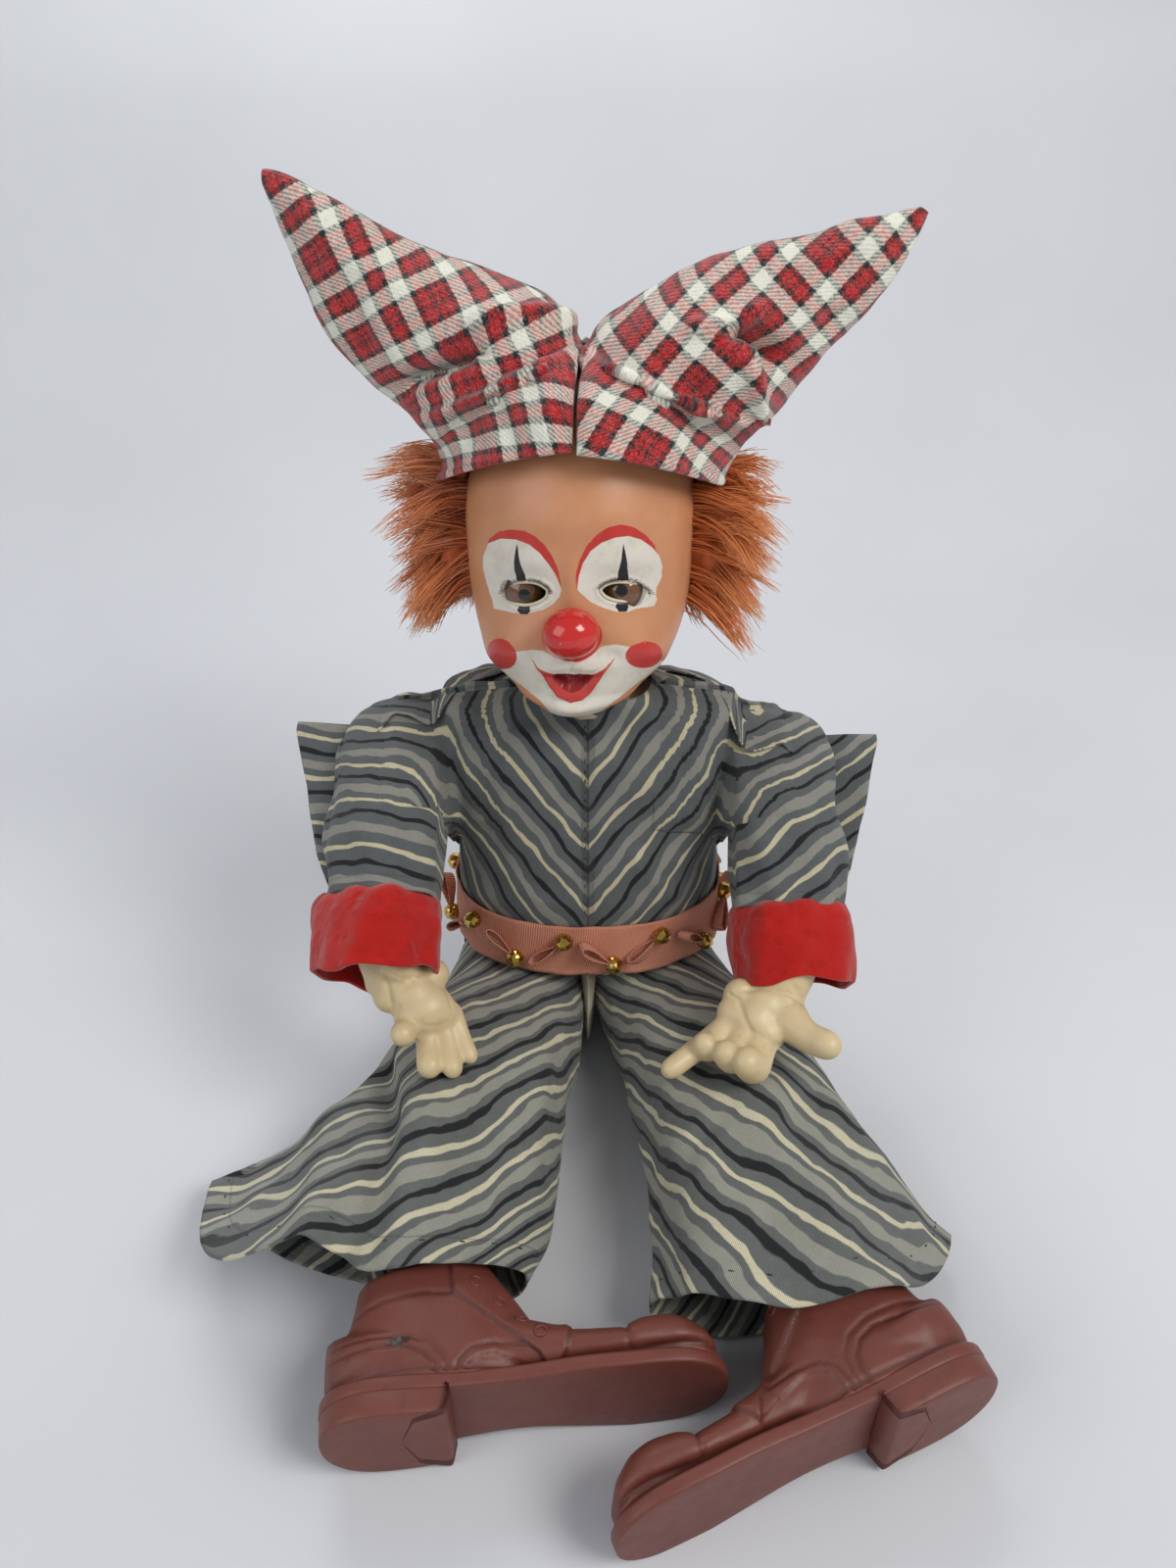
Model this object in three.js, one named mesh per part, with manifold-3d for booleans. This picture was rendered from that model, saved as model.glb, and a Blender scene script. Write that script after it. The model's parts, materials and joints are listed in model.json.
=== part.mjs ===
// A seated clown doll: a turning vinyl head with sleeping eyes, a soft hat with two horns, a stuffed
// cloth body in a striped suit, vinyl hands and rubber boots. Millimetres, +Z up. The doll faces -Y,
// its left side is +X, and the origin is on the floor in the middle of the flat seat.
import * as THREE from "three";
import { mergeVertices } from "three/addons/utils/BufferGeometryUtils.js";
import Module from "manifold-3d";

const library = await Module();
library.setup();

// Clearances and walls
const GAP = 0.4;
const SWING_GAP = 0.8;
const CLOTH = 1.8;
const FELT = 2.4;
const VINYL = 3.2;
const FLOOR_GAP = 0.3;
const MESH_TOLERANCE = 0.02;
const SEAT_GAP = 0.15;

// Facets round the large forms and the small ones
const SIDES = 20;
const SMALL_SIDES = 12;
const ANKLE_BORE_SIDES = 24;

// Torso and suit
const WAIST_HALF_WIDTH = 59;
const WAIST_HALF_DEPTH = 42;
const CHEST_HALF_WIDTH = 61;
const CHEST_HALF_DEPTH = 37;
const TORSO_LIMIT = 61;
const BELLY_Y = -24;
const CHEST_Y = -15;
const SHOULDER_TOP = 170;
const COLLAR_TOP = 181;
const COLLAR_RADIUS = 25;
const WAIST_SEAM = 70;

// Belt of ribbon, with beads and ribbon loops
const BELT_WIDTH = 25.4;
const BELT_THICKNESS = 1;
const BELT_Z = 70;
const BEAD_COUNT = 16;
const BEAD_RADIUS = 4;
const BEAD_RAISE = 6;
const LOOP_LENGTH = 15;
const LOOP_WIDTH = 6;
const LOOP_WALL = 0.8;
const LOOP_DEPTH = 4.5;
const LOOP_SLANT = 40;

// Neck and head
const HEAD_X = -2.5;
const HEAD_Y = -16;
const HEAD_Z = 237;
const HEAD_TILT = -10;
const HEAD_YAW = -4;
const HEAD_HALF_WIDTH = 44;
const HEAD_HALF_DEPTH = 48;
const CROWN_Z = 60.5;
const CHIN_Z = -57;
const NECK_Y = 4;
const NECK_TOP = -62;
const NECK_RADIUS = 15;
const NECK_PLUG_RADIUS = 12.5;
const NECK_PLUG_LENGTH = 14;
const CLOTH_NECK_RADIUS = 17;
const CLOTH_NECK_LENGTH = 20;
const TIE_RADIUS = 1.5;

// Face
const EYE_X = 18;
const EYE_Y = -31;
const EYE_Z = -8.5;
const EYE_RADIUS = 10.5;
const EYE_SLOT_HALF_WIDTH = 8.6;
const EYE_SLOT_HALF_HEIGHT = 5.4;
const EYE_BAR_RADIUS = 2;
const WEIGHT_RADIUS = 4.5;
const WEIGHT_LENGTH = 9;
const WEIGHT_DROP = 11;
const WEIGHT_LEAN = 25;
const NOSE_RADIUS = 9.2;
const NOSE_Z = -21;
const MOUTH_Z = -43;
const MOUTH_HALF_WIDTH = 13.5;
const MOUTH_HALF_HEIGHT = 5;
const MOUTH_DEPTH = 1.6;
const EAR_Z = -9;
const EAR_HALF_HEIGHT = 13;
const EAR_HALF_DEPTH = 8;
const EAR_HALF_WIDTH = 4.5;

// Hair
const HAIR_SPLIT = 40;
const HAIR_REACH = 79;
const HAIR_BOTTOM = -33;

// Hat
const HAT_RIM_HALF_WIDTH = 54;
const HAT_RIM_HALF_DEPTH = 52.5;
const HAT_RIM_FRONT = 40;
const HAT_RIM_SIDE = 25;
const HAT_RIM_BACK = 14;
const HAT_NOTCH_Z = 78;
const HAT_HEAD_GAP = 0.5;
const HAT_TIP_RADIUS = 1.6;
const HORN_TIP_X = { left: 120.5, right: 113.5 };
const HORN_TIP_Z = { left: 118, right: 130 };

// Arms, from the shoulder's hinge centre
const SHOULDER_X = 78;
const SHOULDER_Y = -22;
const SHOULDER_Z = 150;
const ARM_SWING = { left: 46, right: 57 };
const ARM_LENGTH = 88;
const ARM_ROOT_RADIUS = 19.8;
const WRIST_RADIUS = 12.5;
const SLEEVE_ROOT_RADIUS = 22.5;
const SLEEVE_RADIUS = 23.5;
const SLEEVE_END = ARM_LENGTH - 15;
const SLEEVE_END_RADIUS = 21;
const FIN_REACH = 49;
const FIN_TOP = 11;
const FIN_THICKNESS = 3.6;
const FIN_FORWARD = 6.1;
const CUFF_END = ARM_LENGTH + 15;
const CUFF_RADIUS = 21.5;

// Hands, from the wrist
const PLUG_RADIUS = 8;
const PLUG_LENGTH = 14;
const HAND_WRIST_RADIUS = 11.5;
const HAND_NECK = 11.5;
const PALM_LENGTH = 33;
const PALM_HALF_WIDTH = 15;
const PALM_HALF_THICKNESS = 7.5;
const FINGER_RADIUS = 4.3;
const THUMB_RADIUS = 5;

// Legs, from the hip's hinge centre
const HIP_X = 35;
const HIP_Y = -42;
const HIP_Z = 28;
const HIP_HALF_WIDTH = 27;
const TROUSER_ROOT_RADIUS = 27;
const THIGH_RADIUS = 23.5;
const ANKLE_RADIUS = 14;
const ANKLE_Z = 27;
const LEG_SPLAY = { left: 19, right: 9 };
const LEG_LENGTH = 196;
const CROTCH_HALF_WIDTH = 7;
const HEM_ANGLE = { left: 18, right: 22 };
const HEM_DISTANCE = { left: LEG_LENGTH - 41, right: LEG_LENGTH - 55.5 };
const HEM_HALF_WIDTH = { left: 60, right: 64 };
const HEM_HALF_HEIGHT = 28.5;
const HEM_BULGE = 22;
const UNDER_BULGE = 0.3;
const HEM_FOLDS = 7;

// Boots, in a frame with the sole below and the toe forward
const BOOT_LENGTH = 139;
const BOOT_HALF_WIDTH = 23;
const BOOT_HEEL_BACK = 32;
const BOOT_SOLE = 36;
const BOOT_COLLAR_RADIUS = 18.5;
const BOOT_TOE_HEIGHT = 20;
const BOOT_SQUARENESS = 2.5;
const FOOT_SQUARENESS = 3;
const SOLE_THICKNESS = 5;
const HEEL_HEIGHT = 8;
const HEEL_LENGTH = 44;
const BOOT_TOE = { left: [-0.92, -0.39, -0.05], right: [0.99, 0.1, 0] };
const BOOT_UP = { left: [-0.26, 0.93, 0.06], right: [-0.05, 0.95, 0.06] };
const BOOT_COLLAR_AT = { left: LEG_LENGTH - 18, right: LEG_LENGTH - 26 };

const sideSign = { left: 1, right: -1 };
const radians = THREE.MathUtils.degToRad;

function vector(x, y, z) {
  return new THREE.Vector3(x, y, z);
}

// A closed ring of points on a superellipse, wide along one direction and high along the other.
function ringOf({ at, right, up, wide, high, power = 2, sides = SIDES, lift = null }) {
  const points = [];
  for (let i = 0; i < sides; i++) {
    const angle = (2 * Math.PI * i) / sides;
    const across = Math.sign(Math.cos(angle)) * Math.abs(Math.cos(angle)) ** (2 / power);
    const along = Math.sign(Math.sin(angle)) * Math.abs(Math.sin(angle)) ** (2 / power);
    const point = at.clone().addScaledVector(right, across * wide).addScaledVector(up, along * high);
    if (lift) {
      point.add(lift(across, along));
    }
    points.push(point);
  }
  return points;
}

// A closed skin over a stack of rings, with a fan over each end.
function loft(rings) {
  const sides = rings[0].length;
  const positions = [];
  for (const points of rings) {
    for (const point of points) {
      positions.push(point.x, point.y, point.z);
    }
  }
  const index = [];
  for (let row = 0; row + 1 < rings.length; row++) {
    for (let i = 0; i < sides; i++) {
      const a = row * sides + i;
      const b = row * sides + ((i + 1) % sides);
      index.push(a, b, b + sides, a, b + sides, a + sides);
    }
  }
  for (const last of [false, true]) {
    const points = rings[last ? rings.length - 1 : 0];
    const start = last ? (rings.length - 1) * sides : 0;
    const middle = vector(0, 0, 0);
    points.forEach((point) => middle.addScaledVector(point, 1 / sides));
    const centre = positions.length / 3;
    positions.push(middle.x, middle.y, middle.z);
    for (let i = 0; i < sides; i++) {
      const a = start + i;
      const b = start + ((i + 1) % sides);
      index.push(centre, last ? a : b, last ? b : a);
    }
  }
  const geometry = new THREE.BufferGeometry();
  geometry.setAttribute("position", new THREE.Float32BufferAttribute(positions, 3));
  geometry.setIndex(index);
  return geometry;
}

// Six times the signed volume of an indexed mesh: negative where its faces point in.
function signedVolume(positions, index) {
  const corners = [vector(0, 0, 0), vector(0, 0, 0), vector(0, 0, 0)];
  let total = 0;
  for (let i = 0; i < index.length; i += 3) {
    corners.forEach((corner, k) => corner.fromArray(positions, 3 * index[i + k]));
    total += corners[0].dot(corners[1].clone().cross(corners[2]));
  }
  return total;
}

// The geometry as a solid that can be joined and cut.
function solidOf(geometry) {
  const bare = geometry.clone();
  bare.deleteAttribute("normal");
  bare.deleteAttribute("uv");
  const merged = mergeVertices(bare, 1e-4);
  const positions = new Float32Array(merged.getAttribute("position").array);
  const kept = [];
  const index = merged.index.array;
  for (let i = 0; i < index.length; i += 3) {
    const [a, b, c] = [index[i], index[i + 1], index[i + 2]];
    if (a !== b && b !== c && c !== a) {
      kept.push(a, b, c);
    }
  }
  const outward = signedVolume(positions, kept) > 0;
  const triangles = new Uint32Array(kept.length);
  for (let i = 0; i < kept.length; i += 3) {
    triangles.set(outward ? [kept[i], kept[i + 1], kept[i + 2]] : [kept[i], kept[i + 2], kept[i + 1]], i);
  }
  const mesh = new library.Mesh({ numProp: 3, vertProperties: positions, triVerts: triangles });
  return new library.Manifold(mesh);
}

function geometryOf(manifold) {
  const mesh = manifold.getMesh();
  const geometry = new THREE.BufferGeometry();
  geometry.setAttribute("position", new THREE.Float32BufferAttribute(mesh.vertProperties, 3));
  geometry.setIndex(Array.from(mesh.triVerts));
  return geometry;
}

// A limb through stations { at, wide, high }, wide along `across` and high square to it.
function limb(stations, { across = vector(1, 0, 0), grow = 0, sides = SIDES, ends = grow } = {}) {
  const rings = stations.map((station, i) => {
    const before = stations[Math.max(i - 1, 0)].at;
    const after = stations[Math.min(i + 1, stations.length - 1)].at;
    const along = station.facing ?? after.clone().sub(before).normalize();
    const right = across.clone().addScaledVector(along, -across.dot(along)).normalize();
    const up = right.clone().cross(along);
    const at = station.at.clone();
    if (i === 0) {
      at.addScaledVector(along, -ends);
    }
    if (i === stations.length - 1) {
      at.addScaledVector(along, ends);
    }
    const { wide, high, power = 2, lift = null } = station;
    return ringOf({ at, right, up, wide: wide + grow, high: high + grow, power, sides, lift });
  });
  return solidOf(loft(rings));
}

// The largest body of a solid, without the slivers that a cut leaves.
function mainBody(manifold) {
  return manifold.decompose().sort((a, b) => b.volume() - a.volume())[0];
}

function rod(from, to, radius, sides = SIDES) {
  const stations = [from, to].map((at) => ({ at, wide: radius, high: radius }));
  const steep = Math.abs(to.x - from.x) > Math.abs(to.z - from.z) + Math.abs(to.y - from.y);
  return limb(stations, { across: steep ? vector(0, 1, 0) : vector(1, 0, 0), sides });
}

function ellipsoid(at, radii, sides = SMALL_SIDES) {
  const geometry = new THREE.SphereGeometry(1, sides, Math.round(sides * 0.6));
  geometry.scale(radii.x, radii.y, radii.z);
  geometry.translate(at.x, at.y, at.z);
  return solidOf(geometry);
}

function ball(at, radius, sides = SMALL_SIDES) {
  return ellipsoid(at, vector(radius, radius, radius), sides);
}

function block(low, high) {
  const size = high.clone().sub(low);
  const geometry = new THREE.BoxGeometry(size.x, size.y, size.z);
  geometry.translate(low.x + size.x / 2, low.y + size.y / 2, low.z + size.z / 2);
  return solidOf(geometry);
}

const FAR = 400;

function slab({ x = [-FAR, FAR], y = [-FAR, FAR], z = [-FAR, FAR] }) {
  return block(vector(x[0], y[0], z[0]), vector(x[1], y[1], z[1]));
}

// A finger through its knuckles, rounded at the tip.
function finger(points, radius) {
  const last = points[points.length - 1];
  const along = last.clone().sub(points[points.length - 2]).normalize();
  const stations = points.map((at) => ({ at, wide: radius, high: radius }));
  for (const [ahead, size] of [[0.7, 0.7], [1, 0.2]]) {
    const at = last.clone().addScaledVector(along, radius * ahead);
    stations.push({ at, wide: radius * size, high: radius * size });
  }
  const steep = Math.abs(along.x) > 0.7;
  return limb(stations, { across: steep ? vector(0, 1, 0) : vector(1, 0, 0), sides: 8 });
}

const materials = {
  body_cloth: new THREE.MeshStandardMaterial({ color: "#c9b9a0", roughness: 0.95, metalness: 0 }),
  suit_cloth: new THREE.MeshStandardMaterial({ color: "#6d757d", roughness: 0.9, metalness: 0 }),
  ribbon: new THREE.MeshStandardMaterial({ color: "#c87a62", roughness: 0.7, metalness: 0 }),
  gold_bead: new THREE.MeshStandardMaterial({ color: "#a98a3d", roughness: 0.25, metalness: 1 }),
  tie_cord: new THREE.MeshStandardMaterial({ color: "#d8d0bd", roughness: 0.9, metalness: 0 }),
  face_vinyl: new THREE.MeshStandardMaterial({ color: "#c98a66", roughness: 0.45, metalness: 0 }),
  hair: new THREE.MeshStandardMaterial({ color: "#c8501e", roughness: 0.8, metalness: 0 }),
  eye_plastic: new THREE.MeshStandardMaterial({ color: "#5b3a22", roughness: 0.15, metalness: 0 }),
  rocker_metal: new THREE.MeshStandardMaterial({ color: "#8d8f92", roughness: 0.45, metalness: 1 }),
  plaid_wool: new THREE.MeshStandardMaterial({ color: "#b23630", roughness: 1, metalness: 0 }),
  red_felt: new THREE.MeshStandardMaterial({ color: "#b9261d", roughness: 1, metalness: 0 }),
  hand_vinyl: new THREE.MeshStandardMaterial({ color: "#d8c48f", roughness: 0.5, metalness: 0 }),
  stocking: new THREE.MeshStandardMaterial({ color: "#1c1b1d", roughness: 0.95, metalness: 0 }),
  boot_rubber: new THREE.MeshStandardMaterial({ color: "#6e372b", roughness: 0.5, metalness: 0 }),
};

function piece(name, manifold, material) {
  const geometry = geometryOf(manifold.setTolerance(MESH_TOLERANCE));
  geometry.computeVertexNormals();
  const mesh = new THREE.Mesh(geometry, materials[material]);
  mesh.name = name;
  return mesh;
}

// Torso: level rings from the seat to the collar, all grown by the same amount.
const torsoStations = [
  { z: 0, wide: WAIST_HALF_WIDTH - 7, deep: WAIST_HALF_DEPTH - 2, y: BELLY_Y + 2 },
  { z: WAIST_SEAM - 61, wide: WAIST_HALF_WIDTH + 1, deep: WAIST_HALF_DEPTH + 4, y: BELLY_Y - 1 },
  { z: WAIST_SEAM - 38, wide: WAIST_HALF_WIDTH + 2, deep: WAIST_HALF_DEPTH + 5, y: BELLY_Y - 2 },
  { z: WAIST_SEAM, wide: WAIST_HALF_WIDTH, deep: WAIST_HALF_DEPTH, y: BELLY_Y },
  { z: WAIST_SEAM + 30, wide: WAIST_HALF_WIDTH - 1, deep: WAIST_HALF_DEPTH, y: BELLY_Y + 3 },
  { z: SHOULDER_TOP - 40, wide: CHEST_HALF_WIDTH, deep: CHEST_HALF_DEPTH + 2, y: CHEST_Y - 2 },
  { z: SHOULDER_TOP - 15, wide: CHEST_HALF_WIDTH, deep: CHEST_HALF_DEPTH - 2, y: CHEST_Y },
  { z: SHOULDER_TOP, wide: CHEST_HALF_WIDTH - 3, deep: CHEST_HALF_DEPTH - 11, y: CHEST_Y - 2 },
  { z: COLLAR_TOP - 4, wide: COLLAR_RADIUS + 12, deep: COLLAR_RADIUS - 3, y: CHEST_Y - 6 },
  { z: COLLAR_TOP, wide: COLLAR_RADIUS, deep: COLLAR_RADIUS - 4, y: CHEST_Y - 8 },
];

function torsoForm(grow) {
  const rings = torsoStations.map((station, i) => {
    const end = i === 0 ? -grow : 0;
    const at = vector(0, station.y, station.z + end);
    const [wide, high] = [station.wide + grow, station.deep + grow];
    return ringOf({ at, right: vector(1, 0, 0), up: vector(0, 1, 0), wide, high, power: 2.3 });
  });
  return solidOf(loft(rings));
}

// The room that each thigh swings in, cut from the front of the pelvis on either side of the crotch.
function hipRoom(grow) {
  const radius = TROUSER_ROOT_RADIUS + SWING_GAP + grow;
  const reach = HIP_X + HIP_HALF_WIDTH + 40;
  let room = null;
  for (const sign of [1, -1]) {
    const from = vector(sign * (CROTCH_HALF_WIDTH - grow), HIP_Y, HIP_Z);
    const to = vector(sign * reach, HIP_Y, HIP_Z);
    const [least, most] = [Math.min(from.x, to.x), Math.max(from.x, to.x)];
    const under = block(vector(least, HIP_Y - FAR, -FAR), vector(most, HIP_Y + radius, HIP_Z));
    const ahead = block(vector(least, HIP_Y - FAR, -FAR), vector(most, HIP_Y, HIP_Z + radius));
    const one = rod(from, to, radius, SIDES).add(under).add(ahead);
    room = room ? room.add(one) : one;
  }
  return room;
}

function suitSolid(grow) {
  return torsoForm(grow).subtract(hipRoom(-grow));
}

function neckFrame() {
  const group = new THREE.Group();
  group.position.set(HEAD_X, HEAD_Y, HEAD_Z);
  group.rotation.set(radians(HEAD_TILT), 0, 0);
  group.updateMatrix();
  return group.matrix;
}

function neckPoint(height) {
  return vector(0, NECK_Y, height).applyMatrix4(neckFrame());
}

function clothTorso() {
  const shrink = -(CLOTH + GAP);
  const body = suitSolid(shrink).intersect(slab({ z: [-FAR, SHOULDER_TOP - 5] }));
  const top = neckPoint(NECK_TOP - GAP);
  const neck = rod(neckPoint(NECK_TOP - CLOTH_NECK_LENGTH), top, CLOTH_NECK_RADIUS, SIDES);
  const bottom = neckPoint(NECK_TOP - NECK_PLUG_LENGTH - GAP);
  const bore = rod(bottom, neckPoint(0), NECK_PLUG_RADIUS + GAP, SIDES);
  return piece("cloth_torso", body.add(neck).subtract(bore), "body_cloth");
}

function suitShell() {
  const collar = rod(
    neckPoint(NECK_TOP - CLOTH_NECK_LENGTH),
    neckPoint(0),
    CLOTH_NECK_RADIUS + 2 * TIE_RADIUS + GAP,
  );
  const mouth = torsoForm(-CLOTH).intersect(slab({ z: [SHOULDER_TOP, FAR] }));
  return suitSolid(0).subtract(suitSolid(-CLOTH)).subtract(mouth).subtract(collar);
}

function suit() {
  const shell = suitShell();
  const bodice = shell.intersect(slab({ z: [WAIST_SEAM + GAP / 2, FAR] }));
  const seat = shell.intersect(slab({ z: [-FAR, WAIST_SEAM - GAP / 2] }));
  return [piece("bodice", bodice, "suit_cloth"), piece("trouser_seat", seat, "suit_cloth")];
}

// A cord wound round the cloth neck, just under the head.
function neckTie() {
  const profile = [];
  const sides = 6;
  for (let i = 0; i <= sides; i++) {
    const angle = (2 * Math.PI * i) / sides;
    const radius = CLOTH_NECK_RADIUS + GAP + TIE_RADIUS * (1 + Math.cos(angle));
    profile.push(new THREE.Vector2(radius, TIE_RADIUS * Math.sin(angle)));
  }
  const geometry = new THREE.LatheGeometry(profile, SIDES);
  geometry.rotateX(Math.PI / 2);
  geometry.translate(0, NECK_Y, NECK_TOP - 3 * TIE_RADIUS);
  geometry.applyMatrix4(neckFrame());
  return piece("neck_tie", solidOf(geometry), "tie_cord");
}

function beltSolid() {
  const band = slab({ z: [BELT_Z - BELT_WIDTH / 2, BELT_Z + BELT_WIDTH / 2] });
  const ring = torsoForm(GAP + BELT_THICKNESS).subtract(torsoForm(GAP)).intersect(band);
  return ring.subtract(hipRoom(0));
}

function belt() {
  return piece("belt_ribbon", beltSolid(), "ribbon");
}

// Moves a trim piece straight in until it all but touches what it is sewn to.
function seatOn(base, solid, out) {
  const spare = solid.minGap(base, 2 * BEAD_RADIUS) - SEAT_GAP;
  const step = out.clone().multiplyScalar(-spare);
  return solid.translate(step.x, step.y, step.z);
}

// Where the belt's outer face is at an angle round the waist, and which way it faces there.
function beltPlace(angle) {
  const wide = WAIST_HALF_WIDTH + GAP + BELT_THICKNESS;
  const deep = WAIST_HALF_DEPTH + GAP + BELT_THICKNESS;
  const power = 2.3;
  const place = (a) => {
    const c = Math.cos(a);
    const s = Math.sin(a);
    return vector(
      Math.sign(c) * Math.abs(c) ** (2 / power) * wide,
      BELLY_Y + Math.sign(s) * Math.abs(s) ** (2 / power) * deep,
      BELT_Z,
    );
  };
  const at = place(angle);
  const along = place(angle + 0.02).sub(place(angle - 0.02)).normalize();
  return { at, along, out: vector(along.y, -along.x, 0) };
}

// Angles round the waist that share the belt's length evenly.
function beltAngles() {
  const steps = 720;
  const lengths = [0];
  let last = beltPlace(0).at;
  for (let i = 1; i <= steps; i++) {
    const next = beltPlace((2 * Math.PI * i) / steps).at;
    lengths.push(lengths[i - 1] + next.distanceTo(last));
    last = next;
  }
  const angles = [];
  for (let k = 0; k < BEAD_COUNT; k++) {
    const wanted = ((k + 0.5) * lengths[steps]) / BEAD_COUNT;
    const i = lengths.findIndex((length) => length >= wanted);
    angles.push((2 * Math.PI * i) / steps);
  }
  return angles;
}

// One faceted bead and the ribbon loop beside it, in turn low and high on the belt.
function beltTrim() {
  const meshes = [];
  const base = beltSolid();
  beltAngles().forEach((angle, k) => {
    const number = String(k + 1).padStart(2, "0");
    const place = beltPlace(angle);
    const raised = k % 2 === 0 ? -1 : 1;
    const frame = new THREE.Matrix4().makeBasis(place.along, vector(0, 0, 1), place.out);
    frame.setPosition(place.at.clone().add(vector(0, 0, raised * BEAD_RAISE)));

    const bead = new THREE.SphereGeometry(BEAD_RADIUS, 6, 4);
    bead.translate(0, 0, BEAD_RADIUS + GAP);
    bead.applyMatrix4(frame);
    meshes.push(piece(`bead_${number}`, seatOn(base, solidOf(bead), place.out), "gold_bead"));

    const outline = new THREE.Shape();
    const hole = new THREE.Path();
    const steps = 8;
    for (const [path, inset] of [[outline, 0], [hole, LOOP_WALL]]) {
      for (let i = 0; i < steps; i++) {
        const turn = (2 * Math.PI * i) / steps;
        const along = (LOOP_LENGTH / 2) * (1 - Math.cos(turn));
        const swell = 0.35 + (0.65 * along) / LOOP_LENGTH;
        const shrink = (LOOP_LENGTH - 2 * inset) / LOOP_LENGTH;
        const x = (along - LOOP_LENGTH / 2) * shrink + LOOP_LENGTH / 2;
        const y = -Math.sin(turn) * swell * (LOOP_WIDTH - 2 * inset);
        path[i === 0 ? "moveTo" : "lineTo"](x, y);
      }
      path.closePath();
    }
    outline.holes.push(hole);
    const loop = new THREE.ExtrudeGeometry(outline, { depth: LOOP_DEPTH, bevelEnabled: false });
    loop.translate(BEAD_RADIUS + GAP, 0, 2 * GAP);
    loop.rotateZ(Math.PI + raised * radians(LOOP_SLANT));
    loop.applyMatrix4(frame);
    meshes.push(piece(`loop_${number}`, seatOn(base, solidOf(loop), place.out), "ribbon"));
  });
  return meshes;
}

// Head: level rings from the chin to the crown in the head's own frame.
const headStations = [
  { z: CHIN_Z, wide: 7, deep: 6, y: -30 },
  { z: CHIN_Z + 3, wide: 16, deep: 15, y: -27 },
  { z: CHIN_Z + 10, wide: 27, deep: 29, y: -15 },
  { z: CHIN_Z + 23, wide: HEAD_HALF_WIDTH - 7, deep: HEAD_HALF_DEPTH - 11, y: -9 },
  { z: CHIN_Z + 39, wide: HEAD_HALF_WIDTH - 1.5, deep: HEAD_HALF_DEPTH - 4, y: -2.5 },
  { z: 0, wide: HEAD_HALF_WIDTH, deep: HEAD_HALF_DEPTH - 1, y: 0 },
  { z: CROWN_Z - 42.5, wide: HEAD_HALF_WIDTH, deep: HEAD_HALF_DEPTH, y: 1 },
  { z: CROWN_Z - 26.5, wide: HEAD_HALF_WIDTH - 3.5, deep: HEAD_HALF_DEPTH - 3, y: 2 },
  { z: CROWN_Z - 12.5, wide: HEAD_HALF_WIDTH - 12, deep: HEAD_HALF_DEPTH - 11, y: 3 },
  { z: CROWN_Z - 4, wide: HEAD_HALF_WIDTH - 23, deep: HEAD_HALF_DEPTH - 24, y: 4 },
  { z: CROWN_Z, wide: 6, deep: 7, y: 4 },
];

function headForm(grow, sides = SIDES) {
  const last = headStations.length - 1;
  const rings = headStations.map((station, i) => {
    const end = i === 0 ? -grow : 0;
    const top = i === last ? grow : 0;
    const at = vector(0, station.y, station.z + end + top);
    const wide = Math.max(station.wide + grow, 1.5);
    const high = Math.max(station.deep + grow, 1.5);
    return ringOf({ at, right: vector(1, 0, 0), up: vector(0, 1, 0), wide, high, power: 2.1, sides });
  });
  return solidOf(loft(rings));
}

function ear(sign, grow) {
  const radii = vector(EAR_HALF_WIDTH + grow, EAR_HALF_DEPTH + grow, EAR_HALF_HEIGHT + grow);
  return ellipsoid(vector(sign * HEAD_HALF_WIDTH, 3, EAR_Z), radii, 10);
}

function vinylHead() {
  let head = headForm(0);
  const neckBase = vector(0, NECK_Y, CHIN_Z + 12);
  const neckEnd = vector(0, NECK_Y, NECK_TOP);
  const plugEnd = vector(0, NECK_Y, NECK_TOP - NECK_PLUG_LENGTH);
  head = head.add(rod(neckBase, neckEnd, NECK_RADIUS));
  head = head.add(rod(neckBase, plugEnd, NECK_PLUG_RADIUS));
  head = head.add(ball(vector(0, -(HEAD_HALF_DEPTH + 1.5), NOSE_Z), NOSE_RADIUS));
  head = head.add(ear(1, 0)).add(ear(-1, 0));
  const mouthAt = vector(0, -(HEAD_HALF_DEPTH - 1 + 2 * MOUTH_DEPTH), MOUTH_Z);
  const mouth = ellipsoid(mouthAt, vector(MOUTH_HALF_WIDTH, 4 * MOUTH_DEPTH, MOUTH_HALF_HEIGHT));
  head = head.subtract(mouth);
  head = head.subtract(headForm(-VINYL, 14));
  for (const sign of [1, -1]) {
    const centre = vector(sign * EYE_X, EYE_Y, EYE_Z);
    head = head.subtract(ball(centre, EYE_RADIUS + GAP, 14));
    const slot = [-HEAD_HALF_DEPTH - 10, EYE_Y].map((y) => ({
      at: vector(sign * EYE_X, y, EYE_Z),
      wide: EYE_SLOT_HALF_WIDTH,
      high: EYE_SLOT_HALF_HEIGHT,
    }));
    head = head.subtract(limb(slot, { sides: SMALL_SIDES }));
  }
  return piece("head", head, "face_vinyl");
}

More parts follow.
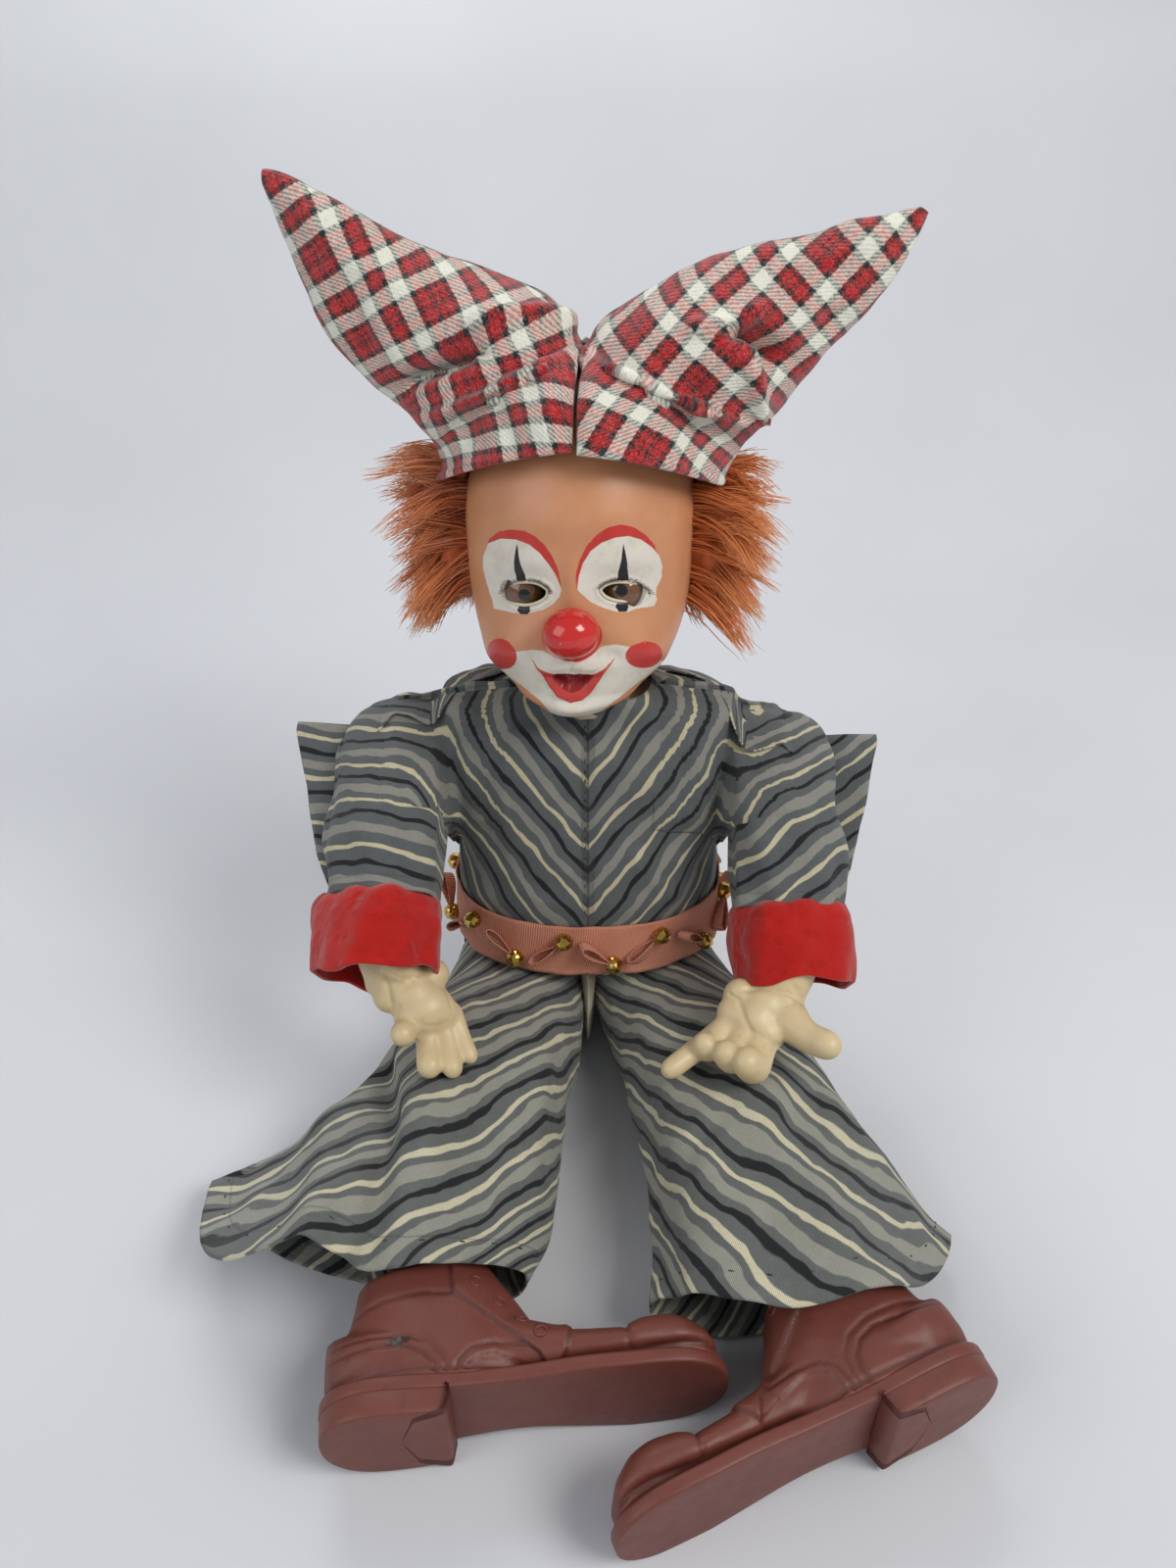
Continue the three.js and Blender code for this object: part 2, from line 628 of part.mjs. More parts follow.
function eyes() {
  const meshes = [];
  for (const side of ["left", "right"]) {
    const centre = vector(sideSign[side] * EYE_X, EYE_Y, EYE_Z);
    meshes.push(piece(`eye_${side}`, ball(centre, EYE_RADIUS, 14), "eye_plastic"));
  }
  const reach = EYE_X - EYE_RADIUS - GAP;
  const bar = rod(vector(-reach, EYE_Y, EYE_Z), vector(reach, EYE_Y, EYE_Z), EYE_BAR_RADIUS, 8);
  const lean = radians(WEIGHT_LEAN);
  const along = (distance) =>
    vector(0, EYE_Y + distance * Math.sin(lean), EYE_Z - distance * Math.cos(lean));
  const arm = rod(along(0), along(WEIGHT_DROP), EYE_BAR_RADIUS, 8);
  const weight = rod(along(WEIGHT_DROP), along(WEIGHT_DROP + WEIGHT_LENGTH), WEIGHT_RADIUS, SMALL_SIDES);
  meshes.push(piece("eye_rocker", bar.add(arm).add(weight), "rocker_metal"));
  return meshes;
}

// Hat: a crown open below, drawn out into a horn on each side.
const hornStations = {
  left: [
    { before: [76.5, 53], wide: 34, deep: 32 },
    { before: [57.5, 38.5], wide: 26.5, deep: 19 },
    { before: [42, 28], wide: 21.5, deep: 13 },
    { before: [23.5, 16.5], wide: 14, deep: 8 },
    { before: [0, 0], wide: HAT_TIP_RADIUS, deep: HAT_TIP_RADIUS },
  ],
  right: [
    { before: [67.5, 61], wide: 33, deep: 31 },
    { before: [45.5, 46], wide: 26, deep: 19 },
    { before: [29.5, 33.5], wide: 20, deep: 13 },
    { before: [15.5, 18.5], wide: 12.5, deep: 8 },
    { before: [0, 0], wide: HAT_TIP_RADIUS, deep: HAT_TIP_RADIUS },
  ],
};

function hatCrown(grow, drop) {
  const rim = (across, along) => {
    const front = along < 0 ? HAT_RIM_FRONT : HAT_RIM_BACK;
    return vector(0, 0, HAT_RIM_SIDE + (front - HAT_RIM_SIDE) * along ** 2 - drop);
  };
  const ridge = (across) => vector(0, 0, HAT_NOTCH_Z + 14 * Math.abs(across) + grow);
  const rings = [
    { z: 0, wide: HAT_RIM_HALF_WIDTH, deep: HAT_RIM_HALF_DEPTH, lift: rim },
    { z: 52, wide: HAT_RIM_HALF_WIDTH - 2, deep: HAT_RIM_HALF_DEPTH - 8, lift: null },
    { z: 68, wide: HAT_RIM_HALF_WIDTH - 8, deep: HAT_RIM_HALF_DEPTH - 21, lift: null },
    { z: 0, wide: HAT_RIM_HALF_WIDTH - 14, deep: 6, lift: ridge },
  ].map((station) => {
    const at = vector(0, 0, station.z);
    const wide = Math.max(station.wide + grow, 1);
    const high = Math.max(station.deep + grow, 1);
    const { lift } = station;
    return ringOf({ at, right: vector(1, 0, 0), up: vector(0, 1, 0), wide, high, lift });
  });
  return solidOf(loft(rings));
}

function hatHorn(side, grow) {
  const [reach, top] = [HORN_TIP_X[side], HORN_TIP_Z[side]];
  const stations = hornStations[side].map(({ before, wide, deep }) => ({
    at: vector(sideSign[side] * (reach - before[0]), 0, top - before[1]),
    wide: Math.max(deep + grow, HAT_TIP_RADIUS / 2),
    high: Math.max(wide + grow, HAT_TIP_RADIUS / 2),
  }));
  return limb(stations, { across: vector(0, 1, 0), sides: 20, ends: Math.min(grow, 0) * 2 });
}

function hatSolid(grow, drop = 0) {
  return hatCrown(grow, drop).add(hatHorn("left", grow)).add(hatHorn("right", grow));
}

function hat() {
  const below = 60;
  const cavity = hatSolid(-CLOTH, below).add(headForm(HAT_HEAD_GAP));
  const shell = hatSolid(0).subtract(cavity);
  return ["left", "right"].map((side) => {
    const sign = sideSign[side];
    const reach = [sign * (GAP / 2), sign * FAR].sort((a, b) => a - b);
    return piece(`hat_${side}`, shell.intersect(slab({ x: reach })), "plaid_wool");
  });
}

// Hair: a tuft over each ear and a fringe round the back, all below the hat.
function hair() {
  const cut = headForm(GAP).add(ear(1, GAP)).add(ear(-1, GAP)).add(hatSolid(2 * GAP, 2 * GAP));
  const meshes = [];
  for (const side of ["left", "right"]) {
    const sign = sideSign[side];
    const top = side === "left" ? 34 : 44;
    const middle = (top + HAIR_BOTTOM) / 2;
    const radii = vector(HAIR_REACH - 60, 25, (top - HAIR_BOTTOM) / 2);
    const tuft = ellipsoid(vector(sign * 60, 10, middle), radii, 16);
    const inner = ellipsoid(vector(sign * 46, 14, middle - 4), vector(12, 26, radii.z - 10), 12);
    const reach = [sign * (HAIR_SPLIT + GAP), sign * FAR].sort((a, b) => a - b);
    const body = tuft.add(inner).subtract(cut).intersect(slab({ x: reach }));
    meshes.push(piece(`wig_${side}`, mainBody(body), "hair"));
  }
  const back = ellipsoid(vector(0, 42, -6), vector(52, 17, 30), 16);
  const fringe = back.subtract(cut).intersect(slab({ x: [-HAIR_SPLIT, HAIR_SPLIT], y: [20, FAR] }));
  meshes.push(piece("wig_back", mainBody(fringe), "hair"));
  return meshes;
}

function headGroup() {
  const tilted = new THREE.Group();
  tilted.position.set(HEAD_X, HEAD_Y, HEAD_Z);
  tilted.rotation.set(radians(HEAD_TILT), 0, 0);
  const turned = new THREE.Group();
  turned.position.set(0, NECK_Y, 0);
  turned.rotation.set(0, 0, radians(HEAD_YAW));
  const content = new THREE.Group();
  content.position.set(0, -NECK_Y, 0);
  content.add(vinylHead(), ...eyes(), ...hair(), ...hat());
  turned.add(content);
  tilted.add(turned);
  return tilted;
}

// Arm: hung along -z from the shoulder, then swung forward. Nothing of it passes the torso's side.
function armSide(side) {
  const sign = sideSign[side];
  const inner = sign * (TORSO_LIMIT + SWING_GAP - SHOULDER_X);
  return slab({ x: [inner, sign * FAR].sort((a, b) => a - b) });
}

function armRoot(side, radius, grow) {
  const sign = sideSign[side];
  const inner = TORSO_LIMIT - SHOULDER_X - 4;
  const stations = [
    { at: inner, size: radius },
    { at: radius * 0.35, size: radius },
    { at: radius * 0.7, size: radius * 0.76 },
    { at: radius * 0.85, size: radius * 0.4 },
  ].map(({ at, size }) => ({ at: vector(sign * at, 0, 0), wide: size + grow, high: size + grow }));
  return limb(stations, { across: vector(0, 1, 0), sides: SIDES });
}

function armStations(side, list) {
  const drift = 6;
  return list.map(({ s, wide, high }) => ({
    at: vector((sideSign[side] * drift * s) / ARM_LENGTH, 0, -s),
    wide,
    high,
  }));
}

function clothArm(side) {
  const stations = armStations(side, [
    { s: 0, wide: ARM_ROOT_RADIUS, high: ARM_ROOT_RADIUS },
    { s: 25, wide: ARM_ROOT_RADIUS + 0.6, high: ARM_ROOT_RADIUS },
    { s: 60, wide: 15, high: 15 },
    { s: ARM_LENGTH, wide: WRIST_RADIUS, high: WRIST_RADIUS },
  ]);
  const end = stations[stations.length - 1].at;
  const [boreTop, boreEnd] = [PLUG_LENGTH + GAP, -9].map((above) => vector(end.x, 0, end.z + above));
  const bore = rod(boreTop, boreEnd, PLUG_RADIUS + GAP);
  const arm = armRoot(side, ARM_ROOT_RADIUS, 0).add(limb(stations)).intersect(armSide(side));
  const above = slab({ z: [-ARM_LENGTH, FAR] });
  return piece(`cloth_arm_${side}`, arm.intersect(above).subtract(bore), "body_cloth");
}

function sleeveForm(side, grow, ends = 0) {
  const end = SLEEVE_END_RADIUS + grow;
  const stations = armStations(side, [
    { s: 0, wide: SLEEVE_ROOT_RADIUS + grow, high: SLEEVE_ROOT_RADIUS + grow },
    { s: 35, wide: SLEEVE_RADIUS + grow, high: SLEEVE_RADIUS + grow },
    { s: 60, wide: SLEEVE_RADIUS + grow, high: SLEEVE_RADIUS - 2 + grow },
    { s: SLEEVE_END, wide: end, high: end },
  ]);
  return armRoot(side, SLEEVE_ROOT_RADIUS, grow).add(limb(stations, { ends }));
}

// The flat corner of spare cloth that stands out from the top of the sleeve.
function sleeveFin(side) {
  const sign = sideSign[side];
  const fin = new THREE.Shape();
  fin.moveTo(0, FIN_TOP);
  fin.lineTo(FIN_REACH - 1, FIN_TOP);
  fin.lineTo(FIN_REACH, FIN_TOP - 4);
  fin.lineTo(FIN_REACH - 6, -20);
  fin.lineTo(FIN_REACH - 14, -50);
  fin.lineTo(SLEEVE_END_RADIUS + 4, 1 - SLEEVE_END);
  fin.lineTo(0, 1 - SLEEVE_END);
  fin.closePath();
  const geometry = new THREE.ExtrudeGeometry(fin, { depth: FIN_THICKNESS, bevelEnabled: false });
  geometry.rotateX(Math.PI / 2);
  geometry.translate(0, FIN_FORWARD, 0);
  geometry.scale(sign, 1, 1);
  return solidOf(geometry);
}

function sleeve(side) {
  const form = sleeveForm(side, 0).add(sleeveFin(side));
  const shell = form.subtract(sleeveForm(side, -CLOTH, 4));
  return piece(`sleeve_${side}`, mainBody(shell.intersect(armSide(side))), "suit_cloth");
}

function cuff(side) {
  const outer = armStations(side, [
    { s: SLEEVE_END + GAP, wide: CUFF_RADIUS, high: CUFF_RADIUS },
    { s: 88, wide: CUFF_RADIUS + 1, high: CUFF_RADIUS },
    { s: CUFF_END, wide: CUFF_RADIUS, high: CUFF_RADIUS - 1 },
  ]);
  const ring = limb(outer).subtract(limb(outer, { grow: -FELT, ends: 3 }));
  return piece(`cuff_${side}`, ring.intersect(armSide(side)), "red_felt");
}

// Hand: a plug up the cloth arm, then a bent wrist, a palm and fingers. `out` is the way the
// fingers point, `thumb` the thumb's side and `palm` the way the palm faces, in the arm's frame.
const handPose = {
  right: {
    out: [0.37, -0.05, -0.93],
    palm: [-0.1, -0.98, 0.05],
    fingers: [
      [[30, 10, 2], [42, 12, 6]],
      [[31, 3.5, 1], [54, 4, 5]],
      [[30, -3.5, 1], [58, -5, 4]],
      [[28, -10.5, 1], [53, -14, 5]],
    ],
    thumb: [[8, 11, 3], [15, 15, 12], [17, 14, 20]],
  },
  left: {
    out: [-0.42, -0.42, -0.8],
    palm: [-0.05, -0.88, 0.45],
    fingers: [
      [[31, 10, 0], [42, 10, 3], [41, 10, 11]],
      [[31, 3.5, 0], [44, 3.5, 3], [42, 3.5, 12]],
      [[30, -3.5, 0], [43, -4, 3], [40, -3.5, 11]],
      [[28, -10.5, 0], [42, -15, 2], [54, -20, 1]],
    ],
    thumb: [[9, 12, 2], [20, 22, 4], [26, 29, 5]],
  },
};

function hand(side) {
  const pose = handPose[side];
  const out = vector(...pose.out).normalize();
  const palm = vector(...pose.palm);
  palm.addScaledVector(out, -palm.dot(out)).normalize();
  const thumb = out.clone().cross(palm).multiplyScalar(sideSign[side]);
  if (thumb.x * sideSign[side] < 0) {
    thumb.negate();
  }
  const wrist = vector(sideSign[side] * 6, 0, -ARM_LENGTH);
  const bend = wrist.clone().add(vector(0, 0, -GAP - HAND_NECK));
  const place = ([along, toThumb, toPalm]) =>
    bend.clone().addScaledVector(out, along).addScaledVector(thumb, toThumb).addScaledVector(palm, toPalm);

  const plug = rod(wrist.clone().add(vector(0, 0, PLUG_LENGTH)), bend, PLUG_RADIUS, 12);
  const collar = rod(wrist.clone().add(vector(0, 0, -GAP)), bend, HAND_WRIST_RADIUS, 12);
  const knob = ball(bend, HAND_WRIST_RADIUS, 12);
  const palmForm = limb(
    [
      { at: place([2, 0, 0]), wide: HAND_WRIST_RADIUS - 1, high: HAND_WRIST_RADIUS - 2 },
      { at: place([12, 1, 0]), wide: PALM_HALF_WIDTH, high: PALM_HALF_THICKNESS + 1 },
      { at: place([25, 0, 0]), wide: PALM_HALF_WIDTH, high: PALM_HALF_THICKNESS },
      { at: place([PALM_LENGTH, 0, 1]), wide: PALM_HALF_WIDTH - 2, high: PALM_HALF_THICKNESS - 3 },
    ],
    { across: thumb, sides: 12 },
  );
  let body = plug.add(collar).add(knob).add(palmForm);
  for (const points of pose.fingers) {
    body = body.add(finger(points.map(place), FINGER_RADIUS));
  }
  body = body.add(finger(pose.thumb.map(place), THUMB_RADIUS));
  return piece(`hand_${side}`, body, "hand_vinyl");
}

function armGroup(side) {
  const group = new THREE.Group();
  group.position.set(sideSign[side] * SHOULDER_X, SHOULDER_Y, SHOULDER_Z);
  group.rotation.set(-radians(ARM_SWING[side]), 0, 0);
  group.add(clothArm(side), sleeve(side), cuff(side), hand(side));
  return group;
}

// Leg: a round root on the hip's hinge line, then the limb forward from it, in the hip's frame.
function legDirection(side) {
  const angle = sideSign[side] * radians(LEG_SPLAY[side]);
  const fall = (ANKLE_Z - HIP_Z) / LEG_LENGTH;
  return vector(Math.sin(angle), -Math.cos(angle), fall).normalize();
}

function hipRoot(radius, grow) {
  const from = vector(-HIP_HALF_WIDTH - grow, 0, 0);
  const to = vector(HIP_HALF_WIDTH + grow, 0, 0);
  return rod(from, to, radius + grow, SIDES);
}

function clothLeg(side) {
  const along = legDirection(side);
  const at = (distance) => along.clone().multiplyScalar(distance);
  const stations = [
    { at: at(0), wide: THIGH_RADIUS, high: THIGH_RADIUS },
    { at: at(45), wide: THIGH_RADIUS, high: THIGH_RADIUS },
    { at: at(110), wide: 20, high: 20 },
    { at: at(BOOT_COLLAR_AT[side] - 16), wide: ANKLE_RADIUS, high: ANKLE_RADIUS },
    { at: at(LEG_LENGTH), wide: ANKLE_RADIUS, high: ANKLE_RADIUS },
  ];
  const shrink = -(CLOTH + GAP);
  const leg = hipRoot(TROUSER_ROOT_RADIUS, shrink).add(limb(stations, { sides: 20 }));
  return piece(`cloth_leg_${side}`, leg, "stocking");
}

function trouserForm(side, grow, past = 0) {
  const angle = sideSign[side] * radians(HEM_ANGLE[side]);
  const toHem = vector(Math.sin(angle), -Math.cos(angle), 0);
  const level = legDirection(side).setZ(0).normalize();
  const floor = FLOOR_GAP - HIP_Z;
  const station = (share, wide, high, bulge, folds) => {
    const along = level.clone().lerp(toHem, share * share).normalize();
    const distance = share * HEM_DISTANCE[side] + (share === 1 ? past : 0);
    return {
      at: along.clone().multiplyScalar(distance).add(vector(0, 0, floor + high)),
      facing: along,
      wide,
      high,
      power: 2.2,
      lift: (across, up) => {
        const phase = HEM_FOLDS * Math.asin(THREE.MathUtils.clamp(across, -1, 1));
        const wave = folds * Math.cos(phase) * Math.max(up, 0);
        const forward = (up > 0 ? bulge : bulge * UNDER_BULGE) * (1 - across * across);
        return along.clone().multiplyScalar(forward).add(vector(0, 0, wave));
      },
    };
  };
  const hem = HEM_HALF_WIDTH[side];
  const stations = [
    station(0, HIP_HALF_WIDTH, TROUSER_ROOT_RADIUS - FLOOR_GAP, 0, 0),
    station(0.19, 30, TROUSER_ROOT_RADIUS, 0, 0),
    station(0.38, 38, 31.5, 0, 0),
    station(0.6, 46, 31, 3, 0.8),
    station(0.85, hem - 8, 29, HEM_BULGE * 0.6, 1.6),
    station(1, hem, HEM_HALF_HEIGHT, HEM_BULGE, 2.2),
  ];
  return hipRoot(TROUSER_ROOT_RADIUS, grow).add(limb(stations, { grow, sides: 30, ends: 0 }));
}

function trouserLeg(side) {
  const sign = sideSign[side];
  const shell = trouserForm(side, 0).subtract(trouserForm(side, -CLOTH, 4));
  const inner = sign * (CROTCH_HALF_WIDTH + SWING_GAP - HIP_X);
  const own = slab({ x: [inner, sign * FAR].sort((a, b) => a - b), z: [FLOOR_GAP - HIP_Z, FAR] });
  return piece(`trouser_leg_${side}`, shell.intersect(own), "suit_cloth");
}

function legGroup(side) {
  const group = new THREE.Group();
  group.position.set(sideSign[side] * HIP_X, HIP_Y, HIP_Z);
  group.add(clothLeg(side), trouserLeg(side));
  return group;
}

// Boot: forward is -x of its own frame turned to the toe, up is +z to the leg, the ankle at the origin.
function bootFrame(side) {
  const toe = vector(...BOOT_TOE[side]).normalize();
  const up = vector(...BOOT_UP[side]);
  up.addScaledVector(toe, -up.dot(toe)).normalize();
  return new THREE.Matrix4().makeBasis(toe, up.clone().cross(toe), up);
}

function bootSolid() {
  const front = BOOT_LENGTH - BOOT_HEEL_BACK;
  const base = SOLE_THICKNESS - BOOT_SOLE;
  const level = (z, back, toe, wide, power = BOOT_SQUARENESS) => ringOf({
    at: vector((toe - back) / 2, 0, z),
    right: vector(1, 0, 0),
    up: vector(0, 1, 0),
    wide: (toe + back) / 2,
    high: wide,
    power,
    sides: SIDES,
  });
  const footLevel = (z, back, toe, wide) => level(z, back, toe, wide, FOOT_SQUARENESS);
  const upper = loft([
    footLevel(base, BOOT_HEEL_BACK - 2, front - 2, BOOT_HALF_WIDTH - 1),
    footLevel(base + BOOT_TOE_HEIGHT * 0.5, BOOT_HEEL_BACK - 2, front - 3, BOOT_HALF_WIDTH - 1),
    footLevel(base + BOOT_TOE_HEIGHT * 0.8, BOOT_HEEL_BACK - 4, front - 14, BOOT_HALF_WIDTH - 2),
    footLevel(base + BOOT_TOE_HEIGHT, BOOT_HEEL_BACK - 6, front - 58, BOOT_HALF_WIDTH - 3),
    level(1, BOOT_COLLAR_RADIUS + 2.5, BOOT_COLLAR_RADIUS + 5, BOOT_COLLAR_RADIUS),
    level(8, BOOT_COLLAR_RADIUS, BOOT_COLLAR_RADIUS + 1, BOOT_COLLAR_RADIUS),
  ]);
  const sole = loft([
    level(-BOOT_SOLE, BOOT_HEEL_BACK, front - 1, BOOT_HALF_WIDTH),
    level(base + 0.5, BOOT_HEEL_BACK, front, BOOT_HALF_WIDTH),
  ]);
  const heel = loft([
    level(-BOOT_SOLE - HEEL_HEIGHT, BOOT_HEEL_BACK - 1.2, front, BOOT_HALF_WIDTH - 0.6),
    level(-BOOT_SOLE + 2, BOOT_HEEL_BACK - 0.6, front, BOOT_HALF_WIDTH - 0.6),
  ]);
  const heelPart = solidOf(heel).intersect(slab({ x: [-FAR, HEEL_LENGTH - BOOT_HEEL_BACK] }));
  return solidOf(upper).add(solidOf(sole)).add(heelPart);
}

// The boot is laid on its side and lowered until it touches the floor.
function boot(side) {
  const along = legDirection(side);
  const hip = vector(sideSign[side] * HIP_X, HIP_Y, HIP_Z);
  const collar = hip.clone().addScaledVector(along, BOOT_COLLAR_AT[side]);
  const end = hip.clone().addScaledVector(along, LEG_LENGTH + GAP);
  const geometry = geometryOf(bootSolid());
  geometry.applyMatrix4(bootFrame(side));
  geometry.translate(collar.x, collar.y, collar.z);
  geometry.computeBoundingBox();
  geometry.translate(0, 0, FLOOR_GAP - geometry.boundingBox.min.z);
  const before = hip.clone().addScaledVector(along, BOOT_COLLAR_AT[side] - 20);
  const bore = rod(before, end, ANKLE_RADIUS + 2 * GAP, ANKLE_BORE_SIDES);
  return piece(`boot_${side}`, solidOf(geometry).subtract(bore), "boot_rubber");
}

const group = new THREE.Group();
group.add(clothTorso(), ...suit(), neckTie(), belt(), ...beltTrim(), headGroup());
for (const side of ["left", "right"]) {
  group.add(armGroup(side), legGroup(side), boot(side));
}

export default group;
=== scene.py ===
"""A seated clown doll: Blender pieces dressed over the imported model.

Lengths are in mm until a mesh is made from them.
"""
import math
import random

import bmesh
import bpy
import numpy as np
from mathutils import Matrix, Vector
from mathutils.bvhtree import BVHTree
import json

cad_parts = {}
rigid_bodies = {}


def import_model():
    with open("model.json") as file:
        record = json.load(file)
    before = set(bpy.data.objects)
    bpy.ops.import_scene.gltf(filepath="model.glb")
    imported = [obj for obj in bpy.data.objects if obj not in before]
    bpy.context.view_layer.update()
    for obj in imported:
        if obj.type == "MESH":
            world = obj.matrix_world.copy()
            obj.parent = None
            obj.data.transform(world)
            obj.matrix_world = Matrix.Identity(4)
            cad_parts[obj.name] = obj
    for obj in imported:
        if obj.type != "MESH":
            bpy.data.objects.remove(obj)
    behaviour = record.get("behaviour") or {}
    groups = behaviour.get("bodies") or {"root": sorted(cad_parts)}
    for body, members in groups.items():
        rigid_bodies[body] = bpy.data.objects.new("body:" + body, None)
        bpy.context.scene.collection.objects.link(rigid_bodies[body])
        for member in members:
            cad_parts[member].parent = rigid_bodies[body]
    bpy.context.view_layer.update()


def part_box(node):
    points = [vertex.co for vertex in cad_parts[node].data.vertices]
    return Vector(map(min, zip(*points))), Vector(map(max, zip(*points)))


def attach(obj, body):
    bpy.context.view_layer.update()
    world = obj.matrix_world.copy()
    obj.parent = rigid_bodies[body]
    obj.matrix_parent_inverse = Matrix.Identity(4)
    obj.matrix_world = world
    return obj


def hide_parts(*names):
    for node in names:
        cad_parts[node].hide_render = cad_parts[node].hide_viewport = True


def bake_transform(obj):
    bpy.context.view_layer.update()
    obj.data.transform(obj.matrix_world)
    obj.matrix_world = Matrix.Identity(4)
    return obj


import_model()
MM = 0.001
SIGN = {"left": 1, "right": -1}
LASH_DRAWS = random.Random(7)

# Camera, in mm: it looks along +Y and down
CAMERA_AT = np.array([0.0, -447.0, 424.0])
CAMERA_PITCH = math.radians(35)
FOCAL_PX = 1200.0
CENTRE_PX = (600.0, 800.0)

# Head frame, as in the model
HEAD_AT = np.array([-2.5, -16.0, 237.0])
HEAD_TILT = math.radians(-10)
HEAD_YAW = math.radians(-4)
NECK_Y = 4.0

# Limbs, as in the model
SHOULDER = np.array([78.0, -22.0, 150.0])
ARM_SWING = {"left": math.radians(46), "right": math.radians(57)}
ARM_LENGTH = 88.0
ARM_DRIFT = 6.0  # how far the cloth arm leans outwards over its length
HIP = np.array([35.0, -42.0, 28.0])
LEG_SPLAY = {"left": 19, "right": 9}
LEG_LENGTH = 196.0
ANKLE_Z = 27.0


def unit(v):
    """A vector at length 1."""
    v = np.asarray(v, float)
    return v / np.linalg.norm(v)


def smooth_step(low, high, value):
    """0 up to low, 1 from high on, with an even bend between them."""
    t = np.clip((value - low) / (high - low), 0, 1)
    return t * t * (3 - 2 * t)


def to_photo(points):
    """Where points, in mm, fall in the photograph."""
    rel = np.asarray(points, float) - CAMERA_AT
    s, c = math.sin(CAMERA_PITCH), math.cos(CAMERA_PITCH)
    depth = rel[..., 1] * c - rel[..., 2] * s
    down = -rel[..., 1] * s - rel[..., 2] * c
    x = CENTRE_PX[0] + FOCAL_PX * rel[..., 0] / depth
    y = CENTRE_PX[1] + FOCAL_PX * down / depth
    return np.stack([x, y], -1)


def rotation(axis, angle):
    """The matrix of a turn about an axis."""
    return np.array(Matrix.Rotation(angle, 3, Vector(axis)))


def head_to_world(points):
    """Head-local points turned about the neck, tilted and put in place."""
    shifted = np.asarray(points, float) - [0, NECK_Y, 0]
    turned = shifted @ rotation((0, 0, 1), HEAD_YAW).T + [0, NECK_Y, 0]
    return turned @ rotation((1, 0, 0), HEAD_TILT).T + HEAD_AT


def world_to_head(points):
    """The reverse of head_to_world."""
    tilted = (np.asarray(points, float) - HEAD_AT) @ rotation((1, 0, 0), HEAD_TILT)
    return (tilted - [0, NECK_Y, 0]) @ rotation((0, 0, 1), HEAD_YAW) + [0, NECK_Y, 0]


def arm_to_world(side, points):
    """Points of the hanging arm swung forward about the shoulder."""
    shoulder = SHOULDER * [SIGN[side], 1, 1]
    return np.asarray(points, float) @ rotation((1, 0, 0), -ARM_SWING[side]).T + shoulder


LATTICE = np.random.default_rng(11).uniform(-1, 1, (32, 32, 32))


def fbm(points, size, octaves=3, seed=0.0):
    """Smooth noise from about -1 to 1 with features of the given size."""
    at = np.asarray(points, float) / size + np.array([17.3, 5.1, 9.7]) * (seed + 31)
    out = np.zeros(len(at))
    gain = 1.0
    for _ in range(octaves):
        cell = np.floor(at).astype(int)
        part = at - cell
        part = part * part * (3 - 2 * part)
        total = np.zeros(len(at))
        for corner in range(8):
            step = np.array([corner & 1, corner >> 1 & 1, corner >> 2 & 1])
            i, j, k = ((cell + step) % 32).T
            weight = np.prod(np.where(step == 1, part, 1 - part), axis=1)
            total += weight * LATTICE[i, j, k]
        out += gain * total
        at = at * 2.03 + 3.7
        gain *= 0.5
    return out


def segment_distance(points, line):
    """Distance to a polyline, and how far along it the nearest point is."""
    points = np.asarray(points, float)
    best = np.full(len(points), 1e9)
    place = np.zeros(len(points))
    line = np.asarray(line, float)
    lengths = np.linalg.norm(np.diff(line, axis=0), axis=1)
    total = lengths.sum()
    before = 0.0
    for a, b, length in zip(line[:-1], line[1:], lengths):
        d = b - a
        t = np.clip(((points - a) @ d) / (d @ d), 0, 1)
        away = np.linalg.norm(points - (a + t[:, None] * d), axis=1)
        near = away < best
        best[near] = away[near]
        place[near] = (before + t[near] * length) / total
        before += length
    return best, place


def catmull(points, count, closed=False):
    """A smooth line through points, evenly spaced."""
    points = np.asarray(points, float)
    n = len(points)
    fine = []
    last = n if closed else n - 1
    for i in range(last):
        if closed:
            p = [points[(i + k) % n] for k in (-1, 0, 1, 2)]
        else:
            p = [points[min(max(i + k, 0), n - 1)] for k in (-1, 0, 1, 2)]
        for t in np.linspace(0, 1, 16, endpoint=False):
            fine.append(
                0.5
                * (
                    2 * p[1]
                    + (p[2] - p[0]) * t
                    + (2 * p[0] - 5 * p[1] + 4 * p[2] - p[3]) * t**2
                    + (3 * p[1] - p[0] - 3 * p[2] + p[3]) * t**3
                )
            )
    fine.append(points[0] if closed else points[-1])
    fine = np.array(fine)
    run = np.r_[0, np.cumsum(np.linalg.norm(np.diff(fine, axis=0), axis=1))]
    wanted = np.linspace(0, run[-1], count, endpoint=not closed)
    return np.stack([np.interp(wanted, run, fine[:, k]) for k in range(fine.shape[1])], -1)


def blend_rows(stations, rows):
    """Stations (a position 0..1, then values) read smoothly at each row."""
    keys = sorted(stations)
    out = []
    xs = np.array([k[0] for k in keys], float)
    values = np.array([np.ravel(k[1]) for k in keys], float)
    slopes = np.gradient(values, xs, axis=0)
    for t in rows:
        i = int(np.clip(np.searchsorted(xs, t) - 1, 0, len(xs) - 2))
        h = xs[i + 1] - xs[i]
        s = np.clip((t - xs[i]) / h, 0, 1)
        a = (1 + 2 * s) * (1 - s) ** 2
        b = s * (1 - s) ** 2
        c = s * s * (3 - 2 * s)
        d = s * s * (s - 1)
        out.append(a * values[i] + b * h * slopes[i] + c * values[i + 1] + d * h * slopes[i + 1])
    return np.array(out)


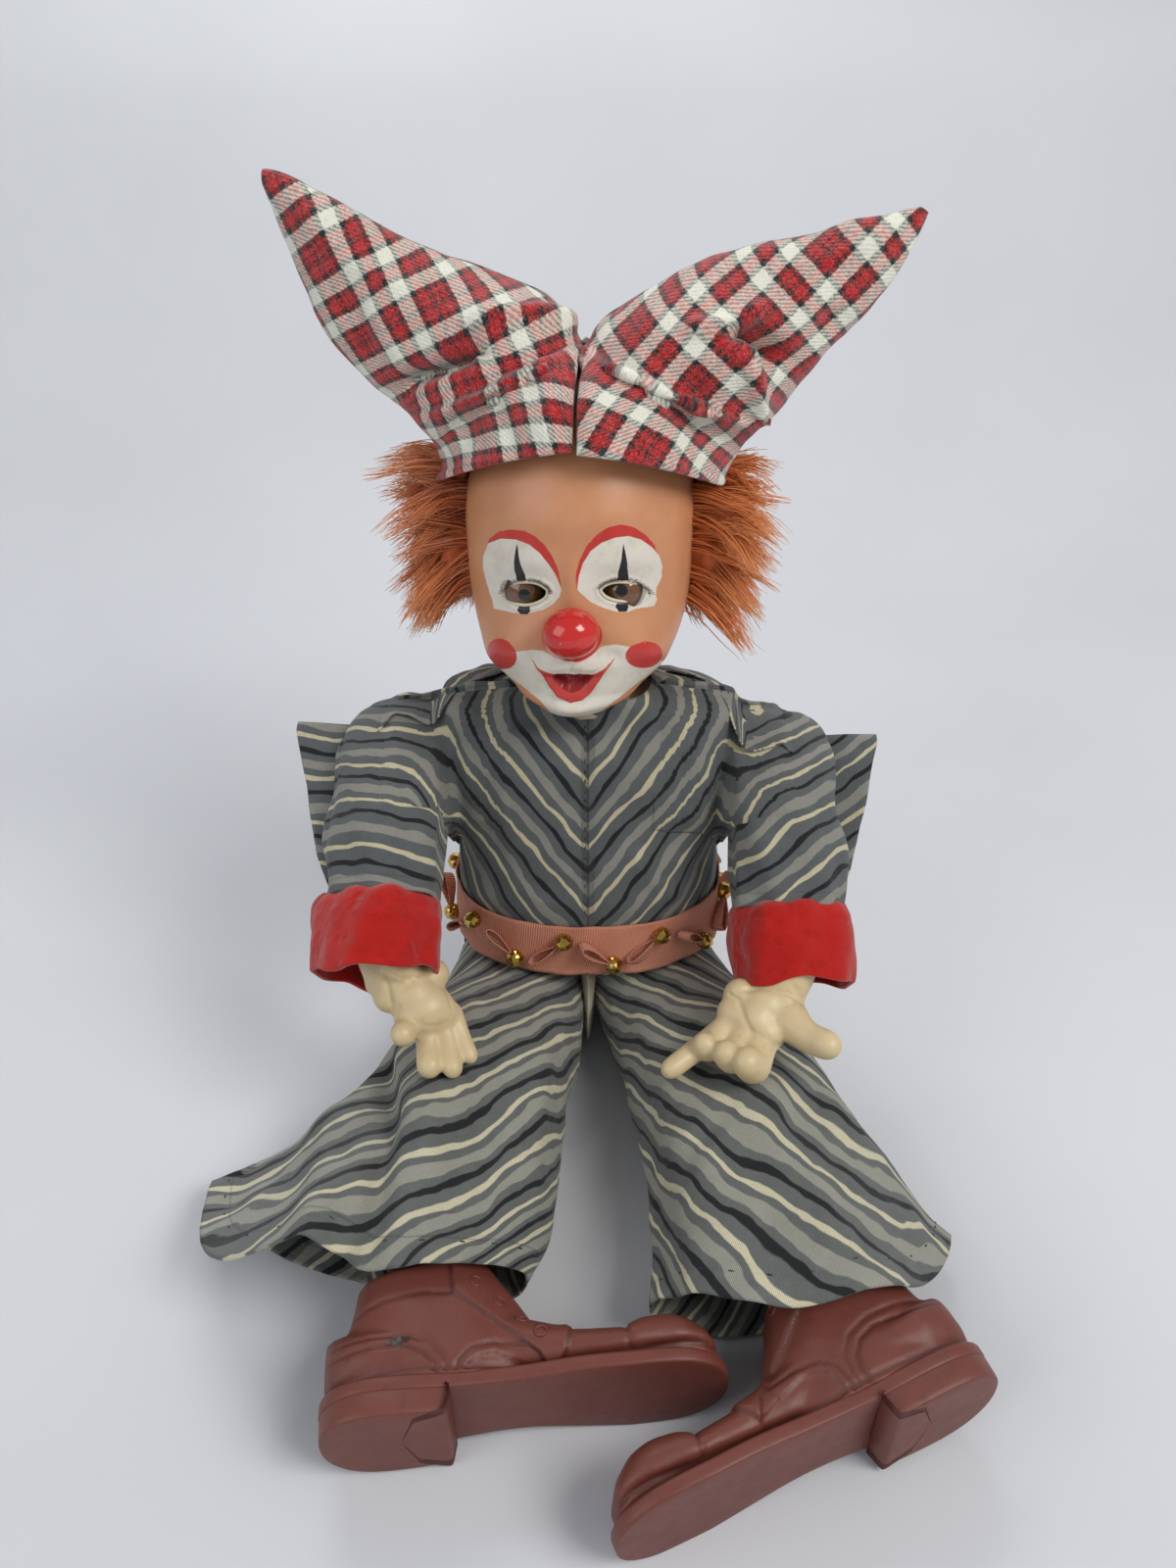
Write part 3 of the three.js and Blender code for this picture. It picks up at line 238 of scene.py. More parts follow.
def ring(angles, wide, high, power=2.0):
    """Points of a superellipse in its own plane."""
    c, s = np.cos(angles), np.sin(angles)
    x = np.sign(c) * np.abs(c) ** (2 / power) * wide
    y = np.sign(s) * np.abs(s) ** (2 / power) * high
    return x, y


def grid_faces(rows, cols, closed=True):
    """Faces of a grid of points, joined round each row unless it is left open."""
    faces = []
    last = cols if closed else cols - 1
    for r in range(rows - 1):
        for c in range(last):
            n = (c + 1) % cols
            faces.append((r * cols + c, r * cols + n, (r + 1) * cols + n, (r + 1) * cols + c))
    return faces


def closed_tube_faces(count, sides):
    """Faces of a tube whose last ring is joined to its first."""
    last = (count - 1) * sides
    closing = [(last + k, last + (k + 1) % sides, (k + 1) % sides, k) for k in range(sides)]
    return grid_faces(count, sides) + closing


def capped(points, faces, cols, rows, start=True, end=True):
    """Closes a grid's first and last rings with a fan to their middle."""
    points = list(points)
    if start:
        points.append(np.mean(points[:cols], 0))
        middle = len(points) - 1
        faces += [(middle, (c + 1) % cols, c) for c in range(cols)]
    if end:
        first = (rows - 1) * cols
        points.append(np.mean(points[first : first + cols], 0))
        middle = len(points) - 1
        faces += [(middle, first + c, first + (c + 1) % cols) for c in range(cols)]
    return np.array(points), faces


def piece(name, points, faces, look, smooth=True):
    """A mesh piece made from points in mm."""
    mesh = bpy.data.meshes.new(name)
    mesh.from_pydata((np.asarray(points, float) * MM).tolist(), [], faces)
    mesh.update()
    obj = bpy.data.objects.new(name, mesh)
    bpy.context.collection.objects.link(obj)
    for material in look if isinstance(look, (list, tuple)) else [look]:
        mesh.materials.append(material)
    if smooth:
        mesh.polygons.foreach_set("use_smooth", [True] * len(mesh.polygons))
    store(obj, "at", points)
    store(obj, "seam", np.full(len(points), 99.0))
    return obj


def coords(obj):
    """A mesh's vertices, in mm."""
    co = np.empty(len(obj.data.vertices) * 3)
    obj.data.vertices.foreach_get("co", co)
    return co.reshape(-1, 3) / MM


def set_coords(obj, points):
    """Moves a mesh's vertices to points in mm."""
    obj.data.vertices.foreach_set("co", (np.asarray(points) * MM).ravel())
    obj.data.update()


def normals(obj):
    """The outward direction at each vertex."""
    n = np.empty(len(obj.data.vertices) * 3)
    obj.data.vertices.foreach_get("normal", n)
    return n.reshape(-1, 3)


def store(obj, name, values):
    """Keeps a number or a vector for each vertex, for the material."""
    values = np.asarray(values, float)
    kind = "FLOAT" if values.ndim == 1 else "FLOAT_VECTOR"
    layer = obj.data.attributes.get(name) or obj.data.attributes.new(name, kind, "POINT")
    layer.data.foreach_set("value" if values.ndim == 1 else "vector", values.astype(np.float32).ravel())


def read(obj, name):
    """The numbers that store() kept on a mesh's vertices."""
    values = np.empty(len(obj.data.vertices))
    obj.data.attributes[name].data.foreach_get("value", values)
    return values


def bake(obj, *modifiers):
    """Adds modifiers, each a kind with its settings, and applies them all."""
    for kind, settings in modifiers:
        modifier = obj.modifiers.new(kind, kind)
        for key, value in settings.items():
            setattr(modifier, key, value)
    bpy.context.view_layer.update()
    shape = obj.evaluated_get(bpy.context.evaluated_depsgraph_get())
    mesh = bpy.data.meshes.new_from_object(
        shape, preserve_all_data_layers=True, depsgraph=bpy.context.evaluated_depsgraph_get()
    )
    old = obj.data
    obj.modifiers.clear()
    obj.data = mesh
    mesh.name = old.name
    bpy.data.meshes.remove(old)
    return obj


def facing(points, toward, softness=0.25):
    """How far each normal turns to the camera, from 0 to 1."""
    look = unit_rows(CAMERA_AT - points)
    return smooth_step(0, softness, np.einsum("ij,ij->i", toward, look))


def unit_rows(v):
    """Each row at length 1."""
    return v / np.maximum(np.linalg.norm(v, axis=1, keepdims=True), 1e-9)


def press_folds(obj, folds):
    """Raises ridges and presses valleys along lines given in the photograph's pixels."""
    for line, width, height in folds:
        points = coords(obj)
        toward = normals(obj)
        away, along = segment_distance(to_photo(points), line)
        fade = smooth_step(0, 0.18, along) * smooth_step(0, 0.18, 1 - along)
        fade = 0.25 + 0.75 * fade
        shape = np.exp(-((away / width) ** 2)) * fade * facing(points, toward)
        set_coords(obj, points + toward * (height * shape)[:, None])


def colour(code):
    """A colour written as six hex digits, in the renderer's linear values."""
    out = []
    for i in (0, 2, 4):
        v = int(code[i : i + 2], 16) / 255
        out.append(v / 12.92 if v <= 0.04045 else ((v + 0.055) / 1.055) ** 2.4)
    return (*out, 1.0)


class Look:
    """One material, with short calls for its nodes.

    Places in it are in mm, from the piece's own points.
    """

    def __init__(self, name, **sockets):
        self.material = bpy.data.materials.new(name)
        self.material.use_nodes = True
        self.tree = self.material.node_tree
        self.shader = self.tree.nodes["Principled BSDF"]
        self.heights = []
        for key, value in sockets.items():
            self.set(key, value)

    def node(self, kind, **settings):
        made = self.tree.nodes.new(kind)
        for key, value in settings.items():
            setattr(made, key, value)
        return made

    def link(self, value, socket):
        if isinstance(value, bpy.types.NodeSocket):
            self.tree.links.new(value, socket)
        else:
            socket.default_value = value

    def set(self, name, value):
        self.link(value, self.shader.inputs[name.replace("_", " ")])

    def math(self, operation, a, b=0.0, c=0.0, clamp=False):
        made = self.node("ShaderNodeMath", operation=operation, use_clamp=clamp)
        for value, socket in zip((a, b, c), made.inputs):
            self.link(value, socket)
        return made.outputs[0]

    def vector_math(self, operation, a, b=(0, 0, 0)):
        made = self.node("ShaderNodeVectorMath", operation=operation)
        self.link(a, made.inputs[0])
        if operation == "SCALE":
            self.link(b, made.inputs["Scale"])
        else:
            self.link(b, made.inputs[1])
        return made.outputs[0]

    def mix(self, share, a, b, blend="MIX"):
        made = self.node("ShaderNodeMix", data_type="RGBA", blend_type=blend)
        self.link(share, made.inputs[0])
        self.link(a, made.inputs[6])
        self.link(b, made.inputs[7])
        return made.outputs[2]

    def value(self, name):
        return self.node("ShaderNodeAttribute", attribute_name=name).outputs["Fac"]

    def vector(self, name):
        return self.node("ShaderNodeAttribute", attribute_name=name).outputs["Vector"]

    def place(self):
        """The surface point at rest, in mm."""
        made = self.node("ShaderNodeTexCoord")
        return self.vector_math("SCALE", made.outputs["Object"], 1 / MM)

    def rest(self):
        return self.vector("at")

    def split(self, vector):
        made = self.node("ShaderNodeSeparateXYZ")
        self.link(vector, made.inputs[0])
        return made.outputs

    def join(self, x, y, z=0.0):
        made = self.node("ShaderNodeCombineXYZ")
        for value, socket in zip((x, y, z), made.inputs):
            self.link(value, socket)
        return made.outputs[0]

    def noise(self, at, size, detail=2.0, rough=0.5, seed=0.0):
        """Noise from 0 to 1 with features about `size` mm across."""
        made = self.node("ShaderNodeTexNoise", noise_dimensions="4D")
        self.link(at, made.inputs["Vector"])
        made.inputs["W"].default_value = seed
        made.inputs["Scale"].default_value = 1 / size
        made.inputs["Detail"].default_value = detail
        made.inputs["Roughness"].default_value = rough
        return made.outputs["Fac"]

    def cells(self, at, size, feature="F1", seed=0.0):
        made = self.node("ShaderNodeTexVoronoi", voronoi_dimensions="4D", feature=feature)
        self.link(at, made.inputs["Vector"])
        made.inputs["W"].default_value = seed
        made.inputs["Scale"].default_value = 1 / size
        return made.outputs["Distance"]

    def step(self, low, high, value, to_low=0.0, to_high=1.0):
        made = self.node("ShaderNodeMapRange", interpolation_type="SMOOTHSTEP")
        for given, key in zip((value, low, high, to_low, to_high), range(5)):
            self.link(given, made.inputs[key])
        return made.outputs[0]

    def ramp(self, share, stops, interpolation="LINEAR"):
        made = self.node("ShaderNodeValToRGB")
        made.color_ramp.interpolation = interpolation
        elements = made.color_ramp.elements
        while len(elements) < len(stops):
            elements.new(1.0)
        for element, (at, shade) in zip(elements, sorted(stops)):
            element.position = at
            element.color = shade
        self.link(share, made.inputs[0])
        return made.outputs[0]

    def raise_by(self, height, depth):
        """Adds a height from 0 to 1, worth `depth` mm, to the surface's relief."""
        self.heights.append(self.math("MULTIPLY", height, depth))

    def finish(self):
        if self.heights:
            total = self.heights[0]
            for height in self.heights[1:]:
                total = self.math("ADD", total, height)
            bump = self.node("ShaderNodeBump")
            bump.inputs["Distance"].default_value = MM
            bump.inputs["Strength"].default_value = 1.0
            self.link(total, bump.inputs["Height"])
            self.set("Normal", bump.outputs[0])
        return self.material


def wrap(look, value, period, centre):
    """Distance in mm from the nearest repeat of a line at `centre` of the period."""
    turns = look.math("SUBTRACT", look.math("DIVIDE", value, period), centre - 0.5)
    part = look.math("FRACT", turns)
    return look.math("MULTIPLY", look.math("ABSOLUTE", look.math("SUBTRACT", part, 0.5)), period)


STRIPE_PERIOD = 19.0
STRIPES = (
    ("pale", 0.33, 3.6),
    ("cream", 0.0, 1.8),
    ("black", 0.66, 1.9),
)


def striped_cloth(name, shades, period=STRIPE_PERIOD):
    """Printed cotton twill: hand-drawn stripes, read from the piece's own stripe coordinate."""
    look = Look(name, Roughness=0.86, Sheen_Weight=0.18, Sheen_Roughness=0.45)
    look.set("Specular IOR Level", 0.3)
    at = look.rest()
    wander = look.math("MULTIPLY", look.math("SUBTRACT", look.noise(at, 30, 1.0), 0.5), 9.0)
    shake = look.math("MULTIPLY", look.math("SUBTRACT", look.noise(at, 9, 1.0, seed=3), 0.5), 2.6)
    across = look.math("ADD", look.value("stripe"), look.math("ADD", wander, shake))
    mottle = look.noise(at, 7, 4.0, 0.65, seed=1)
    shade = look.mix(mottle, colour(shades["low"]), colour(shades["base"]))
    for i, (key, centre, width) in enumerate(STRIPES):
        swell = look.math("SUBTRACT", look.noise(at, 11, 1.0, seed=5 + i), 0.5)
        half = look.math("MULTIPLY_ADD", swell, width * 0.85, width / 2)
        away = look.math("SUBTRACT", half, wrap(look, across, period, centre))
        mask = look.step(-0.22, 0.22, away)
        shade = look.mix(look.math("MULTIPLY", mask, 0.96), shade, colour(shades[key]))
    grain_at = look.split(look.vector("weave"))
    ribs = look.math(
        "SINE", look.math("MULTIPLY", look.math("ADD", grain_at[0], grain_at[1]), 2 * math.pi / 0.62)
    )
    ribs = look.math("MULTIPLY_ADD", ribs, 0.5, 0.5)
    slub = look.noise(at, 0.8, 2.0, 0.6, seed=9)
    grain = look.math("MULTIPLY_ADD", ribs, 0.5, look.math("MULTIPLY", slub, 0.5))
    dark = look.mix(1.0, shade, (0.62, 0.62, 0.62, 1), "MULTIPLY")
    shade = look.mix(look.step(0.25, 0.75, grain), dark, shade)
    seam = look.step(0.9, 0.1, look.value("seam"))
    shade = look.mix(look.math("MULTIPLY", seam, 0.55), shade, colour("26282b"))
    look.set("Base Color", shade)
    look.raise_by(grain, 0.16)
    look.raise_by(look.noise(at, 5, 2.0, 0.5, seed=4), 0.35)
    return look.finish()


PLAID_BANDS = (
    (4.4, "red"),
    (1.0, "black"),
    (4.4, "red"),
    (2.1, "black"),
    (5.4, "cream"),
    (2.1, "black"),
    (3.6, "red"),
    (2.1, "black"),
    (5.4, "cream"),
    (2.1, "black"),
)
PLAID = sum(width for width, _ in PLAID_BANDS)
WOOL = {"red": "b81a20", "black": "0d1418", "cream": "ebebdc"}


def plaid_yarn(look, value):
    """The colour of one yarn direction across the sett."""
    share = look.math("FRACT", look.math("DIVIDE", value, PLAID))
    stops = []
    at = 0.0
    soft = 0.25 / PLAID
    for width, key in PLAID_BANDS:
        stops.append((at / PLAID + soft, colour(WOOL[key])))
        at += width
        stops.append((at / PLAID - soft, colour(WOOL[key])))
    shade = look.ramp(share, stops)
    for third in (11.0 / 3, 22.0 / 3):
        line = look.step(0.55, 0.2, wrap(look, value, PLAID, third / PLAID))
        shade = look.mix(look.math("MULTIPLY", line, 0.85), shade, colour(WOOL["black"]))
    return shade


def plaid_wool():
    """Brushed wool plaid: two yarn directions woven as a twill, with a soft nap."""
    look = Look("plaid_wool", Roughness=0.95, Sheen_Weight=0.35, Sheen_Roughness=0.5)
    look.set("Specular IOR Level", 0.15)
    at = look.rest()
    fuzz = look.node("ShaderNodeTexNoise", noise_dimensions="3D")
    look.link(at, fuzz.inputs["Vector"])
    fuzz.inputs["Scale"].default_value = 1 / 0.9
    fuzz.inputs["Detail"].default_value = 3.0
    drift = look.vector_math(
        "SCALE", look.vector_math("SUBTRACT", fuzz.outputs["Color"], (0.5, 0.5, 0.5)), 1.5
    )
    cloth = look.vector_math("ADD", look.vector("weave"), drift)
    part = look.split(cloth)
    warp = plaid_yarn(look, part[0])
    weft = plaid_yarn(look, look.math("ADD", part[1], 4.0))
    diagonal = look.math(
        "SINE", look.math("MULTIPLY", look.math("ADD", part[0], part[1]), 2 * math.pi / 1.9)
    )
    pick = look.math("MULTIPLY_ADD", diagonal, 0.5, 0.5)
    share = look.step(
        0.2,
        0.8,
        look.math(
            "MULTIPLY_ADD", look.noise(at, 0.8, 2.0, seed=6), 0.5, look.math("MULTIPLY", pick, 0.5)
        ),
    )
    shade = look.mix(look.math("MULTIPLY_ADD", share, 0.5, 0.25), warp, weft)
    nap = look.noise(at, 0.55, 3.0, 0.7, seed=2)
    shade = look.mix(look.step(0.45, 0.8, nap, 0.0, 0.22), shade, colour("f1ece0"))
    shade = look.mix(look.step(0.5, 0.25, nap, 0.0, 0.35), shade, colour("1a0f12"))
    seam = look.step(1.0, 0.1, look.value("seam"))
    shade = look.mix(look.math("MULTIPLY", seam, 0.5), shade, colour("2a1417"))
    look.set("Base Color", shade)
    look.raise_by(nap, 0.5)
    look.raise_by(pick, 0.16)
    return look.finish()


def face_vinyl():
    """Painted skin vinyl. The paints' edges come from distances kept on the mesh, in mm."""
    look = Look("face_vinyl", Roughness=0.4, Subsurface_Weight=0.12, Subsurface_Scale=0.004)
    look.set("Subsurface Radius", (1.0, 0.35, 0.2))
    at = look.rest()
    mottle = look.noise(at, 14, 4.0, 0.6, seed=2)
    shade = look.mix(mottle, colour("b9794f"), colour("d39a72"))
    shade = look.mix(
        look.step(0.5, 0.75, look.noise(at, 26, 2.0, seed=8), 0.0, 0.35), shade, colour("c98a74")
    )
    ragged = look.math("SUBTRACT", look.noise(at, 1.6, 2.0, 0.6, seed=4), 0.5)
    paints = (
        ("white", "dcd8cc", 0.7, 0.94, 0.16),
        ("red", "c22a26", 0.5, 0.97, 0.14),
        ("black", "17161a", 0.35, 1.0, 0.1),
        ("deep", "8f1416", 0.3, 1.0, 0.15),
    )
    thick = None
    for key, code, rag, cover, soft in paints:
        edge = look.math("MULTIPLY_ADD", ragged, rag, look.value(key))
        mask = look.math("MULTIPLY", look.step(-soft, soft, edge), cover)
        tone = colour(code)
        if key == "white":
            grime = look.noise(at, 6, 4.0, 0.65, seed=5)
            tone = look.mix(look.step(0.45, 0.75, grime, 0.0, 0.4), tone, colour("b9ab93"))
        if key == "red":
            tone = look.mix(look.noise(at, 4, 3.0, seed=7), colour("ad1d1c"), colour("cf3a33"))
        chips = look.step(0.66, 0.72, look.noise(at, 1.5, 3.0, 0.6, seed=11))
        worn = look.math("MULTIPLY", chips, look.step(2.6, 0.6, look.math("ABSOLUTE", edge)))
        if key in ("red", "white"):
            mask = look.math(
                "MULTIPLY", mask, look.math("SUBTRACT", 1.0, look.math("MULTIPLY", worn, 0.75))
            )
        shade = look.mix(mask, shade, tone)
        thick = mask if thick is None else look.math("MAXIMUM", thick, mask)
    soil = look.step(0.62, 0.8, look.noise(at, 2.4, 4.0, 0.7, seed=12), 0.0, 0.3)
    shade = look.mix(soil, shade, colour("7a5238"))
    look.set("Base Color", shade)
    gloss = look.math("MULTIPLY_ADD", look.noise(at, 9, 3.0, seed=13), 0.16, 0.32)
    look.set("Roughness", look.math("SUBTRACT", gloss, look.math("MULTIPLY", thick, 0.06)))
    look.raise_by(thick, 0.07)
    look.raise_by(look.noise(at, 1.2, 2.0, seed=3), 0.03)
    return look.finish()


def vinyl(name, shades, rough=0.42, soft=0.25):
    """Moulded vinyl or rubber: slow changes of tone, handling marks, painted shade along creases and
    grooves, and fine pits.
    """
    look = Look(name, Roughness=rough, Subsurface_Weight=soft, Subsurface_Scale=0.003)
    look.set("Subsurface Radius", (1.0, 0.6, 0.35))
    at = look.rest()
    shade = look.mix(
        look.noise(at, 18, 4.0, 0.6, seed=1), colour(shades["low"]), colour(shades["base"])
    )
    soil = look.step(0.55, 0.8, look.noise(at, 5, 4.0, 0.7, seed=5), 0.0, 0.5)
    shade = look.mix(soil, shade, colour(shades["soil"]))
    # Painted shade: the soil colour is laid along creases and grooves through the crease value kept on
    # the mesh.
    crease = look.step(0.25, 1.0, look.value("crease"), 0.0, 0.6)
    shade = look.mix(crease, shade, colour(shades["soil"]))
    scuff = look.step(0.68, 0.8, look.noise(at, 3, 5.0, 0.7, seed=8), 0.0, 0.3)
    shade = look.mix(scuff, shade, colour(shades["scuff"]))
    look.set("Base Color", shade)
    look.set(
        "Roughness", look.math("MULTIPLY_ADD", look.noise(at, 7, 4.0, 0.6, seed=6), 0.24, rough - 0.1)
    )
    look.raise_by(look.noise(at, 0.9, 3.0, 0.6, seed=7), 0.05)
    look.raise_by(look.noise(at, 6, 2.0, 0.5, seed=9), 0.12)
    return look.finish()


def felt(name, shades):
    """Thick pressed felt with an embossed dimple pattern and a short nap."""
    look = Look(name, Roughness=0.96, Sheen_Weight=0.4, Sheen_Roughness=0.45)
    look.set("Specular IOR Level", 0.15)
    at = look.rest()
    nap = look.noise(at, 0.6, 4.0, 0.7, seed=2)
    shade = look.mix(look.noise(at, 9, 4.0, 0.6), colour(shades["low"]), colour(shades["base"]))
    shade = look.mix(look.step(0.5, 0.85, nap, 0.0, 0.4), shade, colour(shades["lint"]))
    dimples = look.step(0.1, 0.6, look.cells(look.vector("weave"), 5.2))
    # Painted shade: the hollows of the dimples are darkened towards the low colour.
    shade = look.mix(
        look.math("MULTIPLY", look.math("SUBTRACT", 1.0, dimples), 0.35), shade, colour(shades["low"])
    )
    look.set("Base Color", shade)
    look.raise_by(dimples, 0.5)
    look.raise_by(nap, 0.3)
    return look.finish()


def grosgrain():
    """Ribbed ribbon: fine cords across its width, slightly faded and soiled."""
    look = Look("ribbon", Roughness=0.72, Sheen_Weight=0.2, Sheen_Roughness=0.4)
    look.set("Specular IOR Level", 0.35)
    at = look.rest()
    part = look.split(look.vector("weave"))
    ribs = look.math(
        "MULTIPLY_ADD", look.math("SINE", look.math("MULTIPLY", part[0], 2 * math.pi / 1.05)), 0.5, 0.5
    )
    shade = look.mix(look.noise(at, 12, 3.0), colour("c98166"), colour("dc9a80"))
    shade = look.mix(look.step(0.5, 0.0, ribs, 0.0, 0.35), shade, colour("a3604a"))
    shade = look.mix(
        look.step(0.55, 0.8, look.noise(at, 4, 4.0, 0.7, seed=3), 0.0, 0.35), shade, colour("b98c78")
    )
    edge = look.step(0.9, 0.2, look.value("seam"))
    shade = look.mix(look.math("MULTIPLY", edge, 0.4), shade, colour("b3694f"))
    look.set("Base Color", shade)
    look.raise_by(ribs, 0.3)
    look.raise_by(look.noise(at, 3, 2.0, seed=5), 0.2)
    return look.finish()


def gold():
    """Plated faceted beads, dulled in places."""
    look = Look("gold_bead", Metallic=1.0, Roughness=0.22)
    at = look.rest()
    shade = look.mix(look.noise(at, 2.2, 3.0), colour("a8843a"), colour("dcb964"))
    worn = look.step(0.58, 0.75, look.noise(at, 1.3, 4.0, 0.7, seed=4))
    shade = look.mix(look.math("MULTIPLY", worn, 0.6), shade, colour("6b5530"))
    look.set("Base Color", shade)
    look.set("Roughness", look.math("MULTIPLY_ADD", worn, 0.25, 0.18))
    look.raise_by(look.noise(at, 0.7, 2.0), 0.03)
    return look.finish()


def mohair():
    """Hair fibres, each with its own shade kept on the mesh."""
    look = Look("hair", Roughness=0.5, Sheen_Weight=0.3, Sheen_Roughness=0.4)
    look.set("Specular IOR Level", 0.35)
    at = look.rest()
    own = look.value("shade")
    shade = look.ramp(own, [(0.0, colour("9c4519")), (0.45, colour("d86c30")), (1.0, colour("f3a868"))])
    shade = look.mix(look.noise(at, 9, 2.0), shade, colour("d8743a"))
    shade = look.mix(look.value("tip"), shade, colour("f3ad70"))
    look.set("Base Color", shade)
    look.raise_by(look.noise(at, 0.5, 1.0), 0.05)
    return look.finish()


def plain_cloth(name, shades, weave=0.55):
    """Plain-woven cotton: over-and-under yarns with slubs."""
    look = Look(name, Roughness=0.92, Sheen_Weight=0.15, Sheen_Roughness=0.5)
    look.set("Specular IOR Level", 0.2)
    at = look.place()
    part = look.split(at)
    warp = look.math(
        "SINE", look.math("MULTIPLY", look.math("ADD", part[0], part[1]), 2 * math.pi / weave)
    )
    weft = look.math(
        "SINE", look.math("MULTIPLY", look.math("ADD", part[2], part[1]), 2 * math.pi / weave)
    )
    grain = look.math("MULTIPLY_ADD", look.math("MULTIPLY", warp, weft), 0.5, 0.5)
    shade = look.mix(look.noise(at, 8, 4.0, 0.6), colour(shades["low"]), colour(shades["base"]))
    shade = look.mix(look.math("MULTIPLY", grain, 0.2), shade, colour(shades["low"]))
    look.set("Base Color", shade)
    look.raise_by(grain, 0.12)
    look.raise_by(look.noise(at, 1.5, 3.0, seed=3), 0.2)
    return look.finish()


def rocker_steel():
    """Dull cast weight metal on the eyes' rocker."""
    look = Look("rocker_metal", Metallic=0.9, Roughness=0.5)
    at = look.place()
    shade = look.mix(look.noise(at, 3, 4.0, 0.7), colour("5c5f63"), colour("8e9196"))
    look.set("Base Color", shade)
    look.raise_by(look.noise(at, 0.8, 3.0), 0.08)
    return look.finish()


def eye_glaze():
    """The ball of a sleeping eye: white, a brown iris with radial streaks, and a black pupil."""
    look = Look("eye_plastic", Roughness=0.08, Coat_Weight=0.6, Coat_Roughness=0.04)
    away = look.value("iris")
    turn = look.value("iris_turn")
    streaks = look.noise(
        look.join(look.math("MULTIPLY", turn, 5.0), look.math("MULTIPLY", away, 0.35)), 1.0, 3.0
    )
    brown = look.mix(streaks, colour("3a2416"), colour("8a603c"))
    brown = look.mix(look.step(6.0, 8.2, away), brown, colour("2a1a12"))
    shade = look.mix(look.step(8.2, 8.7, away), brown, colour("a9a08e"))
    shade = look.mix(look.step(2.4, 2.0, away), shade, colour("08080a"))
    lid = look.step(-0.2, 0.2, look.value("lid"))
    skin = look.mix(look.noise(look.rest(), 3, 3.0), colour("b9794f"), colour("cf9068"))
    shade = look.mix(lid, shade, skin)
    look.set("Base Color", shade)
    look.set("Roughness", look.math("MULTIPLY_ADD", lid, 0.35, 0.07))
    look.raise_by(look.noise(look.rest(), 1.2, 2.0), 0.01)
    return look.finish()


def plain_paint(name, code, rough=0.5):
    """One dark or pale detail, with slight worn spots so that it isn't flat."""
    look = Look(name, Roughness=rough)
    at = look.rest()
    shade = look.mix(
        look.step(0.3, 0.8, look.noise(at, 2, 3.0), 0.0, 0.35), colour(code), (0.32, 0.3, 0.28, 1)
    )
    look.set("Base Color", shade)
    look.raise_by(look.noise(at, 0.6, 2.0), 0.04)
    return look.finish()


# Painted light: the legs' copy of the striped suit cloth is drawn lighter in every colour than the
# top's.
SUIT_TOP = striped_cloth(
    "suit_cloth_top",
    {"low": "565a5c", "base": "6b6f6f", "pale": "94938a", "cream": "d3caa8", "black": "16171b"},
)
SUIT_LEGS = striped_cloth(
    "suit_cloth_legs",
    {"low": "616564", "base": "797c79", "pale": "a5a599", "cream": "e0d9ba", "black": "1b1c20"},
    period=15.0,
)
PLAID_WOOL = plaid_wool()
SKIN = face_vinyl()
# The soil colour of hand_vinyl and boot_rubber is also painted shade along their creases and grooves.
IVORY = vinyl(
    "hand_vinyl", {"low": "c3ad83", "base": "dccaa2", "soil": "9c7d52", "scuff": "e8dcc0"}, 0.4
)
RUBBER = vinyl(
    "boot_rubber", {"low": "5f2f27", "base": "7a4034", "soil": "42201b", "scuff": "935646"}, 0.48, 0.0
)
RED_FELT = felt("red_felt", {"low": "981412", "base": "c2221c", "lint": "e0563f"})
RIBBON = grosgrain()
GOLD = gold()
HAIR = mohair()
MUSLIN = plain_cloth("body_cloth", {"low": "c4b79d", "base": "e0d6c0"})
# Near-black cloth of the stuffed legs, which shows between the trouser hems and the boots.
DARK_LEG_CLOTH = plain_cloth("stocking", {"low": "0f1012", "base": "1f2024"}, 0.8)
TIE_CORD = plain_cloth("tie_cord", {"low": "8d8168", "base": "c7bb9c"}, 1.2)
ROCKER = rocker_steel()
EYE_GLAZE = eye_glaze()
THREAD = plain_paint("suit_cloth_thread", "101114", 0.7)
LASH = plain_paint("eye_plastic_lash", "0c0c0e", 0.6)
LID_RIM = plain_paint("eye_plastic_lid", "d9cfb4", 0.45)
STAIN = plain_paint("boot_rubber_stain", "2a1210", 0.35)


def cloth(obj, width, held, rests_on=(), with_pieces=()):
    """Reads the areas of a sheet's faces and does nothing more with them."""
    areas = np.empty(len(obj.data.polygons))
    obj.data.polygons.foreach_get("area", areas)
    list(rests_on)
    list(with_pieces)


def thicken(obj, thickness, subdivide=0):
    """Gives a single surface its cloth thickness, inwards, and smooths it where asked."""
    steps = [("SOLIDIFY", {"thickness": thickness * MM, "offset": -1.0, "use_even_offset": False})]
    if subdivide:
        steps.append(("SUBSURF", {"levels": subdivide, "render_levels": subdivide}))
    bake(obj, *steps)


def wrinkle(obj, size, height, seed, octaves=2, mask=None):
    """Small soft wrinkles all over a piece of cloth."""
    points = coords(obj)
    amount = height * fbm(points, size, octaves, seed)
    if mask is not None:
        amount = amount * mask
    set_coords(obj, points + normals(obj) * amount[:, None])


def run_of(points, rows, cols):
    """Arc length round each row of a grid, from its first column."""
    grid = points.reshape(rows, cols, 3)
    steps = np.linalg.norm(np.diff(grid, axis=1), axis=2)
    return np.concatenate([np.zeros((rows, 1)), np.cumsum(steps, axis=1)], axis=1)


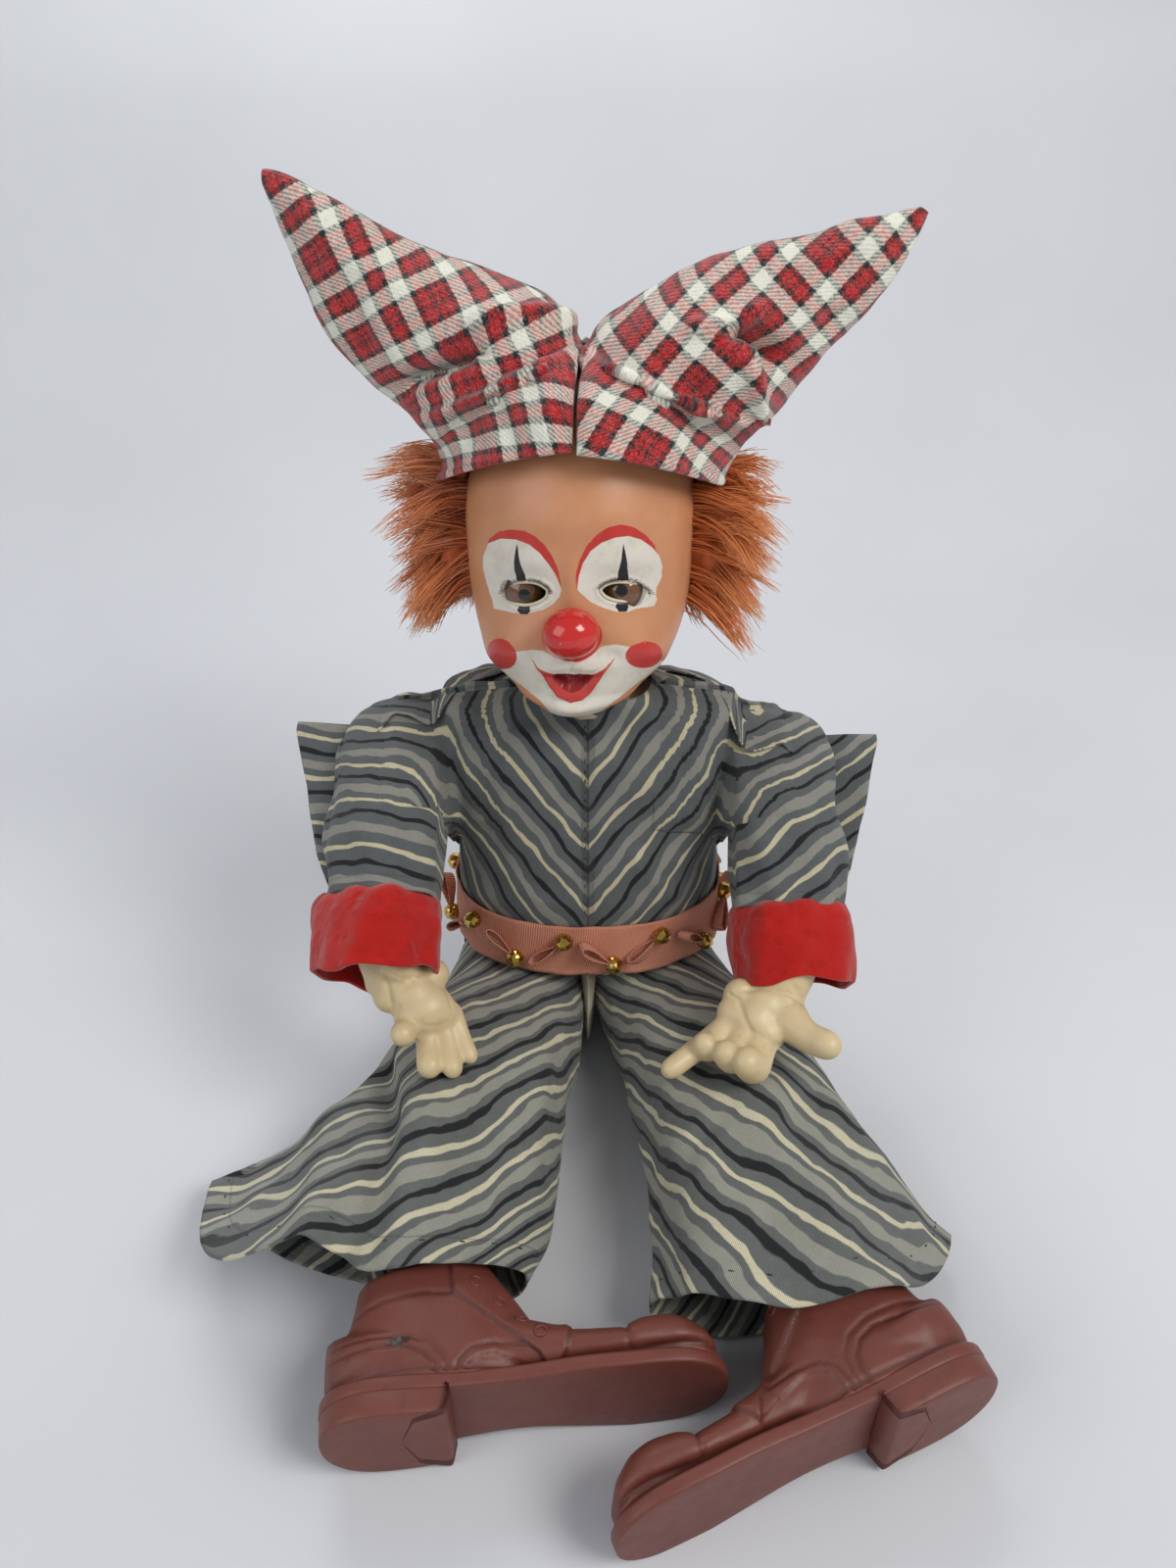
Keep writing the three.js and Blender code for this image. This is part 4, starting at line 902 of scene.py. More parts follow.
# The torso's level rings: height, then half width, half depth and where the middle is
TORSO = (
    (0, (52, 40, -22)),
    (9, (60, 46, -25)),
    (32, (61, 47, -26)),
    (70, (59, 42, -24)),
    (100, (58, 42, -21)),
    (130, (61, 39, -17)),
    (155, (61, 35, -15)),
    (170, (58, 26, -17)),
    (177, (37, 22, -21)),
    (181, (25, 21, -23)),
)
TORSO_POWER = 2.3
BELT_Z = 70.0
CHEVRON = math.radians(50)


def torso_rows(heights, cols, grow=0.0):
    """Rings of the torso from the front centre line round by the doll's left and back again."""
    angles = -math.pi / 2 + np.linspace(0, 2 * math.pi, cols)
    rows = []
    for z, (wide, deep, y) in zip(heights, blend_rows(TORSO, heights)):
        a, b = ring(angles, wide + grow, deep + grow, TORSO_POWER)
        rows.append(np.stack([a, y + b, np.full(cols, float(z))], -1))
    return np.array(rows)


def sew_grid(rows, cols):
    """Faces of a grid whose last column is left unjoined to its first."""
    return grid_faces(rows, cols, closed=False)


def close_seam(obj):
    """Joins the two edges of a grid that meet, keeping what is stored on each vertex."""
    bake(obj, ("WELD", {"merge_threshold": 0.02 * MM}))


def chevron(along, z):
    """Stripes that fall to the centre line from both sides."""
    return (z - np.abs(along) * math.tan(CHEVRON)) * math.cos(CHEVRON)


def torso_sheet(heights, cols):
    """Points of a sheet round the torso, each with its way round and its way from the front line."""
    points = torso_rows(heights, cols).reshape(-1, 3)
    run = run_of(points, len(heights), cols)
    half = run[:, -1:] / 2
    along = np.where(run > half, 2 * half - run, run)
    return points, run.ravel(), along.ravel()


# Half widths in mm: the body's cloth and the belt stay within theirs, sleeves and cuffs beyond theirs
BODY_SIDE = 61.2
BELT_SIDE = 61.5
SLEEVE_SIDE = 61.7
CREASED_SLEEVE_SIDE = 61.6
CUFF_SIDE = 61.9


def keep_beyond(points, side, limit):
    """Moves points that lie nearer to the middle than a limit out to it."""
    sign = SIGN[side]
    points[:, 0] = np.where(points[:, 0] * sign < limit, sign * limit, points[:, 0])


def bodice():
    """The suit's cloth round the chest, blousing a little over the belt."""
    rows, cols = 96, 221
    points, run, along = torso_sheet(np.linspace(70.3, 180.6, rows), cols)
    obj = piece("suit_bodice", points, sew_grid(rows, cols), SUIT_TOP)
    z = points[:, 2]
    store(obj, "stripe", chevron(along, z))
    store(obj, "weave", np.stack([run, z, z], -1))
    store(obj, "seam", np.minimum(along, 400))
    close_seam(obj)
    points = coords(obj)
    toward = normals(obj)
    valley = -1.1 * np.exp(-((points[:, 0] / 1.6) ** 2))
    blouse = 1.8 * np.exp(-(((points[:, 2] - 90) / 9) ** 2))
    blouse = blouse * (1 - 0.4 * smooth_step(40, 60, np.abs(points[:, 0])))
    set_coords(obj, points + toward * (valley + blouse)[:, None])
    above = smooth_step(82, 92, coords(obj)[:, 2])
    wrinkle(obj, 26, 1.3, 2, mask=above)
    press_folds(obj, BODICE_FOLDS)
    wrinkle(obj, 9, 0.35, 5, mask=above)
    points = coords(obj)
    points[:, 0] = np.clip(points[:, 0], -BODY_SIDE, BODY_SIDE)
    set_coords(obj, points)
    thicken(obj, 1.1)
    cloth(obj, 240, "gathered", ["torso_padding", "belt"])
    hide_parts("bodice")
    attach(obj, "torso")


BODICE_FOLDS = (
    ([(478, 720), (470, 790), (476, 860)], 13, 2.2),
    ([(500, 700), (492, 780), (500, 850), (520, 905)], 10, -1.6),
    ([(702, 740), (716, 800), (708, 870)], 13, 2.2),
    ([(690, 760), (692, 820), (680, 890)], 9, -1.8),
    ([(600, 730), (588, 830), (585, 935)], 5, -0.9),
    ([(640, 860), (662, 895), (700, 920)], 9, 1.2),
    ([(500, 870), (530, 905), (560, 925)], 9, 1.2),
    ([(655, 690), (720, 700), (768, 716)], 5, 2.0),
    ([(505, 685), (455, 700), (418, 716)], 5, 2.0),
)


THIGH_ROOM = 28.5


def hip_depth(z, radius):
    """How far back the thigh's room reaches at a height."""
    return HIP[1] + np.sqrt(np.maximum(radius**2 - (z - HIP[2]) ** 2, 0))


def leave_thigh_room(points, radius, beyond=-1.0):
    """Draws the points back that lie where a thigh passes, further out than a half width."""
    z = points[:, 2]
    room = np.where(z < HIP[2], HIP[1] + radius, hip_depth(z, radius))
    beside = (z < HIP[2] + radius) & (np.abs(points[:, 0]) > beyond)
    points[:, 1] = np.where(beside, np.maximum(points[:, 1], room), points[:, 1])


def trouser_seat():
    """The trousers' seat, with room in front for the thighs."""
    rows, cols = 64, 201
    heights = np.r_[np.linspace(0.35, 6, 8), np.linspace(7.2, 69.6, rows - 8)]
    points, run, along = torso_sheet(heights, cols)
    z = points[:, 2]
    leave_thigh_room(points, THIGH_ROOM)
    obj = piece("suit_seat", points, sew_grid(rows, cols), SUIT_LEGS)
    store(obj, "stripe", chevron(-along, z))
    store(obj, "weave", np.stack([run, z, z], -1))
    store(obj, "seam", along)
    close_seam(obj)
    mask = smooth_step(0.5, 5, coords(obj)[:, 2])
    wrinkle(obj, 22, 1.0, 11, mask=mask)
    points = coords(obj)
    points[:, 0] = np.clip(points[:, 0], -BODY_SIDE, BODY_SIDE)
    points[:, 2] = np.maximum(points[:, 2], 0.3)
    set_coords(obj, points)
    thicken(obj, 1.1)
    cloth(obj, 240, "gathered", ["torso_padding"])
    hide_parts("trouser_seat")
    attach(obj, "torso")


# Half the room between the two trouser legs
LEG_GAP = 0.7
HEM_ANGLE = {"left": 18, "right": 22}
HEM_DISTANCE = {"left": 155.0, "right": 140.5}
HEM_HALF_WIDTH = {"left": 63.0, "right": 71.0}
HEM_BULGE = 33.0
HEM_DROP = {"left": 0.55, "right": 0.5}


def leg_along(side):
    """The direction from the hip to the ankle."""
    angle = SIGN[side] * math.radians(LEG_SPLAY[side])
    return unit([math.sin(angle), -math.cos(angle), (ANKLE_Z - HIP[2]) / LEG_LENGTH])


TROUSER_FOLDS = {
    "right": (
        ([(380, 1040), (392, 1130), (386, 1240), (362, 1346)], 14, -7.0),
        ([(352, 1050), (340, 1140), (318, 1250), (300, 1340)], 20, 3.5),
        ([(430, 1110), (440, 1200), (425, 1320)], 20, 3.0),
        ([(500, 1010), (492, 1100), (500, 1200), (490, 1310)], 16, -2.2),
        ([(300, 1100), (262, 1170), (222, 1250)], 14, -2.5),
        ([(560, 1050), (548, 1150), (545, 1250)], 10, 1.6),
    ),
    "left": (
        ([(640, 1040), (655, 1140), (672, 1250), (690, 1360)], 16, -3.2),
        ([(700, 1110), (735, 1200), (770, 1300), (790, 1350)], 24, 3.0),
        ([(790, 1120), (850, 1190), (900, 1290)], 18, -3.0),
        ([(820, 1100), (890, 1170), (950, 1270)], 12, 2.6),
        ([(610, 1060), (622, 1170), (650, 1290)], 9, 2.0),
        ([(740, 1130), (700, 1180), (672, 1240)], 12, -1.8),
    ),
}
STRIPE_SLANT = {"left": math.radians(60), "right": math.radians(55)}
HEM_SKEW = {"left": 0.2, "right": 1.3}


def trouser_leg(side):
    """A trouser leg that widens from the hip to a full hem, which lies on the floor."""
    sign = SIGN[side]
    rows, cols = 150, 221
    hip = HIP * [sign, 1, 1]
    angle = sign * math.radians(HEM_ANGLE[side])
    to_hem = np.array([math.sin(angle), -math.cos(angle), 0])
    level = unit(leg_along(side) * [1, 1, 0])
    hem = HEM_HALF_WIDTH[side]
    stations = (
        (-0.14, (26.0, 25.0, 0, 0)),
        (-0.05, (27.0, 26.8, 0, 0)),
        (0.0, (27.3, 27.2, 0, 0)),
        (0.19, (30.0, 27.6, 0, 0.3)),
        (0.38, (38.0, 31.0, 0, 0.8)),
        (0.6, (46.0, 31.0, 3, 1.4)),
        (0.85, (hem - 8, 29.5, HEM_BULGE * 0.6, 2.2)),
        (1.0, (hem, 28.5, HEM_BULGE, 2.8)),
    )
    shares = np.linspace(-0.14, 1.0, rows)
    turn = np.linspace(0, 2 * math.pi, cols) - math.pi / 2
    points = []
    for share, (wide, high, bulge, waves) in zip(shares, blend_rows(stations, shares)):
        lean = max(share, 0) ** 2
        along = unit(level * (1 - lean) + to_hem * lean)
        across = np.array([-along[1], along[0], 0])
        across = across if across[0] > 0 else -across
        a, b = ring(turn, 1.0, 1.0, 2.2)
        outer = smooth_step(0.05, 0.95, a * sign) * smooth_step(0.3, 0.95, share)
        wave = waves * np.cos(7 * np.arcsin(np.clip(a, -1, 1))) * np.maximum(b, 0)
        wave += waves * 0.5 * np.sin(3.1 * a + 4 * share + sign) * np.maximum(b, 0)
        forward = np.where(b > 0, bulge, bulge * 0.3) * (1 - a**2)
        forward *= 1 + HEM_SKEW[side] * np.maximum(a * sign, 0)
        inner = smooth_step(0.2, 0.9, -a * sign) * (1 - smooth_step(0.12, 0.5, share))
        centre = hip + along * share * HEM_DISTANCE[side]
        centre[2] = 0.45 + high
        place = centre + np.outer(a * wide, across) + np.outer(forward, along)
        place[:, 2] += b * high + wave
        place[:, 2] *= 1 - HEM_DROP[side] * outer
        place[:, 0] -= sign * 7.5 * inner
        points.append(place)
    points = np.array(points)
    run = run_of(points.reshape(-1, 3), rows, cols)
    flat = points.reshape(-1, 3)
    obj = piece(f"suit_leg_{side}", flat, sew_grid(rows, cols), SUIT_LEGS)
    spread = (run[:, cols // 2 : cols // 2 + 1] - run).ravel()
    length = np.repeat(shares * HEM_DISTANCE[side] * 1.06, cols)
    slant = STRIPE_SLANT[side] - math.radians(13) * np.clip(spread * sign / 60, -1, 1)
    store(obj, "stripe", -sign * spread * np.sin(slant) + length * np.cos(slant))
    store(obj, "weave", np.stack([spread, length, length], -1))
    side_seam = np.abs(np.abs(spread) - np.repeat(run[:, -1] / 2, cols))
    to_edge = (1 - np.repeat(shares, cols)) * HEM_DISTANCE[side]
    store(obj, "seam", np.minimum(side_seam, np.abs(to_edge - 7.5) + 0.35))
    close_seam(obj)
    points = coords(obj)
    out = smooth_step(5, 60, -points[:, 1] - 42)
    wrinkle(obj, 30, 1.6, 20 + sign, mask=0.4 + 0.6 * out)
    press_folds(obj, TROUSER_FOLDS[side])
    wrinkle(obj, 10, 0.45, 30 + sign)
    points = coords(obj)
    points[:, 2] = np.maximum(points[:, 2], 0.35 + 0.3 * np.abs(np.sin(points[:, 0] * 0.3)))
    keep_beyond(points, side, LEG_GAP)
    set_coords(obj, points)
    hem_line = flat.reshape(rows, cols, 3)[rows - 7, cols // 4 + 4 : -cols // 4 - 4 : 4]
    stitches(f"hem_stitches_{side}", tree_of(obj.name), hem_line, f"leg_{side}")
    thicken(obj, 1.0)
    cloth(obj, 190, "gathered", [f"leg_padding_{side}"])
    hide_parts(f"trouser_leg_{side}")
    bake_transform(obj)


FIN_TOP = 11.0
FIN_DROP = {"left": 9.0, "right": 1.0}
SLEEVE_END = 73.0
FIN_FOOT = -72.5
FIN_START = 10
FIN_EDGE = ((-74, 25), (-72, 25.5), (-50, 35), (-20, 43), (7, 49), (11, 48.5))
SLEEVE_TILT = {"left": math.radians(33), "right": math.radians(10)}


def sleeve_stripe(side, local):
    """Stripes run round the arm and rise to its outer side."""
    tilt = SLEEVE_TILT[side]
    return (local[:, 2] - local[:, 0] * SIGN[side] * math.tan(tilt)) * math.cos(tilt)


SHOULDER_DROP = {"left": 0.42, "right": 0.68}


def lower_shoulder(side, points):
    """The rest pose's slope of the shoulder: the dome's top is drawn down."""
    points = points.copy()
    low = SHOULDER[2] - 4
    above = points[:, 2] > low
    points[:, 2] = np.where(above, low + (points[:, 2] - low) * SHOULDER_DROP[side], points[:, 2])
    return points


def sleeve(side):
    """A full sleeve, domed over the shoulder, hanging along -z of the arm's own frame."""
    sign = SIGN[side]
    rows, cols = 110, 160
    stations = (
        (-22.6, (0.8, 0)),
        (-21.5, (7.5, 0)),
        (-17, (15.2, 0)),
        (-9, (20.6, 0)),
        (0, (22.5, 0)),
        (35, (24.2, 0.6)),
        (52, (24.6, 1.2)),
        (66, (22.4, 1.6)),
        (SLEEVE_END, (21.4, 1.8)),
    )
    heights = np.r_[
        -22.6 + 22.6 * (1 - np.cos(np.linspace(0, math.pi / 2, 26))),
        np.linspace(1, SLEEVE_END, rows - 26),
    ]
    turn = np.linspace(0, 2 * math.pi, cols, endpoint=False)
    local = []
    for s, (size, folds) in zip(heights, blend_rows(stations, heights)):
        pleats = folds * 0.6 * np.sin(7 * turn - 0.08 * s + sign)
        shape = size + folds * np.sin(3 * turn + 0.05 * s) * 0.5 + pleats
        x = sign * ARM_DRIFT * max(s, 0) / ARM_LENGTH + np.cos(turn) * shape
        local.append(np.stack([x, np.sin(turn) * shape, np.full(cols, -s)], -1))
    local = np.concatenate(local)
    outer = smooth_step(-6, 14, local[:, 0] * sign) * smooth_step(-30, 0, local[:, 2])
    local[:, 0] += sign * 2.5 * outer
    local, faces = capped(local, grid_faces(rows, cols), cols, rows, end=False)
    points = lower_shoulder(side, arm_to_world(side, local))
    keep_beyond(points, side, SLEEVE_SIDE)
    obj = piece(f"suit_sleeve_{side}", points, faces, SUIT_TOP)
    store(obj, "stripe", sleeve_stripe(side, local))
    round_arm = np.arctan2(local[:, 1], local[:, 0]) * 22
    store(obj, "weave", np.stack([round_arm, local[:, 2], local[:, 0]], -1))
    store(obj, "seam", np.abs(SLEEVE_END + local[:, 2] - 5) + 0.3)
    wrinkle(obj, 20, 1.0, 40 + sign, mask=smooth_step(0, 8, np.abs(points[:, 0]) - 62.5))
    press_folds(obj, SLEEVE_FOLDS[side])
    wrinkle(obj, 8, 0.3, 44 + sign)
    points = coords(obj)
    keep_beyond(points, side, CREASED_SLEEVE_SIDE)
    set_coords(obj, points)
    thicken(obj, 1.0)
    cloth(obj, 140, "hung", [f"arm_padding_{side}"])
    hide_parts(f"sleeve_{side}")
    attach(obj, f"arm_{side}")


SLEEVE_FOLDS = {
    "right": (
        ([(455, 735), (440, 800), (452, 880)], 10, -2.2),
        ([(352, 740), (342, 800), (340, 880)], 9, -3.0),
        ([(372, 880), (405, 892), (445, 884)], 7, 1.8),
        ([(380, 900), (420, 905), (455, 896)], 5, -1.6),
        ([(400, 730), (385, 800), (395, 860)], 14, 1.6),
    ),
    "left": (
        ([(722, 905), (770, 880), (820, 868), (858, 872)], 7, -2.6),
        ([(720, 868), (760, 845), (805, 832), (850, 836)], 9, 2.8),
        ([(728, 838), (752, 800), (800, 790)], 9, -2.4),
        ([(740, 900), (790, 897), (850, 905)], 6, 2.0),
        ([(735, 780), (740, 820), (730, 860)], 8, 1.8),
        ([(780, 745), (820, 780), (850, 815)], 10, 1.6),
    ),
}


def fin_edge(z):
    """How far out the fin reaches at a height."""
    return np.interp(z, [h for h, _ in FIN_EDGE], [x for _, x in FIN_EDGE])


def fin(side):
    """The flat corner of doubled cloth that stands out behind the sleeve."""
    sign = SIGN[side]
    rows, cols = 70, 48
    heights = np.linspace(FIN_FOOT, FIN_TOP, rows)
    edge = fin_edge(heights)
    share = np.linspace(0, 1, cols)
    layers = []
    for face in (1, -1):
        x = FIN_START + np.outer(edge - FIN_START, share)
        z = np.repeat(heights[:, None], cols, axis=1)
        rim = np.sqrt(np.clip(1 - share**10, 0, 1))[None, :]
        top = np.clip((FIN_TOP - z) / 2.2, 0, 1) ** 0.5 * np.clip((z - FIN_FOOT) / 2.2, 0, 1) ** 0.5
        wave = 1.6 * np.sin(x / 13 + z / 21 + sign) + 1.0 * np.sin(z / 9 - x / 20)
        y = 4.4 + wave * smooth_step(18, 34, x) * 0.8 + face * (1.55 * rim * top)
        layers.append(np.stack([sign * x, y, z], -1).reshape(-1, 3))
    local = np.concatenate(layers)
    faces = grid_faces(rows, cols, closed=False)
    count = rows * cols
    faces = faces + [tuple(count + i for i in reversed(face)) for face in faces]
    for r in range(rows - 1):
        a, b = r * cols + cols - 1, (r + 1) * cols + cols - 1
        faces.append((a, count + a, count + b, b))
        a, b = r * cols, (r + 1) * cols
        faces.append((b, count + b, count + a, a))
    for c in range(cols - 1):
        for row in (0, rows - 1):
            a, b = row * cols + c, row * cols + c + 1
            faces.append((a, b, count + b, count + a))
    points = arm_to_world(side, local)
    points[:, 2] -= FIN_DROP[side]
    obj = piece(f"suit_fin_{side}", points, faces, SUIT_TOP)
    store(obj, "stripe", sleeve_stripe(side, local) + 3.0)
    store(obj, "weave", local)
    x, z = np.abs(local[:, 0]), local[:, 2]
    to_edge = np.minimum(fin_edge(z) - x, FIN_TOP - z)
    store(obj, "seam", np.abs(to_edge - 3.4) + 0.45)
    bake(obj, ("WELD", {"merge_threshold": 0.05 * MM}))
    fix_normals(obj)
    wrinkle(obj, 17, 0.7, 50 + sign)
    bake(obj, ("SUBSURF", {"levels": 1, "render_levels": 1}))
    cloth(obj, 55, "hung", [f"suit_sleeve_{side}"])
    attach(obj, f"arm_{side}")


def fix_normals(obj):
    """Turns all faces outward."""
    mesh = bmesh.new()
    mesh.from_mesh(obj.data)
    bmesh.ops.recalc_face_normals(mesh, faces=mesh.faces)
    mesh.to_mesh(obj.data)
    mesh.free()
    obj.data.update()


def cuff(side):
    """A wide felt cuff with a turned edge and one pinched corner."""
    sign = SIGN[side]
    rows, cols = 44, 150
    turn = np.linspace(0, 2 * math.pi, cols, endpoint=False)
    stations = (
        (72.2, (19.0, 0.5)),
        (74, (21.2, 1.0)),
        (80, (23.2, 1.4)),
        (92, (23.4, 1.2)),
        (100, (22.6, 1.2)),
        (103.2, (22.0, 1.0)),
    )
    heights = np.linspace(72.2, 103.2, rows)
    pinch_at = {"right": math.radians(168), "left": math.radians(20)}[side]
    local = []
    for s, (size, folds) in zip(heights, blend_rows(stations, heights)):
        off = (turn - pinch_at + math.pi) % (2 * math.pi) - math.pi
        pinch = 5.0 * np.exp(-((off / 0.22) ** 2)) * smooth_step(92, 76, s)
        shape = size + folds * np.sin(4 * turn + 1.3 * sign + s * 0.03)
        shape = shape + 0.5 * np.sin(9 * turn + s * 0.1) + pinch
        drop = 1.6 * np.sin(2 * turn + sign) + 0.9 * np.sin(5 * turn)
        corner = 3.0 * np.exp(-((off / 0.25) ** 2)) * smooth_step(90, 76, s)
        z = -(s + drop * smooth_step(90, 103, s) - corner)
        x = sign * ARM_DRIFT * s / ARM_LENGTH + np.cos(turn) * shape
        local.append(np.stack([x, np.sin(turn) * shape, z], -1))
    local = np.concatenate(local)
    points = arm_to_world(side, local)
    keep_beyond(points, side, CUFF_SIDE)
    obj = piece(f"cuff_cloth_{side}", points, grid_faces(rows, cols), RED_FELT)
    round_arm = np.arctan2(local[:, 1], local[:, 0]) * 22
    store(obj, "weave", np.stack([round_arm, local[:, 2], np.zeros(len(local))], -1))
    wrinkle(obj, 12, 0.9, 60 + sign)
    thicken(obj, 2.4, 1)
    cloth(obj, 145, "folded", [f"suit_sleeve_{side}"])
    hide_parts(f"cuff_{side}")
    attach(obj, f"arm_{side}")


def padding(name, points, faces, look, body, node, puff, cap=2.0):
    """A stuffed cloth form: remeshed, blown up a little by a cloth simulation, and smoothed."""
    obj = piece(name, points, faces, look)
    fix_normals(obj)
    bake(obj, ("REMESH", {"mode": "VOXEL", "voxel_size": 5 * MM, "use_smooth_shade": True}))
    before = coords(obj)
    blow(obj, puff)
    moved = coords(obj) - before
    size = np.linalg.norm(moved, axis=1, keepdims=True)
    set_coords(obj, before + moved * np.minimum(1, cap / np.maximum(size, 1e-6)))
    bake(obj, ("SUBSURF", {"levels": 1, "render_levels": 1}))
    wrinkle(obj, 7, 0.35, 70)
    store(obj, "at", coords(obj))
    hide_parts(node)
    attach(obj, body)
    return obj


def blow(obj, pressure):
    """One cloth simulation under pressure, with no gravity."""
    scene = bpy.context.scene
    scene.frame_set(1)
    modifier = obj.modifiers.new("Cloth", "CLOTH")
    modifier.settings.use_pressure = True
    modifier.settings.uniform_pressure_force = pressure
    modifier.settings.effector_weights.gravity = 0
    modifier.settings.quality = 4
    for step in range(1, 17):
        scene.frame_set(step)
    bake(obj)
    scene.frame_set(1)


def torso_padding():
    """The stuffed body, with the room for the thighs left out."""
    rows, cols = 46, 96
    heights = np.linspace(3.0, 165, rows)
    grid = torso_rows(heights, cols + 1, grow=-3.6)[:, :-1]
    points = grid.reshape(-1, 3)
    leave_thigh_room(points, THIGH_ROOM + 3.0, beyond=5.0)
    points, faces = capped(points, grid_faces(rows, cols), cols, rows)
    padding("torso_padding", points, faces, MUSLIN, "torso", "cloth_torso", puff=1.5)


def neck_cloth():
    """The gathered neck of the stuffed body, tied off below the head."""
    rows, cols = 16, 48
    turn = np.linspace(0, 2 * math.pi, cols, endpoint=False)
    spread = np.linspace(-84, -62.6, rows)
    neck = []
    for z in spread:
        waist = 1.6 * np.exp(-(((z + 66.5) / 2.2) ** 2))
        size = 16.6 + 0.5 * np.sin(9 * turn) * smooth_step(-74, -64, z) - waist
        neck.append(np.stack([np.cos(turn) * size, NECK_Y + np.sin(turn) * size, np.full(cols, z)], -1))
    neck, faces = capped(
        np.concatenate(neck), grid_faces(rows, cols), cols, rows, start=False, end=False
    )
    tilted = neck @ rotation((1, 0, 0), HEAD_TILT).T + HEAD_AT
    obj = piece("torso_neck", tilted, faces, MUSLIN)
    thicken(obj, 1.5)
    cloth(obj, 100, "gathered", ["neck_tie"])
    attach(obj, "torso")


def tube(stations, cols, rows, up=(0, 0, 1)):
    """A closed round form through (place, half width, half height) stations."""
    xs = np.linspace(0, 1, len(stations))
    keys = [(x, (*at, wide, high)) for x, (at, wide, high) in zip(xs, stations)]
    values = blend_rows(keys, np.linspace(0, 1, rows))
    turn = np.linspace(0, 2 * math.pi, cols, endpoint=False)
    line = values[:, :3]
    ahead = unit_rows(np.gradient(line, axis=0))
    points = []
    for at, along, (wide, high) in zip(line, ahead, values[:, 3:]):
        side = unit(np.cross(along, up))
        rise = np.cross(side, along)
        points.append(at + np.outer(np.cos(turn) * wide, side) + np.outer(np.sin(turn) * high, rise))
    return capped(np.concatenate(points), grid_faces(rows, cols), cols, rows)


def arm_padding(side):
    """The stuffed arm inside the sleeve."""
    sign = SIGN[side]
    stations = (
        ((0, 0, 13), 5, 5),
        ((0, 0, 7), 13.5, 13.5),
        ((0.5 * sign, 0, -4), 15.4, 18.5),
        ((2 * sign, 0, -30), 16.5, 18.5),
        ((4 * sign, 0, -60), 14, 14),
        ((6 * sign, 0, -86), 11.8, 11.8),
    )
    points, faces = tube(stations, 40, 46, up=(0, 1, 0))
    points = lower_shoulder(side, arm_to_world(side, points))
    name, body, node = f"arm_padding_{side}", f"arm_{side}", f"cloth_arm_{side}"
    padding(name, points, faces, MUSLIN, body, node, puff=1.0, cap=1.0)


def leg_padding(side):
    """The stuffed leg inside the trousers."""
    sign = SIGN[side]
    hip = HIP * [sign, 1, 1]
    along = leg_along(side)
    stations = (
        (hip - along * 22, 11, 11),
        (hip - along * 14, 22, 20),
        (hip, 23, 22.5),
        (hip + along * 45, 22, 21.5),
        (hip + along * 110, 19, 18.5),
        (hip + along * 160, 14, 13.5),
        (hip + along * (LEG_LENGTH - 1), 13, 13),
    )
    points, faces = tube(stations, 44, 90)
    name, body, node = f"leg_padding_{side}", f"leg_{side}", f"cloth_leg_{side}"
    padding(name, points, faces, DARK_LEG_CLOTH, body, node, puff=1.0, cap=1.2)


STITCH_HALF = 1.25


def stitches(name, tree, line, body, lift=0.12):
    """Short black stitches laid on a surface along a line of places."""
    forms = []
    for a, b in zip(line[:-1:2], line[1::2]):
        spot, toward = tree.find_nearest(((a + b) / 2).tolist())[:2]
        toward = np.array(toward)
        along = unit(b - a)
        along = unit(along - toward * (along @ toward))
        broad = np.cross(along, toward)
        rings = []
        for share, size in ((-1, 0.05), (-0.7, 0.7), (0, 1.0), (0.7, 0.7), (1, 0.05)):
            turn = np.linspace(0, 2 * math.pi, 8, endpoint=False)
            middle = np.array(spot) + toward * (lift - 0.25 * share**2) + along * share * STITCH_HALF
            across, up = np.cos(turn) * size * 0.34, np.sin(turn) * size * 0.3
            rings.append(middle + np.outer(across, broad) + np.outer(up, toward))
        forms.append(capped(np.concatenate(rings), grid_faces(5, 8), 8, 5))
    points, faces = joined(forms)
    obj = piece(name, points, faces, THREAD)
    fix_normals(obj)
    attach(obj, body)


# Shoulder cloth: the bodice runs on over the joint into the sleeve, in a front and a back panel
YOKE_FACES = {"front": ((-0.69, 0.72), (-0.72, -0.69)), "back": ((0.72, 0.69), (0.69, -0.72))}
YOKE_REACH = {"front": 40.0, "back": 34.0}
YOKE_FLOOR = -13.0
YOKE_JOIN = {"front": (50, 74), "back": (61, 67)}
RIDGE = -17.0


def tree_of(*names):
    """The first surfaces met by rays at these pieces, in mm."""
    points, faces = [], []
    for name in names:
        obj = bpy.data.objects[name]
        base = sum(len(p) for p in points)
        points.append(coords(obj))
        faces += [[base + i for i in p.vertices] for p in obj.data.polygons]
    return BVHTree.FromPolygons(np.concatenate(points).tolist(), faces)


def draped(height, least, rounds, share=0.5):
    """A height field pulled taut over the forms below it."""
    for _ in range(rounds):
        flat = np.pad(height, 1, mode="edge")
        mean = (flat[:-2, 1:-1] + flat[2:, 1:-1] + flat[1:-1, :-2] + flat[1:-1, 2:]) / 4
        height = np.maximum(height + (mean - height) * share, least)
    return height


def stripe_near(name, points):
    """The stripe coordinate of the nearest place on another piece."""
    obj = bpy.data.objects[name]
    own = read(obj, "stripe")
    tree = tree_of(name)
    faces = obj.data.polygons
    out = []
    for point in points:
        face = faces[tree.find_nearest(point.tolist())[2]]
        corners = list(face.vertices)
        away = [np.linalg.norm(np.array(obj.data.vertices[i].co) / MM - point) for i in corners]
        weight = 1 / (np.array(away) + 0.01)
        out.append((own[corners] * weight).sum() / weight.sum())
    return np.array(out)


